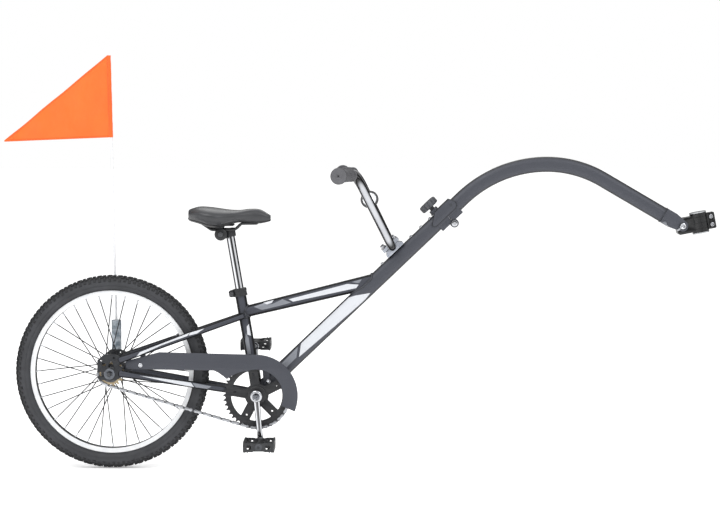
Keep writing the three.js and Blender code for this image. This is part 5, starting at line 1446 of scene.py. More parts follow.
@dataclass
class Wheel:
    """The knobbed tyre, the rim, the hub and its laced spokes, and the fixed axle."""

    knob_pairs: int = 58
    knobs: tuple[tuple[float, ...], ...] = (
        (0.02, 0.36, 0.015, 0.125, 3.9, 0.05), (0.5, 0.84, 0.05, 0.165, 3.9, -0.05),
        (0.24, 0.56, 0.2, 0.29, 3.51, 0), (0.74, 1.06, 0.2, 0.29, 3.51, 0),
        (-0.02, 0.28, 0.325, 0.47, 2.3, 0), (0.48, 0.78, 0.325, 0.44, 2.3, 0))
    knob_draft: float = 0.16
    casing_ribs: tuple[Pair, ...] = ((0.62, 0.012), (0.86, 0.02))
    tyre_sides: int = 176
    rim_sides: int = 180
    casing: tuple[Pair, ...] = (
        (0, 249.1), (5, 248.9), (10, 247.8), (14.5, 245.7), (18.6, 242), (21.4, 237),
        (22.9, 231), (22.9, 225), (21.2, 219.5), (17.4, 215.4), (13.6, 213.6), (11.7, 212.6))
    rim_radius: float = 213
    rim_inner: float = 200.5
    rim_half: float = 13.5
    spokes: int = 36
    lacing: float = 62
    flange_radius: float = 23
    flanges: Pair = (-25.5, 32.5)
    hub_half: float = 46.5
    axle_half: float = 75

    def skin(self, place: float) -> tuple[Vector, Vector]:
        """A point of the tyre's casing and the way out of it.

        Args:
            place: From 0 in the middle of the tread to 1 at the bead, below 0 on the right.

        Returns:
            The point as (across, radius) and the direction out.
        """
        line = self.smooth
        spot = min(abs(place), 0.999) * (len(line) - 1)
        low = int(spot)
        a, b = Vector(line[low]), Vector(line[low + 1])
        point = a.lerp(b, spot - low)
        out = Vector((a.y - b.y, b.x - a.x)).normalized()
        sign = -1 if place < 0 else 1
        return Vector((point.x * sign, point.y)), Vector((out.x * sign, out.y))

    @cached_property
    def smooth(self) -> list[Pair]:
        """Half of the casing's outline, smoothed."""
        return smooth_line(list(self.casing), 5)

    def spun(self, spot: Vector, angle: float) -> Vector:
        """A point of the wheel from its (across, radius) and its angle in degrees."""
        turn = math.radians(angle)
        return BIKE.wheel.at(math.cos(turn) * spot.y, spot.x, math.sin(turn) * spot.y)

    def knob(self, blank: Blank, angles: Pair, places: Pair, height: float, lean: float) -> None:
        """Moulds one knob on the casing.

        Args:
            blank: The tyre being worked.
            angles: Where it starts and ends round the wheel, in degrees.
            places: Where it starts and ends across the casing.
            height: How far it stands up.
            lean: How much its outer end is turned round the wheel, in degrees.
        """
        base, top = [], []
        middle_angle = sum(angles) / 2
        middle_place = sum(places) / 2
        corners = [(0, 0), (1, 0), (1, 1), (0, 1)]
        for i, j in corners:
            angle, place = angles[i], places[j]
            skew = lean * j
            point, out = self.skin(place)
            base.append(self.spun(point - out * 0.8, angle + skew))
            angle += (middle_angle - angle) * self.knob_draft
            place += (middle_place - place) * self.knob_draft
            point, out = self.skin(place)
            top.append(self.spun(point + out * height, angle + skew))
        shoulder = [a.lerp(b, 0.86) for a, b in zip(base, top)]
        centre = sum(top, Vector((0, 0, 0))) / 4
        crown = [point.lerp(centre, 0.1) for point in top]
        blank.loft([base, shoulder, crown], ink=1)

    def build_tyre(self) -> None:
        """Makes the casing, its rows of knobs and the fine ribs on its flanks."""
        blank = Blank()
        half = self.smooth
        profile = [(-a, b) for a, b in half[::-1]] + half[1:] + [(11.2, 205.5), (-11.2, 205.5)]
        blank.turn(BIKE.wheel.origin, ACROSS, profile, self.tyre_sides, True)
        pitch = 360 / self.knob_pairs
        for i in range(self.knob_pairs):
            for sign, shift in ((1, 0), (-1, 0.5)):
                a = i * pitch + shift * pitch
                for start, stop, near, far, height, lean in self.knobs:
                    self.knob(blank, (a + start * pitch, a + stop * pitch), (near * sign, far * sign),
                              height, lean * pitch)
        for sign in (-1, 1):
            for place, width in self.casing_ribs:
                line = [self.skin(sign * (place + width * k)) for k in (-1, -0.4, 0.4, 1)]
                profile = [(p.x + o.x * h, p.y + o.y * h)
                           for (p, o), h in zip(line, (-0.4, 0.6, 0.6, -0.4))]
                blank.turn(BIKE.wheel.origin, ACROSS, profile, self.tyre_sides, True)
        blank.fit("knobbed_tyre", "wheel", [Look.TYRE, Look.TREAD], "tyre", crease=40)

    def build_rim(self) -> None:
        """Makes the rim, its bed coloured near black as painted shade and dark reflection, and the spoke
        nipples.
        """
        blank = Blank()
        out, inner, half = self.rim_radius, self.rim_inner, self.rim_half
        for sign in (-1, 1):
            wall = [(half - 1.4, out - 0.5), (half - 0.9, out), (half - 0.3, out), (half, out - 0.4),
                    (half, out - 2.6), (half - 0.35, out - 3), (half - 0.5, inner + 3.4),
                    (half - 1.4, inner + 0.6), (half - 2.2, inner + 0.2), (half - 2.2, inner + 4),
                    (half - 1.4, inner + 5)]
            blank.turn(BIKE.wheel.origin, ACROSS, [(a * sign, b) for a, b in wall], self.rim_sides, True)
        bed = [(-half + 2, inner + 0.2), (half - 2, inner + 0.2), (half - 2, inner + 4.4),
               (-half + 2, inner + 4.4)]
        # the bed takes the near-black finish as painted shade and dark reflection
        blank.turn(BIKE.wheel.origin, ACROSS, bed, self.rim_sides, True, 1)
        blank.fit("double_wall_rim", "wheel", [Look.RIM_SILVER, Look.RIM_BED], "rim", crease=30)
        nipples = Blank()
        valve = self.spun(Vector((0, inner)), 13)
        inward = (BIKE.wheel.origin - valve).normalized()
        for start, finish in self.spoke_lines():
            way = (start - finish).normalized()
            nipples.turn(finish - way * 0.6, way, [(0, 1.9), (1.6, 1.9), (2.6, 1.6), (11.5, 1.6),
                                                 (12, 1.45)], 12)
        nipples.fit("spoke_nipples", "wheel", Look.CHROME)
        stem = Blank()
        stem.turn(valve - inward * 1, inward, [(0, 4.4), (2, 4.2), (3, 3.2), (16, 3), (17, 2.6),
                                                 (17, 3.8), (27, 3.8), (28.5, 3)], 20)
        stem.fit("valve_stem", "wheel", Look.PLASTIC)

    def spoke_lines(self) -> list[tuple[Vector, Vector]]:
        """Where each spoke leaves its flange and reaches the rim.

        Returns:
            One pair of points for each spoke.
        """
        lines = []
        for i in range(self.spokes):
            angle = 360 * i / self.spokes
            forward = i // 2 % 2 == 0
            flange = self.flanges[1] if i % 2 == 0 else self.flanges[0]
            hub_angle = angle + (self.lacing if forward else -self.lacing)
            offset = 1.9 if forward else -1.9
            lines.append((self.spun(Vector((flange + offset, self.flange_radius - 3)), hub_angle),
                          self.spun(Vector((0, self.rim_inner)), angle)))
        return lines

    def build_hub(self) -> None:
        """Turns the hub shell and laces the spokes."""
        blank = Blank()
        right, left = self.flanges
        half, flange = self.hub_half, self.flange_radius
        profile = [(-half, 9.2), (-half, 16.4), (-half + 0.6, 17), (right - 1.6, 17),
                   (right - 1.5, flange - 0.6), (right - 1, flange), (right + 1, flange),
                   (right + 1.5, flange - 0.6), (right + 2.2, 17), (right + 6, 14.4),
                   (left - 6, 14.4), (left - 2.2, 17), (left - 1.5, flange - 0.6), (left - 1, flange),
                   (left + 1, flange), (left + 1.5, flange - 0.6), (left + 1.8, 15), (half - 0.8, 14.4),
                   (half, 13.6), (half, 9.2)]
        blank.turn(BIKE.wheel.origin, ACROSS, profile, 64, True)
        for start, finish in self.spoke_lines():
            way = (finish - start).normalized()
            side = 1 if start.y > 0 else -1
            blank.rod(start, finish, 1.35, 8, 0.1, 1)
            head = start + ACROSS * (0.4 * side) - way * 0.5
            blank.turn(head - ACROSS * 1.2, ACROSS, [(0, 1.2), (0.6, 1.9), (1.8, 1.9), (2.4, 1.2)], 10, ink=1)
        blank.fit("hub_with_spokes", "wheel", [Look.STEEL, Look.SPOKE], "hub_and_spokes")

    def build_axle(self) -> None:
        """Makes the fixed axle with its cones, washers and hex nuts."""
        blank = Blank()
        half = self.axle_half
        profile = [(-half, 4.2), (-half + 0.8, 5)]
        place = -half + 0.8
        while place < -61:
            profile += [(place + 0.5, 4.6), (place + 1, 5)]
            place += 1
        cone = [(-54.7, 5), (-54.7, 8.5), (-43.8, 8.5), (-43.8, 5)]
        profile += cone + [(-a, b) for a, b in reversed(cone)]
        profile += [(-a, b) for a, b in reversed(profile[:-8])]
        blank.turn(BIKE.wheel.origin, ACROSS, profile, 32)
        blank.fit("threaded_axle", "frame", Look.DARK_STEEL, "wheel_axle")
        for side, start in ((Side.RIGHT, 60.3), (Side.LEFT, 63.6)):
            blank = Blank()
            sign = side.value
            way = ACROSS * sign
            foot = BIKE.wheel.at(0, start * sign)
            blank.turn(foot, way, [(0, 5.4), (0, 13.4), (0.5, 14), (1.4, 14), (1.8, 13.4),
                                   (1.8, 5.4)], 40, True)
            hexagon = ring_of(0, 0, 8.66, 6)
            blank.plate(BIKE.wheel, rounded(hexagon, 1, 2), [ring_of(0, 0, 5.1, 24)],
                        (start + 1.6) * sign, (start + 8) * sign, 0.6)
            name = f"axle_nut_{side.word}"
            blank.fit(f"washer_and_{name}", "frame", Look.SMOKED, name)

    def build(self) -> None:
        """Makes the whole wheel."""
        self.build_tyre()
        self.build_rim()
        self.build_hub()
        self.build_axle()


@dataclass
class Drive:
    """The chain drive: toothed wheels, chain, cranks, spindle, cups and pedals."""

    pitch: float = 12.7
    ring_teeth: int = 42
    sprocket_teeth: int = 16
    chain_line: float = -40
    tooth_width: float = 2.8
    tooth_lean: float = 0.055
    seat_bends: tuple[float, ...] = (-92, -125, -155, 180, 155, 125, 92)
    seat_gap: float = 0.12
    roller: float = 3.87
    plates: tuple[tuple[float, ...], ...] = ((1.72, 2.62, 7.4), (2.7, 3.6, 8.4))
    waist: float = 0.66
    arms: int = 5
    arm_angle: float = 26.6
    arm_width: float = 25
    window_radii: Pair = (31, 66.4)
    arm_hole_radius: float = 57
    arm_rib: float = 8.6
    crank_length: float = 118
    crank_lead: float = 5.3
    crank_faces: Pair = (38, 66)
    crank_half: float = 8.6
    crank_thick: float = 6.4
    crank_flare: Pair = (0.86, 2.6)
    crank_square: float = 0.72
    boss_radius: float = 15
    eye_radius: float = 11
    spindle_radius: float = 8.5
    pedal_faces: Pair = (69.4, 153.4)
    pedal_half: float = 39.5
    pedal_rise: float = 13
    pedal_holes: Pair = (-23.5, 24.5)
    pedal_teeth: tuple[float, ...] = (-35.5, -29.5, 27, 33)
    pedal_bars: Pair = (-27, 21)
    rail_tooth: float = 7.6
    rail_slots: tuple[float, ...] = (6, 24, 41, 59)

    def pitch_radius(self, teeth: int) -> float:
        """The radius that the chain's pins lie at on a wheel of so many teeth."""
        return self.pitch / 2 / math.sin(math.pi / teeth)

    @cached_property
    def pins(self) -> tuple[list[Vector], Vector, Vector]:
        """Lays the chain's pins round both toothed wheels.

        Returns:
            The pins in order, the first one on the chainring and the first one on the sprocket.
        """
        ring, sprocket = self.pitch_radius(self.ring_teeth), self.pitch_radius(self.sprocket_teeth)
        run = BIKE.wheel.origin - BIKE.crank.origin
        slope = math.asin((ring - sprocket) / run.length)
        back_wraps = round((math.pi - 2 * slope) / (2 * math.pi) * self.sprocket_teeth)
        ideal = (math.pi + 2 * slope) / (2 * math.pi) * self.ring_teeth
        wraps = 2 * round((ideal + back_wraps) / 2) - back_wraps
        towards = math.degrees(math.atan2(run.z, run.x))
        pins = []
        for i in range(wraps + 1):
            turn = towards + 180 + (i - wraps / 2) * 360 / self.ring_teeth
            pins.append(Place(BIKE.crank.origin, turn).at(ring, self.chain_line))
        back = []
        for i in range(back_wraps + 1):
            turn = towards + (i - back_wraps / 2) * 360 / self.sprocket_teeth
            back.append(Place(BIKE.wheel.origin, turn).at(sprocket, self.chain_line))
        links = round((back[0] - pins[-1]).length / self.pitch)
        upper = [pins[-1].lerp(back[0], i / links) for i in range(1, links)]
        lower = [back[-1].lerp(pins[0], i / links) for i in range(1, links)]
        return [*pins, *upper, *back, *lower], pins[0], back[0]

    def link(self, length: float, height: float) -> list[Pair]:
        """The waisted outline of one chain plate.

        Args:
            length: The distance between its pins.
            height: Its height.

        Returns:
            The outline about the link's middle.
        """
        radius, half = height / 2, length / 2
        right = arc(half, 0, radius, -115, 115, 10)
        left = arc(-half, 0, radius, 65, 295, 10)
        return [*right, (0, radius * self.waist), *left, (0, -radius * self.waist)]

    def build_chain(self) -> None:
        """Makes every link of the chain with its plates, roller and riveted pin."""
        pins = self.pins[0]
        blank = Blank()
        for i, start in enumerate(pins):
            stop = pins[(i + 1) % len(pins)]
            way = stop - start
            place = Place((start + stop) / 2, math.degrees(math.atan2(way.z, way.x)))
            near, far, height = self.plates[i % 2]
            for sign in (-1, 1):
                blank.plate(place, self.link(way.length, height), [], near * sign, far * sign, 0.22, i % 2)
            roller = [(0, 3.5), (0.3, self.roller), (3, self.roller), (3.3, 3.5)]
            blank.turn(start - ACROSS * 1.66, ACROSS, roller, 16)
            rivet = [(0, 1.3), (0.25, 1.8), (7.15, 1.8), (7.4, 1.3)]
            blank.turn(start - ACROSS * 3.7, ACROSS, rivet, 12, ink=1)
        blank.fit("roller_chain", "frame", [Look.DARK_STEEL, Look.STEEL], "chain", crease=40)

    def toothed(self, teeth: int, first: Vector, centre: Vector, tip: float) -> list[Pair]:
        """The outline of a toothed wheel whose gaps seat the chain's rollers.

        Args:
            teeth: How many teeth it has.
            first: The chain pin that lies in its first gap.
            centre: The wheel's middle.
            tip: How far the teeth stand outside the pins.

        Returns:
            The outline as (forward, up).
        """
        start = math.atan2(first.z - centre.z, first.x - centre.x)
        radius = self.pitch_radius(teeth)
        seat = self.roller + self.seat_gap
        points = []
        for i in range(teeth):
            turn = start + 2 * math.pi * i / teeth
            out, side = (math.cos(turn), math.sin(turn)), (-math.sin(turn), math.cos(turn))
            for bend in self.seat_bends:
                a = radius + seat * math.cos(math.radians(bend))
                b = seat * math.sin(math.radians(bend))
                points.append((out[0] * a + side[0] * b, out[1] * a + side[1] * b))
            lean = self.tooth_lean * self.sprocket_teeth / teeth ** 0.82
            for middle in (0.5 - lean, 0.5 + lean):
                spin = turn + 2 * math.pi * middle / teeth
                points.append((math.cos(spin) * (radius + tip), math.sin(spin) * (radius + tip)))
        return points

    @cached_property
    def tooth_faces(self) -> Pair:
        """Where the toothed wheels start and end across the bike."""
        return self.chain_line - self.tooth_width / 2, self.chain_line + self.tooth_width / 2

    def window(self, middle: float) -> list[Pair]:
        """The opening between two arms of the chainring.

        Args:
            middle: The angle of its middle, in degrees.

        Returns:
            The rounded outline.
        """
        inner, outer = self.window_radii
        spread = 180 / self.arms
        half_in = spread - math.degrees(math.asin(self.arm_width / 2 / inner))
        half_out = spread - math.degrees(math.asin(self.arm_width / 2 / outer))
        far = arc(0, 0, outer, middle - half_out, middle + half_out, 10)
        near = arc(0, 0, inner, middle + half_in, middle - half_in, 4)
        return rounded([*far, *near], 5.5, 4)

    def build_ring(self) -> None:
        """Cuts the chainring with its windows and arm holes."""
        centre = BIKE.crank.origin
        holes = [ring_of(0, 0, self.boss_radius + 0.3, 48)]
        turns = [self.arm_angle + 360 * i / self.arms for i in range(self.arms)]
        for turn in turns:
            holes.append(self.window(turn + 180 / self.arms))
            spot = Place(Vector((0, 0, 0)), turn).at(self.arm_hole_radius)
            holes.append(ring_of(spot.x, spot.z, 2.3, 24))
        outline = self.toothed(self.ring_teeth, self.pins[1], centre, 3.1)
        blank = Blank()
        near, far = self.tooth_faces
        blank.plate(BIKE.crank, outline, holes, near, far, 0.35)
        for turn in turns:
            for side in (-self.arm_rib, self.arm_rib):
                rib = plaque(27, side - 1.2, 52, side + 1.2, 1, 3)
                blank.plate(Place(centre, turn), rib, [], near - 0.5, near + 0.2, 0.4)
        blank.fit("toothed_chainring", "crankset", Look.BLACK, "chainring")

    def build_sprocket(self) -> None:
        """Cuts the sprocket and turns the freewheel body with its removal notches."""
        centre = BIKE.wheel.origin
        outline = self.toothed(self.sprocket_teeth, self.pins[2], centre, 2.9)
        blank = Blank()
        near, far = self.tooth_faces
        blank.plate(BIKE.wheel, outline, [ring_of(0, 0, 17.6, 48)], near, far, 0.3)
        blank.turn(centre, ACROSS, [(-45.5, 17.5), (-45.5, 21), (-45, 21.6), (-42.4, 22), (-42, 24.2),
                                    (-34.2, 24.2), (-33.5, 23.4), (-33.5, 17.5)], 64, True, 1)
        for i in range(4):
            notch = Place(centre, 45 + 90 * i)
            blank.block(notch, (17.6, -45.9, -2.4), (21.2, -45.2, 2.4), 0.3, 1)
        blank.turn(centre, ACROSS, [(-45.7, 18.6), (-45.7, 19.6), (-45.2, 19.6), (-45.2, 18.6)], 48, True, 1)
        blank.fit("freewheel_and_sprocket", "sprocket", [Look.GOLD, Look.DARK_STEEL], "freewheel_sprocket")

    def crank_place(self, side: Side) -> Place:
        """The line of a crank arm from the axis to its eye."""
        return Place(BIKE.crank.origin, side.value * 90 + self.crank_lead)

    def build_cranks(self) -> None:
        """Forges the cranks, turns the spindle and presses the bearing cups."""
        inside, outside = self.crank_faces
        for side in Side:
            sign = side.value
            way, arm = ACROSS * sign, self.crank_place(side)
            blank = Blank()
            rings = []
            begin, flare = self.crank_flare
            for i in range(15):
                share = i / 14
                half = self.crank_half - 1.8 * share + flare * max(0, share - begin) / (1 - begin)
                thick = self.crank_thick - 0.5 * share
                spot = arm.at(self.crank_length * share, (outside - 7.2) * sign)
                rings.append([])
                for a, b in circle(1, 28):
                    a, b = (math.copysign(abs(v) ** self.crank_square, v) for v in (a, b))
                    rings[-1].append(spot + arm.up * (a * half) + ACROSS * (b * thick))
            blank.loft(rings, ink=2)
            radius = self.boss_radius
            blank.turn(BIKE.crank.origin, way, [
                (inside, 8.9), (inside, radius - 0.6), (inside + 0.6, radius), (outside - 1.4, radius),
                (outside - 0.3, radius - 1.2), (outside, radius - 2.6), (outside, 10.6), (outside - 3.4, 9.8),
                (outside - 3.4, 8.9)], 56, True)
            eye = arm.at(self.crank_length)
            blank.turn(eye, way, [(outside - 14, 6.3), (outside - 14, self.eye_radius - 0.8),
                                  (outside - 13.2, self.eye_radius), (outside - 1, self.eye_radius),
                                  (outside, self.eye_radius - 1), (outside, 6.3)], 44, True)
            if side is Side.RIGHT:
                blank.turn(BIKE.crank.origin, way, [(41.7, 12), (41.7, 23.4), (42.3, 24), (44.6, 24),
                                                    (45.2, 23.2), (46, 15.4), (46, 12)], 64, True, 1)
            name = f"crank_{side.word}"
            blank.fit(f"forged_{name}", "crankset", [Look.CHROME, Look.BLACK, Look.LINED], name, crease=40)
            cap = Blank()
            cap.turn(BIKE.crank.at(0, (outside - 3.2) * sign), way, [
                (0, 8), (0, 8.6), (1.6, 8.6), (2.4, 7.8), (2.9, 4.2), (2.3, 3.6), (2.3, 0.4)], 36)
            cap.fit(f"dust_cap_{side.word}", "crankset", Look.SMOKED)
            cup = Blank()
            cup.turn(BIKE.crank.origin, way, [
                (20, 9.1), (20, 17.2), (34.3, 17.2), (34.3, 21.4), (34.9, 22), (36.4, 22),
                (37.3, 20.6), (37.3, 14), (36.3, 13.4), (36.3, 9.1)], 48, True)
            cup.fit(f"pressed_cup_{side.word}", "frame", Look.BLACK, f"bearing_cup_{side.word}")
        blank = Blank()
        blank.rod(BIKE.crank.at(0, -62), BIKE.crank.at(0, 62), self.spindle_radius, 36, 0.8)
        blank.fit("turned_spindle", "crankset", Look.DARK_STEEL, "crank_spindle")

    def end_plate(self, bumps: bool) -> list[Pair]:
        """The outline of a pedal's end plate.

        Args:
            bumps: Whether it shows paired teeth near its corners.

        Returns:
            The outline as (forward, up).
        """
        half, rise = self.pedal_half, self.pedal_rise
        top = [(-half, rise - 5.5), (-half + 1.5, rise - 1)]
        if bumps:
            for tooth in self.pedal_teeth:
                top += [(tooth, rise - 1), (tooth + 0.6, rise + 1), (tooth + 1.9, rise + 1),
                        (tooth + 2.6, rise - 1)]
        top += [(-17, rise - 1), (-12, rise - 2.6), (12, rise - 2.6), (17, rise - 1)]
        top = sorted(set(top)) + [(half - 1.5, rise - 1), (half, rise - 5.5)]
        return [*top, *[(x, -z) for x, z in top[::-1]]]

    def build_pedal(self, side: Side) -> None:
        """Moulds one pedal: end plates, toothed rails, ribs and a barrel round its axle.

        Args:
            side: Which side of the bike it is on.
        """
        sign = side.value
        place = Place(self.crank_place(side).at(self.crank_length))
        near, far = self.pedal_faces
        half = self.pedal_half
        holes = [plaque(x - 6, -5.4, x + 5, 5.4, 1.6, 3) for x in self.pedal_holes]
        blank = Blank()
        blank.plate(place, self.end_plate(True), holes, (far - 4.5) * sign, far * sign, 0.7)
        blank.plate(place, self.end_plate(False), holes, near * sign, (near + 4.5) * sign, 0.7)
        middle = (near + far) / 2
        rib = plaque(-half + 3, -8.5, half - 3, 8.5, 2, 3)
        blank.plate(place, rib, holes, (middle - 2.2) * sign, (middle + 2.2) * sign, 0.5)
        span, rise = far - near - 7, self.pedal_rise
        rail = []
        for i in range(int(span / self.rail_tooth)):
            a = i * self.rail_tooth + 1.5
            rail += [(a, rise - 3), (a + 1.4, rise + 1), (a + 3.6, rise + 1), (a + 5, rise - 3)]
        rail = [(0, rise - 3.5), *rail, (span, rise - 3.5)]
        rail = [*rail, *[(a, -b) for a, b in rail[::-1]]]
        slots = [plaque(a, -4.6, a + 13, 4.6, 2, 3) for a in self.rail_slots]
        for end in (-1, 1):
            corner = place.at(end * half, (near + 3.5) * sign)
            axes = [corner, ACROSS * sign, Vector((0, 0, 1)), Vector((-end, 0, 0))]
            blank.slab(axes, rail, slots, 4.6, 0.5)
        blank.turn(place.origin, ACROSS * sign, [
            (near + 0.2, 6.6), (near + 0.2, 11), (far - 6, 11), (far - 4, 10.6), (far - 4, 6.6)], 40, True)
        first, last = sorted((near * sign, far * sign))
        for level in (-1, 1):
            low, high = sorted((level * (rise - 4.2), level * (rise - 2)))
            for x in self.pedal_bars:
                blank.block(place, (x, first + 3, low), (x + 6, last - 3, high), 0.6)
        name, body = f"pedal_{side.word}", f"{side.word}_pedal"
        blank.fit(f"moulded_{name}", body, Look.PLASTIC, name, crease=40)
        cap = Blank()
        cap.turn(place.at(0, (far - 4.2) * sign), ACROSS * sign, [
            (0, 10.2), (3.2, 10.2), (4.4, 9.2), (4.9, 7.4), (4.4, 6.2), (4.4, 3.4), (3.6, 2.8), (3.6, 0.4)],
            40)
        cap.fit(f"pedal_cap_{side.word}", body, Look.KNOB)
        axle = Blank()
        outside = self.crank_faces[1]
        axle.turn(place.origin, ACROSS * sign, [
            (outside - 14, 4.6), (outside - 13.6, 5.8), (outside + 0.3, 6), (outside + 0.3, 8.4),
            (outside + 0.8, 9), (outside + 2.6, 9), (outside + 3, 8.4), (outside + 3, 6),
            (far - 5, 6)], 32)
        axle.fit(f"turned_pedal_axle_{side.word}", "crankset", Look.STEEL, f"pedal_axle_{side.word}")

    def build(self) -> None:
        """Makes the whole drive."""
        self.build_chain()
        self.build_ring()
        self.build_sprocket()
        self.build_cranks()
        for side in Side:
            self.build_pedal(side)


@dataclass
class Chainguard:
    """The guard over the chain, with its two brackets and its screws."""

    faces: Pair = (-49.4, -47.2)
    outer: float = 107
    inner: float = 68
    front_angle: float = -22.5
    cusp_angle: float = 109.8
    hook: tuple[Pair, ...] = ((-110, 65.6), (-97.5, 59.4), (-86.5, 51.4), (-77.6, 43.9), (-76.4, 43.8),
                              (-68, 49.3), (-53, 57.2), (-38, 62.4))
    tail: tuple[Pair, ...] = ((-272, 109.5), (-339, 90), (-339, 71))
    bracket_angle: float = 49.7
    bracket_reach: float = 98
    strap_eye: tuple[float, ...] = (25.7, 27.3, 9)
    strap: tuple[Pair, ...] = ((31.5, 62), (60, 62), (69.5, 69.5), (57.3, 79.9), (40, 88), (12.5, 80))
    strap_faces: Pair = (-18.8, -15.8)
    rear_screw: Pair = (-301, 79)

    def build(self) -> None:
        """Cuts the guard, bends the brackets and sets the screws."""
        top, tip, heel = self.tail
        outline = arc(0, 0, self.outer, self.front_angle, 90, 44)
        outline += arc(top[0] + 22, top[1] - 4, 8, 96, 110, 3)
        outline += rounded([(top[0], top[1]), tip, heel, (top[0], top[1] - 60)], 9, 6)[7:21]
        outline += self.hook
        outline += arc(0, 0, self.inner, self.cusp_angle, self.front_angle, 52)
        blank = Blank()
        blank.plate(BIKE.crank, outline, [], *self.faces, 0.8)
        blank.fit("painted_chainguard", "frame", Look.PAINT, "chainguard", crease=50)
        self.build_brackets()
        screws = Blank()
        x, z = self.rear_screw
        self.screw(screws, BIKE.crank.at(x, self.faces[0], z), 6.4)
        self.screw(screws, BIKE.main.at(44, self.strap_faces[0], 4.6), 6)
        screws.fit("guard_screws", "frame", Look.CHROME)

    def screw(self, blank: Blank, spot: Vector, radius: float) -> None:
        """Sets one domed screw with a socket, facing the right side.

        Args:
            blank: The piece being worked.
            spot: Where its seat is.
            radius: The radius of its head.
        """
        blank.turn(spot + ACROSS * 1, -ACROSS, [
            (0, radius), (1.5, radius), (2.4, radius * 0.9), (3.2, radius * 0.66), (3.4, radius * 0.5),
            (1.8, radius * 0.44), (1.8, 0.3)], 28)

    def build_brackets(self) -> None:
        """Bends the front bracket and cuts the rear clip."""
        place = Place(BIKE.crank.origin, self.bracket_angle)
        reach = self.bracket_reach
        strap = [*arc(*self.strap_eye, 180, 360, 12), *self.strap]
        blank = Blank()
        blank.plate(BIKE.crank, strap, [], *self.strap_faces, 0.5)
        shelf = plaque(reach - 3, -8, reach, 8, 0.8, 2)
        blank.plate(place, shelf, [], -47, -15.8, 0.4)
        flange = plaque(reach - 12, -8, reach, 8, 2.4, 3)
        blank.plate(place, flange, [], -47.1, -44.6, 0.4)
        blank.fit("bent_front_bracket", "frame", Look.PAINT, "chainguard_bracket_front")
        blank = Blank()
        clip = plaque(-301, 80.2, -287, 112, 4, 4)
        blank.plate(BIKE.crank, clip, [], -46.9, -44.5, 0.4)
        blank.fit("rear_guard_clip", "frame", Look.PAINT, "chainguard_bracket_rear")


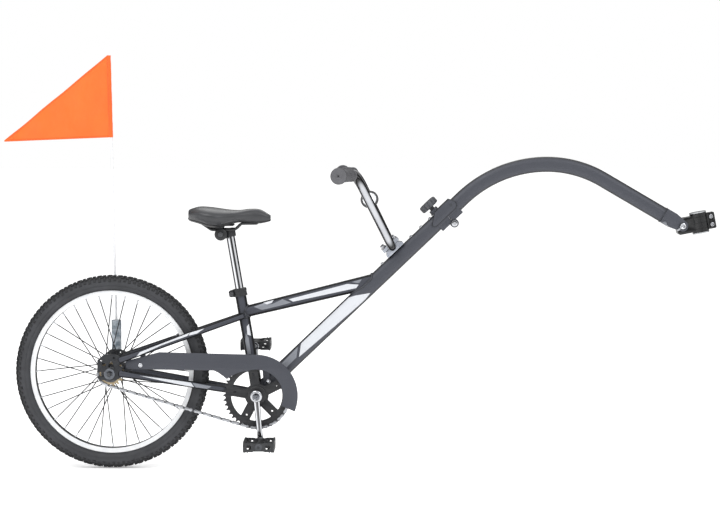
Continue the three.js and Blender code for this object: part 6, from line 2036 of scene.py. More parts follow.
@dataclass
class Seat:
    """The seatpost, its collar, the saddle clamp with its rails, and the padded saddle."""

    post_radius: float = 11.1
    post_heights: Pair = (169, 439)
    collar_heights: Pair = (259, 279)
    collar_radii: Pair = (14.5, 18.1)
    rail_radius: float = 3.5
    disc_radius: float = 16
    length: float = 213
    width: float = 152
    height: float = 57
    rear: Pair = (-84.95, 16.9)
    widths: tuple[float, ...] = (0.72, 0.93, 1, 0.93, 0.72, 0.48, 0.34, 0.29, 0.27)
    tops: tuple[float, ...] = (0.9, 0.985, 0.955, 0.885, 0.82, 0.81, 0.865, 0.85, 0.62)
    bottoms: tuple[float, ...] = (0.22, 0.16, 0.03, 0, 0.13, 0.23, 0.18, 0.15, 0.22)
    pan: tuple[Pair, ...] = ((-16, 15.2), (4, 15.2), (9, 21.5), (33, 21.5), (31, 26), (-8, 26))
    pan_half: float = 27.5
    rails: tuple[tuple[float, float, float], ...] = (
        (-48, -22, 27.6), (-24, -22, 11.6), (36, -22, 11.6), (52, -17.5, 27.6), (92, -9, 27.6))
    rail_bends: tuple[float, ...] = (14, 14, 14, 8.1, 8.1, 14, 14, 14)
    end_power: float = 0.42
    face_power: float = 0.2
    round_power: float = 0.75
    tuck: float = 0.3
    rim_share: float = 0.55
    groove: tuple[float, ...] = (1.6, 9, 0.7)
    seam_low: float = 0.6

    def share(self, shares: tuple[float, ...], place: float) -> float:
        """Reads a row of shares at a place along the saddle.

        Args:
            shares: The row.
            place: From 0 at the back to 1 at the nose.

        Returns:
            The share there.
        """
        spot = min(max(place, 0), 1) * (len(shares) - 1)
        low = min(int(spot), len(shares) - 2)
        t = spot - low
        p, q = shares[max(low - 1, 0)], shares[low]
        r, s = shares[low + 1], shares[min(low + 2, len(shares) - 1)]
        return 0.5 * (2 * q + (r - p) * t + (2 * p - 5 * q + 4 * r - s) * t * t
                      + (3 * q - p - 3 * r + s) * t ** 3)

    def skin(self, place: float, turn: float, grow: float = 0) -> Vector:
        """A point of the saddle's skin.

        Args:
            place: From 0 at the back to 1 at the nose.
            turn: The angle round it from its right edge over the top, in radians.
            grow: How far it stands outside the skin.

        Returns:
            The point.
        """
        ring = math.sin(math.acos(max(-1, min(1, 1 - 2 * place))))
        end = max(ring, 0.001) ** self.end_power
        face = max(ring, 0.001) ** self.face_power
        across, rise = math.cos(turn), math.sin(turn)
        square = math.copysign(abs(across) ** self.round_power, across)
        drawn = 1 - self.tuck * rise * rise if rise < 0 else 1
        y = self.width / 2 * self.share(self.widths, place) * end * square * drawn
        top, bottom = self.share(self.tops, place), self.share(self.bottoms, place)
        middle = (self.rim_share * top + (1 - self.rim_share) * bottom) * self.height
        if rise > 0:
            z = middle + (top * self.height - middle) * face * rise
            depth, wide, end = self.groove
            z -= depth * math.exp(-(y / wide) ** 2) * math.sin(math.pi * min(place / end, 1)) * rise
        else:
            deep = min(-rise / 0.8, 1)
            hollow = max(0, (-rise - 0.8) / 0.2)
            reach = (middle - bottom * self.height) * face
            z = middle - reach * (deep - 0.5 * hollow * hollow * (3 - 2 * hollow))
        out = Vector((0, across, rise)) * grow
        return BIKE.saddle.at(self.rear[0] + place * self.length, y, self.rear[1] + z) + out

    def build_saddle(self) -> None:
        around, along = 72, 84
        blank = Blank()
        rings = []
        for i in range(1, along):
            place = (1 - math.cos(math.pi * i / along)) / 2
            rings.append([self.skin(place, 2 * math.pi * k / around) for k in range(around)])
        blank.loft(rings)
        inks = []
        for face in blank.faces[:-2]:
            low = face[0] % around
            inks.append(1 if math.sin(2 * math.pi * (low + 0.5) / around) < -0.62 else 0)
        blank.inks = [*inks, 0, 0]
        made = blank.piece("padded_saddle", [Look.VINYL, Look.SEAM], 60)
        crown = made.modifiers.new("crown", "SUBSURF")
        crown.levels = crown.render_levels = 1
        settle(made, 60)
        mount(made, "seat", Look.VINYL, "saddle")
        bead = Blank()
        dip = math.asin(self.seam_low)
        turns = (2 * math.pi - dip, math.pi + dip)
        places = [(1 - math.cos(math.pi * i / 60)) / 2 for i in range(1, 60)]
        line = [self.skin(p, turns[0], 0.3) for p in places]
        line += [self.skin(p, turns[1], 0.3) for p in places[::-1]]
        bead.sweep(Track.through(line, True), circle(1.2, 8), True)
        bead.fit("saddle_edge_piping", "seat", Look.SEAM, crease=60)

    def build_post(self) -> None:
        """Makes the chrome post and the collar that grips it."""
        blank = Blank()
        low, high = self.post_heights
        blank.rod(BIKE.seat.at(0, 0, low), BIKE.seat.at(0, 0, high), self.post_radius, 56, 0.8)
        blank.fit("chrome_seatpost", "post", Look.LINED, "seatpost")
        inner, outer = self.collar_radii
        low, high = self.collar_heights
        blank = Blank()
        blank.turn(BIKE.seat.origin, BIKE.seat.up, [
            (low, inner), (low, outer - 0.6), (low + 0.6, outer), (low + 6, outer), (low + 6.6, outer - 0.7),
            (high - 6.6, outer - 0.7), (high - 6, outer), (high - 0.6, outer), (high, outer - 0.6),
            (high + 0.8, inner + 0.6), (high + 0.8, 11.3), (high, 11.3), (high, inner)], 56, True)
        ear = rounded([(-29, low + 2), (-14, low), (-14, high), (-29, high - 2)], 4.5, 5)
        for sign in (-1, 1):
            blank.plate(BIKE.seat, ear, [ring_of(-22, (low + high) / 2, 3.2, 20)], sign * 1.2, sign * 8, 0.8)
        blank.fit("seat_collar_band", "frame", Look.BLACK, "seat_collar")
        blank = Blank()
        middle = (low + high) / 2
        blank.rod(BIKE.seat.at(-22, -9.5, middle), BIKE.seat.at(-22, 9.5, middle), 3, 20)
        blank.plate(BIKE.seat, ring_of(-22, middle, 5.6, 6), [], 8, 12.4, 0.5)
        blank.turn(BIKE.seat.at(-22, -8, middle), -ACROSS, [(0, 5.6), (3.6, 5.6), (4.6, 4.8), (5, 3),
                                                             (3, 2.6), (3, 0.3)], 28)
        blank.fit("collar_bolt", "frame", Look.DARK_STEEL)

    def build_clamp(self) -> None:
        """Makes the clamp on top of the post with its toothed discs, and bends the rails."""
        place, middle = BIKE.seat, BIKE.knuckle_up
        blank = Blank()
        blank.turn(place.origin, place.up, bush(middle - 11, middle + 11, 11.3, 15, 0.8), 48, True)
        back = BIKE.knuckle_back
        blank.turn(place.at(-back, 0, middle), ACROSS, bush(-15, 15, 4.4, 13, 0.8), 44, True)
        web = plaque(-back, middle - 11, -11, middle + 11, 3, 3)
        blank.plate(place, web, [], -12, 12, 0.8)
        blank.fit("saddle_clamp_body", "post", Look.BLACK, "saddle_clamp")
        blank = Blank()
        saddle = BIKE.saddle
        teeth = []
        for i in range(40):
            angle = 2 * math.pi * i / 40
            radius = self.disc_radius - (0.9 if i % 2 else 0)
            teeth.append((math.cos(angle) * radius, math.sin(angle) * radius))
        for sign in (-1, 1):
            blank.plate(saddle, teeth, [], 15.3 * sign, 18.2 * sign, 0.4)
            blank.turn(saddle.origin, ACROSS * sign, [
                (25.8, 4), (25.8, 15.4), (26.4, 16), (28.6, 16), (29.6, 14.8), (30.8, 10.4), (30.8, 4)],
                44, True)
            blank.plate(saddle, ring_of(0, 0, 6.9, 6), [], 30.6 * sign, 35 * sign, 0.6, 1)
        blank.rod(saddle.at(0, -36.5), saddle.at(0, 36.5), 4, 24, 0.6, 1)
        blank.fit("rail_clamp_discs", "seat", [Look.BLACK, Look.DARK_STEEL], "rail_clamp")
        pan = Blank()
        pan.plate(saddle, rounded(list(self.pan), 1.8, 4), [], -self.pan_half, self.pan_half, 1)
        pan.fit("saddle_pan", "seat", Look.BLACK)
        corners = [saddle.at(*corner) for corner in self.rails]
        corners += [saddle.at(x, -y, z) for x, y, z in self.rails[::-1]]
        track = Track.bent(corners, list(self.rail_bends), 10)
        blank = Blank()
        blank.sweep(track, circle(self.rail_radius, 20))
        blank.fit("bent_saddle_rails", "seat", Look.BLACK, "saddle_rails", crease=60)

    def build(self) -> None:
        """Makes the whole seat."""
        self.build_post()
        self.build_clamp()
        self.build_saddle()


@dataclass
class SteeringBar:
    """The fixed steering bar with its clamp, grips and reflector."""

    radius: float = 11.1
    centre_half: float = 62
    upright: tuple[float, float, float] = (-92, 103, 187)
    grip_reach: float = 150
    sweep_back: float = 15.5
    bend: float = 55
    neck: float = 75
    grip_length: float = 113
    disc_radius: float = 20.4
    disc_width: float = 7
    clamp_half: float = 19
    base: tuple[Pair, ...] = ((-27.5, 0.3), (27.5, 0.3), (27.5, 7.2), (20.6, 15.7), (-20.6, 15.7),
                              (-27.5, 7.2))
    cap: tuple[Pair, ...] = ((-26, 16.3), (26, 16.3), (26, 25.4), (10.6, 27), (7.2, 30), (-7.2, 30),
                             (-10.6, 27), (-26, 25.4))
    bolt_pitch: float = 35.5
    reflector_up: float = 111
    reflector_radius: float = 24

    def half(self, side: Side) -> tuple[list[Vector], Vector]:
        """The corners of one half of the bar and the way its grip points.

        Args:
            side: Which half.

        Returns:
            The corners from the tip inward, and the direction.
        """
        sign = side.value
        back, out, up = self.upright
        bend = BIKE.bar.at(back, sign * (self.centre_half + out), up)
        turn = math.radians(self.sweep_back)
        way = Vector((-math.sin(turn), sign * math.cos(turn), 0))
        return [bend + way * self.grip_reach, bend, BIKE.bar.at(0, sign * self.centre_half)], way

    def build_bar(self) -> None:
        """Bends the chrome bar."""
        right, left = self.half(Side.RIGHT)[0], self.half(Side.LEFT)[0]
        track = Track.bent([*right, *left[::-1]], [self.neck, self.bend, self.bend, self.neck], 18)
        blank = Blank()
        blank.sweep(track, circle(self.radius, 56))
        for i in range(9):
            y = -4 * 3.4 + i * 3.4
            blank.turn(BIKE.bar.at(0, y), ACROSS, [(0, 10.9), (0.5, 11.25), (1.4, 11.25), (1.9, 10.9)], 48,
                       True)
        blank.fit("bent_chrome_bar", "steering_bar", Look.CHROME, "handlebar", crease=50)

    def build_grips(self) -> None:
        """Moulds the ribbed grips with their wide end discs."""
        for side in Side:
            corners, way = self.half(side)
            tip, end = corners[0], 5.3
            profile = [(end - self.grip_length, 11.5), (end - self.grip_length, 15),
                       (end - self.grip_length + 0.8, 15.8), (end - self.grip_length + 4.2, 15.8),
                       (end - self.grip_length + 5, 15)]
            start, stop = end - self.grip_length + 7, end - self.disc_width - 3
            ribs = 30
            for i in range(ribs):
                a = start + (stop - start) * i / ribs
                step = (stop - start) / ribs
                swell = 0.9 * math.sin(math.pi * i / ribs)
                profile += [(a, 14.3 + swell * 0.6), (a + step * 0.3, 15 + swell * 0.8),
                            (a + step * 0.7, 15 + swell * 0.8)]
            profile += [(stop, 14.6), (end - self.disc_width, 16),
                        (end - self.disc_width, self.disc_radius - 0.6),
                        (end - self.disc_width + 0.7, self.disc_radius), (end - 1.6, self.disc_radius),
                        (end - 0.4, self.disc_radius - 1), (end, self.disc_radius - 2.6), (end, 4.6),
                        (end - 0.5, 4.2), (end - 0.5, 2.3), (end - 3.6, 2.1), (end - 3.6, 0.3)]
            blank = Blank()
            blank.turn(tip, way, profile, 64)
            name = f"grip_{side.word}"
            blank.fit(f"ribbed_{name}", "steering_bar", Look.GRIP, name, crease=40)

    def build_clamp(self) -> None:
        """Cuts the two polished blocks of the clamp and their square-headed bolts."""
        place, width = BIKE.clamp, self.clamp_half
        for name, corners in (("bar_clamp_base", self.base), ("bar_clamp_cap", self.cap)):
            blank = Blank()
            blank.plate(place, rounded(list(corners), 2, 4), [], -width, width, 1.2)
            made = blank.piece(f"polished_{name}", [Look.CAST], 28)
            tool = Blank()
            tool.rod(place.at(0, -60, 16), place.at(0, 60, 16), 11.4, 56, 0.1)
            carve(made, tool.piece("tool", [Look.CAST]), 28)
            mount(made, "frame", Look.CAST, name)
        for sign, word in ((-1, "rear"), (1, "front")):
            x = sign * self.bolt_pitch / 2
            blank = Blank()
            foot = place.at(x, 0, 27.2)
            blank.turn(foot, place.up, [(0, 4.2), (0, 8.2), (0.5, 8.6), (1.3, 8.6), (1.7, 8.2),
                                        (1.7, 4.2)], 36, True)
            nut = plaque(x - 6, -6, x + 6, 6, 1.6, 3)
            corner = place.at(0, 0, 28.8)
            blank.slab([corner, place.forward, ACROSS, place.up], nut, [], 7.4, 1)
            blank.rod(place.at(x, 0, 0.5), place.at(x, 0, 37), 3.6, 24, 0.8)
            name = f"bar_bolt_{word}"
            blank.fit(f"square_{name}", "frame", Look.CHROME, name)

    def build_reflector(self) -> None:
        """Makes the round reflector: lens, black rim and the band round the upright."""
        back, out, up = self.upright
        along = Vector((back, out, up)).normalized()
        facing = (-ACROSS + along * along.y).normalized()
        share = self.reflector_up / up
        middle = BIKE.bar.at(back * share, self.centre_half + out * share, self.reflector_up)
        blank = Blank()
        radius = self.reflector_radius
        blank.turn(middle, facing, [(12.9, 6), (12.9, radius - 4), (15, radius - 0.8), (16, radius),
                                    (21.2, radius), (21.9, radius - 0.8), (21.9, radius - 4.6),
                                    (20.4, radius - 5), (20.4, 6)], 64, True)
        blank.turn(middle, along, [(-6, 11.3), (-6, 13.4), (-5.4, 13.9), (5.4, 13.9), (6, 13.4),
                                   (6, 11.3)], 44, True)
        blank.rod(middle + facing * 11.6, middle + facing * 14.5, 7, 28)
        blank.fit("reflector_housing", "steering_bar", Look.PLASTIC, "reflector")
        lens = Blank()
        lens.turn(middle, facing, [(19.4, radius - 4.9), (20.3, radius - 5.2), (20.9, radius - 7), (21.2, 10),
                                   (21.3, 0.4)], 64)
        lens.fit("reflector_lens", "steering_bar", Look.LENS)

    def build(self) -> None:
        """Makes the steering bar with all that it carries."""
        self.build_bar()
        self.build_grips()
        self.build_clamp()
        self.build_reflector()


@dataclass
class Fold:
    """The fold: hinge leaves, bolt, the coupler that straddles the tube, and its knob."""

    drop: float = 32
    inner_half: float = 8
    outer_half: float = 16
    knuckle: float = 11
    tube: Pair = (31, 41)
    leaf: float = 36
    coupler: Pair = (-46, 40)
    coupler_levels: Pair = (-6, 25.1)
    shoulder: float = -24
    coupler_corners: Pair = (11, 15)
    coupler_half: float = 20.1
    knob_back: float = 16
    knob_radius: float = 25
    knob_low: float = 39.5
    knob_height: float = 18
    flutes: int = 12

    def channel(self, grow: float) -> bpy.types.Object:
        """The tube's shape, a little grown, as a tool to cut a saddle for it.

        Args:
            grow: The clearance all round.

        Returns:
            The tool.
        """
        width, height = self.tube
        tool = Blank()
        section = circle(width / 2 + grow, 48, height + 2 * grow)
        rings = [[BIKE.split.at(x, a, b) for a, b in section] for x in (-90, 90)]
        tool.loft(rings)
        return tool.piece("tool", [Look.PAINT])

    def leaf_piece(self, direction: int) -> Blank:
        """One hinge leaf before its saddle is cut.

        Args:
            direction: -1 for the leaf on the frame, 1 for the one on the arm.

        Returns:
            The worked piece.
        """
        blank = Blank()
        sharp = [(1.5, -31), (1.5, -10.2), (self.leaf, -10.2), (self.leaf, -26.5), (9, -26.5)]
        outline = rounded([(direction * x, z) for x, z in sharp], 2.4, 4)
        blank.plate(BIKE.split, outline, [], -14, 14, 1)
        spans = [(-self.inner_half, self.inner_half)] if direction < 0 else [
            (-self.outer_half, -self.inner_half - 0.3), (self.inner_half + 0.3, self.outer_half)]
        for start, stop in spans:
            blank.turn(BIKE.split.at(0, 0, -self.drop), ACROSS, bush(start, stop, 5.4, self.knuckle, 0.6),
                       48, True)
        return blank

    def build_hinge(self) -> None:
        """Makes both leaves and the bolt through their knuckles."""
        for direction, body, name in ((-1, "frame", "frame_hinge_leaf"), (1, "arm", "arm_hinge_leaf")):
            self.leaf_piece(direction).fit(f"cast_{name}", body, Look.PAINT, name, crease=40)
        blank = Blank()
        centre = BIKE.split.at(0, 0, -self.drop)
        head = self.outer_half + 0.3
        for sign in (-1, 1):
            blank.turn(centre, ACROSS * sign, [
                (head, 4.8), (head, 8.6), (head + 0.5, 9), (head + 2.4, 9), (head + 3.8, 7.8),
                (head + 4.5, 5.4), (head + 4.5, 3.6), (head + 2.4, 3.4), (head + 2.4, 0.3)], 40)
        blank.rod(centre - ACROSS * head, centre + ACROSS * head, 5, 32)
        blank.fit("domed_hinge_bolt", "arm", Look.CHROME, "hinge_bolt")

    def build_coupler(self) -> None:
        """Cuts the coupler out of an inverted channel, with its rounded back, its boss, and a darker
        under-plate that paints a shadow line round it.
        """
        (back, front), (low, top) = self.coupler, self.coupler_levels
        small, corner = self.coupler_corners
        outline = [*arc(back + small, low + small, small, 180, 270, 6), (front - corner, low)]
        outline += arc(front - corner, low + corner, corner, -90, 0, 8)
        outline += [(front, top - 15), (front - 8, top), (self.shoulder + 6, top)]
        outline = rounded([p for i, p in enumerate(outline) if i == 0 or p != outline[i - 1]], 2.6, 3)
        # the second, slightly larger plate in the darker enamel shows round the coupler's edge as a painted
        # shadow line
        for name, shrink, half, finish in (("channel_coupler", 1.3, self.coupler_half, Look.PAINT),
                                           ("coupler_rim", 0, self.coupler_half - 0.9, Look.SHADED)):
            blank = Blank()
            blank.plate(BIKE.split, inset(outline, shrink), [], -half, half, 0.6)
            made = blank.piece(name, [finish], 40)
            carve(made, self.channel(0.6), 40)
            opening = Blank()
            opening.block(BIKE.split, (-80, -16.1, -30), (80, 16.1, 0), 0.5)
            carve(made, opening.piece("tool", [Look.PAINT]), 40)
            mount(made, "arm", finish, *(["arm_coupler"] if shrink else []))
        boss = Blank()
        boss.turn(BIKE.split.at(-self.knob_back), BIKE.split.up, [
            (21.6, 7), (21.6, 14.4), (25.2, 13.2), (26.4, 12.2), (32.2, 12), (33, 11.2), (33, 7)], 44, True)
        boss.fit("coupler_boss", "arm", Look.PAINT)
        rivets = Blank()
        for sign in (-1, 1):
            rivets.turn(BIKE.split.at(26, 19.8 * sign, 9), ACROSS * sign,
                        [(0, 4.2), (0.5, 4.2), (0.5, 0.4)], 24)
        rivets.fit("coupler_rivets", "arm", Look.WELD)

    def build_knob(self) -> None:
        """Moulds the fluted knob on its stem."""
        place = BIKE.split.moved(-self.knob_back)
        low, high, radius = self.knob_low, self.knob_low + self.knob_height, self.knob_radius
        steps = self.flutes * 12
        profile = [(low, 0.56), (low, 0.86), (low + 1.4, 0.95), (low + 3, 1), (high - 3.4, 1),
                   (high - 1.6, 0.96), (high - 0.5, 0.88), (high, 0.8), (high, 0.62), (high - 1, 0.56),
                   (high - 1, 0.3), (high - 0.6, 0.1), (high - 0.6, 0.02)]
        rings = []
        for height, share in profile:
            ring = []
            for i in range(steps):
                angle = 2 * math.pi * i / steps
                flute = max(0, math.cos(angle * self.flutes)) ** 2
                reach = radius * share - (2.3 * flute if share > 0.75 else 0)
                ring.append(place.at(math.cos(angle) * reach, math.sin(angle) * reach, height))
            rings.append(ring)
        blank = Blank()
        blank.loft(rings)
        blank.turn(place.origin, place.up, [(20.8, 6), (21.2, 6.5), (low + 0.4, 6.5), (low + 0.4, 6)], 36,
                   ink=1)
        blank.fit("fluted_clamp_knob", "knob", [Look.KNOB, Look.BLACK], "clamp_knob", crease=38)

    def build(self) -> None:
        """Makes the whole fold."""
        self.build_hinge()
        self.build_coupler()
        self.build_knob()


@dataclass
class TowArm:
    """The bent tow arm and the fork at its end."""

    width: float = 31
    height: float = 39.5
    bends: Pair = (315, 289)
    fork_half: float = 20
    fork_end: float = 14.4
    slot_depth: float = 29

    def build_arm(self) -> None:
        """Bends the arm."""
        corners = [BIKE.split.at(0.15), *BIKE.arm_corners[1:]]
        track = Track.bent(corners, list(self.bends), 40)
        blank = Blank()
        blank.sweep(track, circle(self.width / 2, 56, self.height))
        blank.fit("bent_tow_arm", "arm", Look.PAINT, "tow_arm", crease=50)

    def build_fork(self) -> None:
        """Makes the channel-shaped fork with rounded cheeks, its floor plate in a lighter grey as a painted
        highlight, and the weld round its root.
        """
        half, rise = self.fork_half, self.height / 2
        start, stop, end = 0.3, BIKE.fork_length, self.fork_end
        inner = stop - self.slot_depth
        scallop = [(start + 5, 0), (start + 8, 7), (start + 16, 8), (inner - 8, 3), (inner, 0)]
        cheek = [(start, -rise), *[(x, z - rise) for x, z in scallop]]
        cheek += arc(stop, 0, end, -90, 90, 18)
        cheek += [(inner, rise), (start, rise)]
        blank = Blank()
        hole = ring_of(stop, 0, 6.5, 28)
        for sign in (-1, 1):
            blank.plate(BIKE.fork, cheek, [hole], 16 * sign, half * sign, 1.1)
        roof = plaque(start, rise - 4, inner, rise, 1.2, 3)
        floor = rounded([(start, -rise), (inner, -rise), (inner, 8 - rise), (start, 10 - rise)], 1.2, 3)
        # the floor plate takes the lighter grey as a painted highlight where it shows through the cheeks'
        # scallop
        for ink, outline in enumerate((roof, floor)):
            blank.plate(BIKE.fork, outline, [], -17, 17, 0.8, ink)
        cap = plaque(start, -rise + 2, start + 5, rise - 2, 0.8, 2)
        blank.plate(BIKE.fork, cap, [], -17, 17, 0.6)
        blank.fit("channel_fork", "arm", [Look.PAINT, Look.PANEL_GREY], "arm_fork", crease=40)
        bead = Blank()
        section = circle(self.width / 2 + 0.6, 88, self.height + 1.2)
        line = [BIKE.fork.at(0.4, a, b) for a, b in section]
        rings = []
        for i, point in enumerate(line):
            size = 1.2 + 0.2 * math.sin(i * 2.1)
            out = (point - BIKE.fork.at(0.4)).normalized()
            rings.append([point + out * (a * size) + BIKE.fork.forward * (b * size) for a, b in circle(1, 8)])
        bead.loft(rings, True)
        bead.fit("fork_weld", "arm", Look.WELD, crease=80)

    def build(self) -> None:
        """Makes the arm and its fork."""
        self.build_arm()
        self.build_fork()


@dataclass
class Hitch:
    """The hitch: pin, strap round the bushing, and the two bolts of its ear."""

    tongue_half: float = 15.5
    tongue: tuple[Pair, ...] = ((-15, -17), (-10, -22), (46.5, -22), (46.5, 20), (-10, 20),
                                (-15, 15))
    strap_radius: float = 21.8
    strap_half: float = 24.7
    bushing_radius: float = 18
    bore: float = 13.9
    ear_reach: float = 41
    ear_half: float = 21.5
    bolt_out: float = 30.5
    bolt_pitch: float = 21

    def build_strap(self) -> None:
        """Makes the glossy tongue, the strap barrel and the clamping ears."""
        place, axis = BIKE.hitch, BIKE.bushing
        blank = Blank()
        outline = rounded(list(self.tongue), 3, 4)
        blank.plate(place, outline, [ring_of(0, 0, 6.6, 28)], -self.tongue_half, self.tongue_half, 1.4)
        made = blank.piece("glossy_strap", [Look.GLOSS], 38)
        clear = Blank()
        clear.rod(axis.at(0, 0, -60), axis.at(0, 0, 60), self.bushing_radius + 0.3, 56, 0.1)
        carve(made, clear.piece("tool", [Look.GLOSS]), 38)
        ring = Blank()
        half, outer, inner = self.strap_half, self.strap_radius, self.bushing_radius + 0.3
        ring.turn(axis.origin, axis.up, bush(-half, half, inner, outer, 0.9), 64, True)
        ear = plaque(inner + 1, -self.ear_half, self.ear_reach, self.ear_half, 4, 5)
        holes = [ring_of(self.bolt_out, sign * self.bolt_pitch / 2, 3.2, 20) for sign in (-1, 1)]
        for sign in (-1, 1):
            ring.plate(axis, ear, holes, 2 * sign, 8.6 * sign, 1)
        for level in (-0.62, 0, 0.62):
            z = level * half
            ring.turn(axis.origin, axis.up, [(z - 1.2, outer - 0.4), (z - 0.6, outer), (z + 0.6, outer),
                                             (z + 1.2, outer - 0.4)], 64, True)
        ring.fit("strap_barrel", "hitch", Look.GLOSS, crease=38)
        mount(made, "hitch", Look.GLOSS, "hitch_strap")

    def build_bushing(self) -> None:
        """Turns the bushing with a flange at each end."""
        axis, half, outer = BIKE.bushing, self.strap_half + 0.3, self.strap_radius
        blank = Blank()
        top = half + 3
        blank.turn(axis.origin, axis.up, [
            (-top, self.bore), (-top, outer - 0.7), (-top + 0.7, outer), (-half - 0.5, outer),
            (-half, outer - 0.5), (-half, self.bushing_radius), (half, self.bushing_radius),
            (half, outer - 0.5), (half + 0.5, outer), (top - 0.7, outer), (top, outer - 0.7),
            (top, self.bore)], 64, True)
        blank.fit("flanged_bushing", "bushing", Look.BUSH, "hitch_bushing")

    def build_pin(self) -> None:
        """Turns the hitch pin with its bright head and the small lever that locks it."""
        place = BIKE.hitch
        blank = Blank()
        blank.turn(place.at(0, -20.3), -ACROSS, [
            (-48.3, 4.8), (-47.6, 5.6), (-46, 6), (-0.2, 6), (0, 8), (0.6, 8.5), (3.6, 8.5), (4.6, 7.8),
            (5, 6.4), (4.2, 4), (2, 3.2), (2, 0.3)], 44)
        blank.fit("turned_hitch_pin", "pin", Look.CHROME, "hitch_pin")
        clip = Blank()
        lean = BIKE.hitch_lean
        spot = place.moved(0, -23, 0, 180 + 38 - lean)
        outline = rounded([(5, -2.6), (19, -2), (19, 2), (5, 2.6)], 1.8, 4)
        clip.plate(spot, outline, [], -1.1, 1.1, 0.5)
        clip.fit("pin_lever", "pin", Look.STEEL)

    def build_bolts(self) -> None:
        """Sets the two ear bolts with their nuts."""
        axis = BIKE.bushing
        for sign, word in ((1, "top"), (-1, "bottom")):
            spot = axis.at(self.bolt_out, 0, sign * self.bolt_pitch / 2)
            blank = Blank()
            blank.turn(spot, -ACROSS, [(8.8, 3), (8.8, 5.6), (12.4, 5.6), (13.4, 5), (13.9, 3.6), (12, 2.8),
                                       (12, 0.3)], 32)
            blank.rod(spot - ACROSS * 9, spot + ACROSS * 14.4, 3, 20)
            flat = Place(spot, 15)
            blank.plate(flat, ring_of(0, 0, 5.7, 6), [], 8.8, 13.4, 0.5)
            blank.fit(f"ear_bolt_{word}", "hitch", Look.STEEL, f"hitch_bolt_{word}")

    def build(self) -> None:
        """Makes the whole hitch."""
        self.build_strap()
        self.build_bushing()
        self.build_pin()
        self.build_bolts()


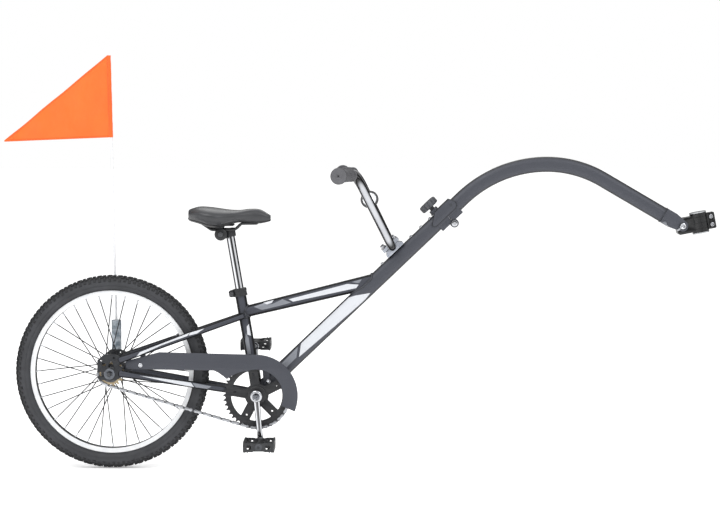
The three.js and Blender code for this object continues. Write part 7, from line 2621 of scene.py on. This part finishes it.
@dataclass
class SafetyFlag:
    """The galvanised holder, the white pole and the orange pennant."""

    holder_radius: float = 12.8
    holder_heights: Pair = (44.5, 127.5)
    plate_faces: Pair = (60.3, 63.3)
    pole_radius: float = 3.1
    pole_top: float = 700
    foot: Pair = (-77, -7)
    flag_heights: Pair = (483.5, 698.5)
    reach: float = 282
    fold_depth: float = 11
    folds: float = 2.6
    slant: float = 1.2
    fade: float = 0.4
    tip_share: float = 0.015
    tip_drop: float = 6
    cloth: float = 0.9
    flat: Pair = (0.282, 0.215)

    def build_holder(self) -> None:
        """Rolls the socket and welds it on its bracket."""
        wheel = BIKE.wheel
        low, high = self.holder_heights
        blank = Blank()
        outline = arc(0, 0, 11, 180, 360, 18) + arc(5, high - 28, 6, 0, 90, 5) + arc(-5, high - 28, 6, 90,
                                                                                     180, 5)
        holes = [ring_of(0, 0, 5.3, 28), ring_of(0, 34, 3, 20)]
        blank.plate(wheel, outline, holes, *self.plate_faces, 0.5)
        radius = self.holder_radius
        inner = radius - 1.6
        blank.turn(wheel.at(0, BIKE.pole_out), wheel.up, [
            (low, 0.4), (low, radius - 0.8), (low + 0.8, radius), (high - 1.4, radius),
            (high - 0.4, radius - 0.2),
            (high, radius - 0.8), (high - 0.3, inner + 0.1), (high - 1, inner), (low + 3, inner),
            (low + 3, 0.4)], 48)
        for sign in (-1, 1):
            bead = wheel.at(sign * 5.2, 64, low + 3)
            for i in range(18):
                spot = bead + wheel.up * (i * 2.6)
                blank.turn(spot, wheel.up, [(-1.4, 1), (-0.8, 1.9), (0.8, 1.9), (1.4, 1)], 10)
        blank.fit("welded_flag_holder", "frame", Look.ZINC, "flag_holder")

    def build_pole(self) -> None:
        """Makes the pole and the plastic foot in its socket, with its top end eased."""
        pole = BIKE.pole
        blank = Blank()
        low, high = self.foot
        blank.turn(pole.origin, pole.up, [
            (low, 7), (low + 1.5, 8.6), (high - 2, 8.6), (high, 7.4), (high, self.pole_radius),
            (self.pole_top - 1, self.pole_radius), (self.pole_top, self.pole_radius - 0.9)], 28)
        blank.fit("white_flag_pole", "safety_flag", Look.WHITE, "flag_pole")

    def wave(self, out: float, up: float) -> float:
        """How far the cloth swings sideways.

        Args:
            out: From 0 at the pole to 1 at the tip.
            up: From 0 at the lower edge to 1 at the upper one.

        Returns:
            The distance to the left.
        """
        phase = 2 * math.pi * self.folds * out + self.slant * up
        broad = math.sin(phase) * self.fold_depth * out * (1 - self.fade * out)
        return broad * 0.82 + 0.5 * math.sin(phase * 2.7 + 5 * up) * min(out * 6, 1) * (1 - out)

    def cloth_point(self, out: float, up: float, lift: float) -> Vector:
        """A point of the pennant.

        Args:
            out: From 0 at the pole to 1 at the tip.
            up: From 0 at the lower edge to 1 at the upper one.
            lift: How far it lies to the left of the cloth's middle.

        Returns:
            The point.
        """
        low, high = self.flag_heights
        spread = (high - low) * (1 - (1 - self.tip_share) * out)
        return BIKE.pole.at(-5 - out * (self.reach - 5), self.wave(out, up) + lift,
                            low - self.tip_drop * out + up * spread)

    def build_flag(self) -> None:
        """Cuts the pennant, lets it hang in folds, and sews its sleeve and hems."""
        across, tall = 72, 28
        blank = Blank()
        half = self.cloth / 2
        for lift in (-half, half):
            blank.points.extend(self.cloth_point(i / across, j / tall, lift)
                                for i in range(across + 1) for j in range(tall + 1))
        count, size = (across + 1) * (tall + 1), tall + 1
        for i in range(across):
            for j in range(tall):
                a = i * size + j
                blank.faces += [[a, a + size, a + size + 1, a + 1],
                                [count + a, count + a + 1, count + a + size + 1, count + a + size]]
        rim = [i * size for i in range(across)] + [across * size + j for j in range(tall)]
        rim += [i * size + tall for i in range(across, 0, -1)] + list(range(tall, 0, -1))
        for a, b in zip(rim, rim[1:] + rim[:1]):
            blank.faces.append([a, b, count + b, count + a])
        blank.inks = [0] * len(blank.faces)
        made = blank.fit("orange_pennant", "safety_flag", Look.CLOTH, "flag", crease=60)
        low, high = self.flag_heights
        sleeve = Blank()
        section = []
        for i in range(40):
            angle = 2 * math.pi * i / 40
            pinch = 1 + 0.35 * max(0, -math.cos(angle)) ** 6
            section.append((math.cos(angle) * 4.6 * pinch, math.sin(angle) * 4.6))
        rings = []
        for i in range(31):
            height = low + (high - low) * i / 30
            swell = 1 + 0.045 * math.sin(i * 1.7) + 0.03 * math.sin(i * 0.6)
            rings.append([BIKE.pole.at(a * swell, b * swell, height) for a, b in section])
        sleeve.loft(rings)
        hem = self.hems()
        made_sleeve = sleeve.fit("pennant_sleeve", "safety_flag", Look.HEM, crease=60)
        mount(hem, "safety_flag", Look.HEM)
        long, tall = self.flat

    def hems(self) -> bpy.types.Object:
        """Sews the doubled hems along the pennant's two free edges.

        Returns:
            The hems as one piece.
        """
        blank = Blank()
        steps = 72
        for edge in (0, 1):
            rings = []
            for i in range(steps):
                out = i / steps
                low, high = self.flag_heights
                spread = (high - low) * (1 - (1 - self.tip_share) * out)
                share = min(6 / spread, 0.5)
                near, far = (0, share) if edge == 0 else (1, 1 - share)
                rings.append([self.cloth_point(out, near, -0.75), self.cloth_point(out, near, 0.75),
                              self.cloth_point(out, far, 0.75), self.cloth_point(out, far, -0.75)])
            blank.loft(rings)
        return blank.piece("pennant_hems", [Look.HEM], 50)

    def build(self) -> None:
        """Makes the whole flag."""
        self.build_holder()
        self.build_pole()
        self.build_flag()


@dataclass
class Studio:
    """The pale floor, the soft lights and the camera."""

    eye: tuple[float, float, float] = (-0.850, -4.600, 0.198)
    target: tuple[float, float, float] = (-0.881, 0, -0.101)
    lens: float = 88.5
    sensor: float = 36
    clips: Pair = (0.05, 200)
    floor_drop: float = 0.0005
    floor_radius: float = 60
    floor_glow: float = 0.3
    floor_middle: Pair = (-0.9, 0)
    lamp_target: tuple[float, float, float] = (-0.9, 0, -0.2)
    lamps: tuple[tuple[tuple[float, float, float], float, float], ...] = (
        ((-2.6, -2.4, 3), 2.6, 60),
        ((1.4, -2.8, 2.4), 2.2, 34),
        ((-0.8, 2.6, 2.8), 3.2, 40),
    )
    walls: tuple[Pair, ...] = ((-1, 0.1), (-0.95, 0.14), (-0.85, 0.95), (-0.2, 1), (0.2, 0.85), (0.42, 0.14),
                               (1, 0.06))
    ceiling: tuple[Pair, ...] = ((-1, 0), (0.35, 0), (0.6, 0.9), (1, 1))

    def build_floor(self) -> None:
        """Lays a wide pale disc just under the tyre."""
        mesh = bpy.data.meshes.new("studio_floor")
        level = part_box("tyre")[0].z - self.floor_drop
        disc = bmesh.new()
        bmesh.ops.create_circle(disc, cap_ends=True, segments=96, radius=self.floor_radius,
                                matrix=Matrix.Translation((*self.floor_middle, level)))
        disc.to_mesh(mesh)
        disc.free()
        floor = bpy.data.objects.new("studio_floor", mesh)
        bpy.context.scene.collection.objects.link(floor)
        recipe = Recipe("pale floor")
        recipe.tint(recipe.noise(0.6, 2), shade(250, 250, 250), shade(254, 254, 254), 0.4)
        recipe.vary(recipe.noise(4), "Roughness", 0.9, 1)
        recipe.shader.inputs["Specular IOR Level"].default_value = 0
        recipe.shader.inputs["Emission Color"].default_value = (1, 1, 1, 1)
        recipe.shader.inputs["Emission Strength"].default_value = self.floor_glow
        mesh.materials.append(recipe.material)

    def stand(self, name: str, data: bpy.types.ID, spot: tuple, target: tuple) -> bpy.types.Object:
        """Stands a lamp or the camera at a spot, turned to a target.

        Args:
            name: What it is called.
            data: The lamp or the camera.
            spot: Where it stands.
            target: What it is turned to.

        Returns:
            What now stands there.
        """
        made = bpy.data.objects.new(name, data)
        made.location = spot
        made.rotation_euler = (Vector(target) - Vector(spot)).to_track_quat("-Z", "Y").to_euler()
        bpy.context.scene.collection.objects.link(made)
        return made

    def build_lamps(self) -> None:
        """Hangs the soft lamps."""
        for i, (spot, size, power) in enumerate(self.lamps):
            lamp = bpy.data.lights.new(f"soft_lamp_{i}", "AREA")
            lamp.shape, lamp.size, lamp.energy = "DISK", size, power
            self.stand(lamp.name, lamp, spot, self.lamp_target)

    def build_room(self) -> None:
        """Sets the even light of the room: plain white behind, with dark and pale walls in the chrome."""
        world = bpy.data.worlds.new("studio")
        world.use_nodes = True
        tree = world.node_tree
        tree.nodes.clear()
        facing = add_node(tree, "ShaderNodeTexCoord", {}).outputs["Generated"]
        parts = add_node(tree, "ShaderNodeSeparateXYZ", {0: facing})
        shades = {}
        for i, (axis, steps) in enumerate((("Y", self.walls), ("Z", self.ceiling))):
            scaled = add_node(tree, "ShaderNodeMapRange", {"Value": parts.outputs[axis], "From Min": -1})
            ramp = add_node(tree, "ShaderNodeValToRGB", {0: scaled.outputs[0]})
            spots = ramp.color_ramp.elements
            spots.remove(spots[1])
            spots[0].position, spots[0].color = 0, (*[steps[0][1]] * 3, 1)
            for place, light in steps[1:]:
                spots.new((place + 1) / 2).color = (light, light, light, 1)
            shades[i] = ramp.outputs[0]
        brighter = add_node(tree, "ShaderNodeMath", shades, operation="MAXIMUM").outputs[0]
        room = add_node(tree, "ShaderNodeBackground", {"Color": brighter})
        bright = add_node(tree, "ShaderNodeBackground", {"Color": (1, 1, 1, 1)})
        seen = add_node(tree, "ShaderNodeLightPath", {}).outputs["Is Camera Ray"]
        mix = add_node(tree, "ShaderNodeMixShader", {0: seen, 1: room.outputs[0], 2: bright.outputs[0]})
        add_node(tree, "ShaderNodeOutputWorld", {"Surface": mix.outputs[0]})
        bpy.context.scene.world = world

    def build_camera(self) -> None:
        """Stands the camera where the photograph was taken from."""
        camera = bpy.data.cameras.new("camera")
        camera.lens, camera.sensor_width = self.lens, self.sensor
        camera.clip_start, camera.clip_end = self.clips
        bpy.context.scene.camera = self.stand("camera", camera, self.eye, self.target)

    def build(self) -> None:
        """Sets up the studio."""
        self.build_camera()
        self.build_floor()
        self.build_lamps()
        self.build_room()
        bpy.context.scene.view_settings.view_transform = "Standard"


def write_sizes() -> None:
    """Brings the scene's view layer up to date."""
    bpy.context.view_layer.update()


def main() -> None:
    """Builds the studio and every sub-assembly in order, and reports each one."""
    logging.basicConfig(level=logging.INFO, format="%(name)s: %(message)s")
    for maker in (Studio(), RearFrame(), Wheel(), Drive(), Chainguard(), Seat(), SteeringBar(), Fold(),
                  TowArm(), Hitch(), SafetyFlag()):
        maker.build()
        log.info("%s is ready, %d objects so far", type(maker).__name__, len(bpy.data.objects))
    write_sizes()


if __name__ == "__main__":
    main()
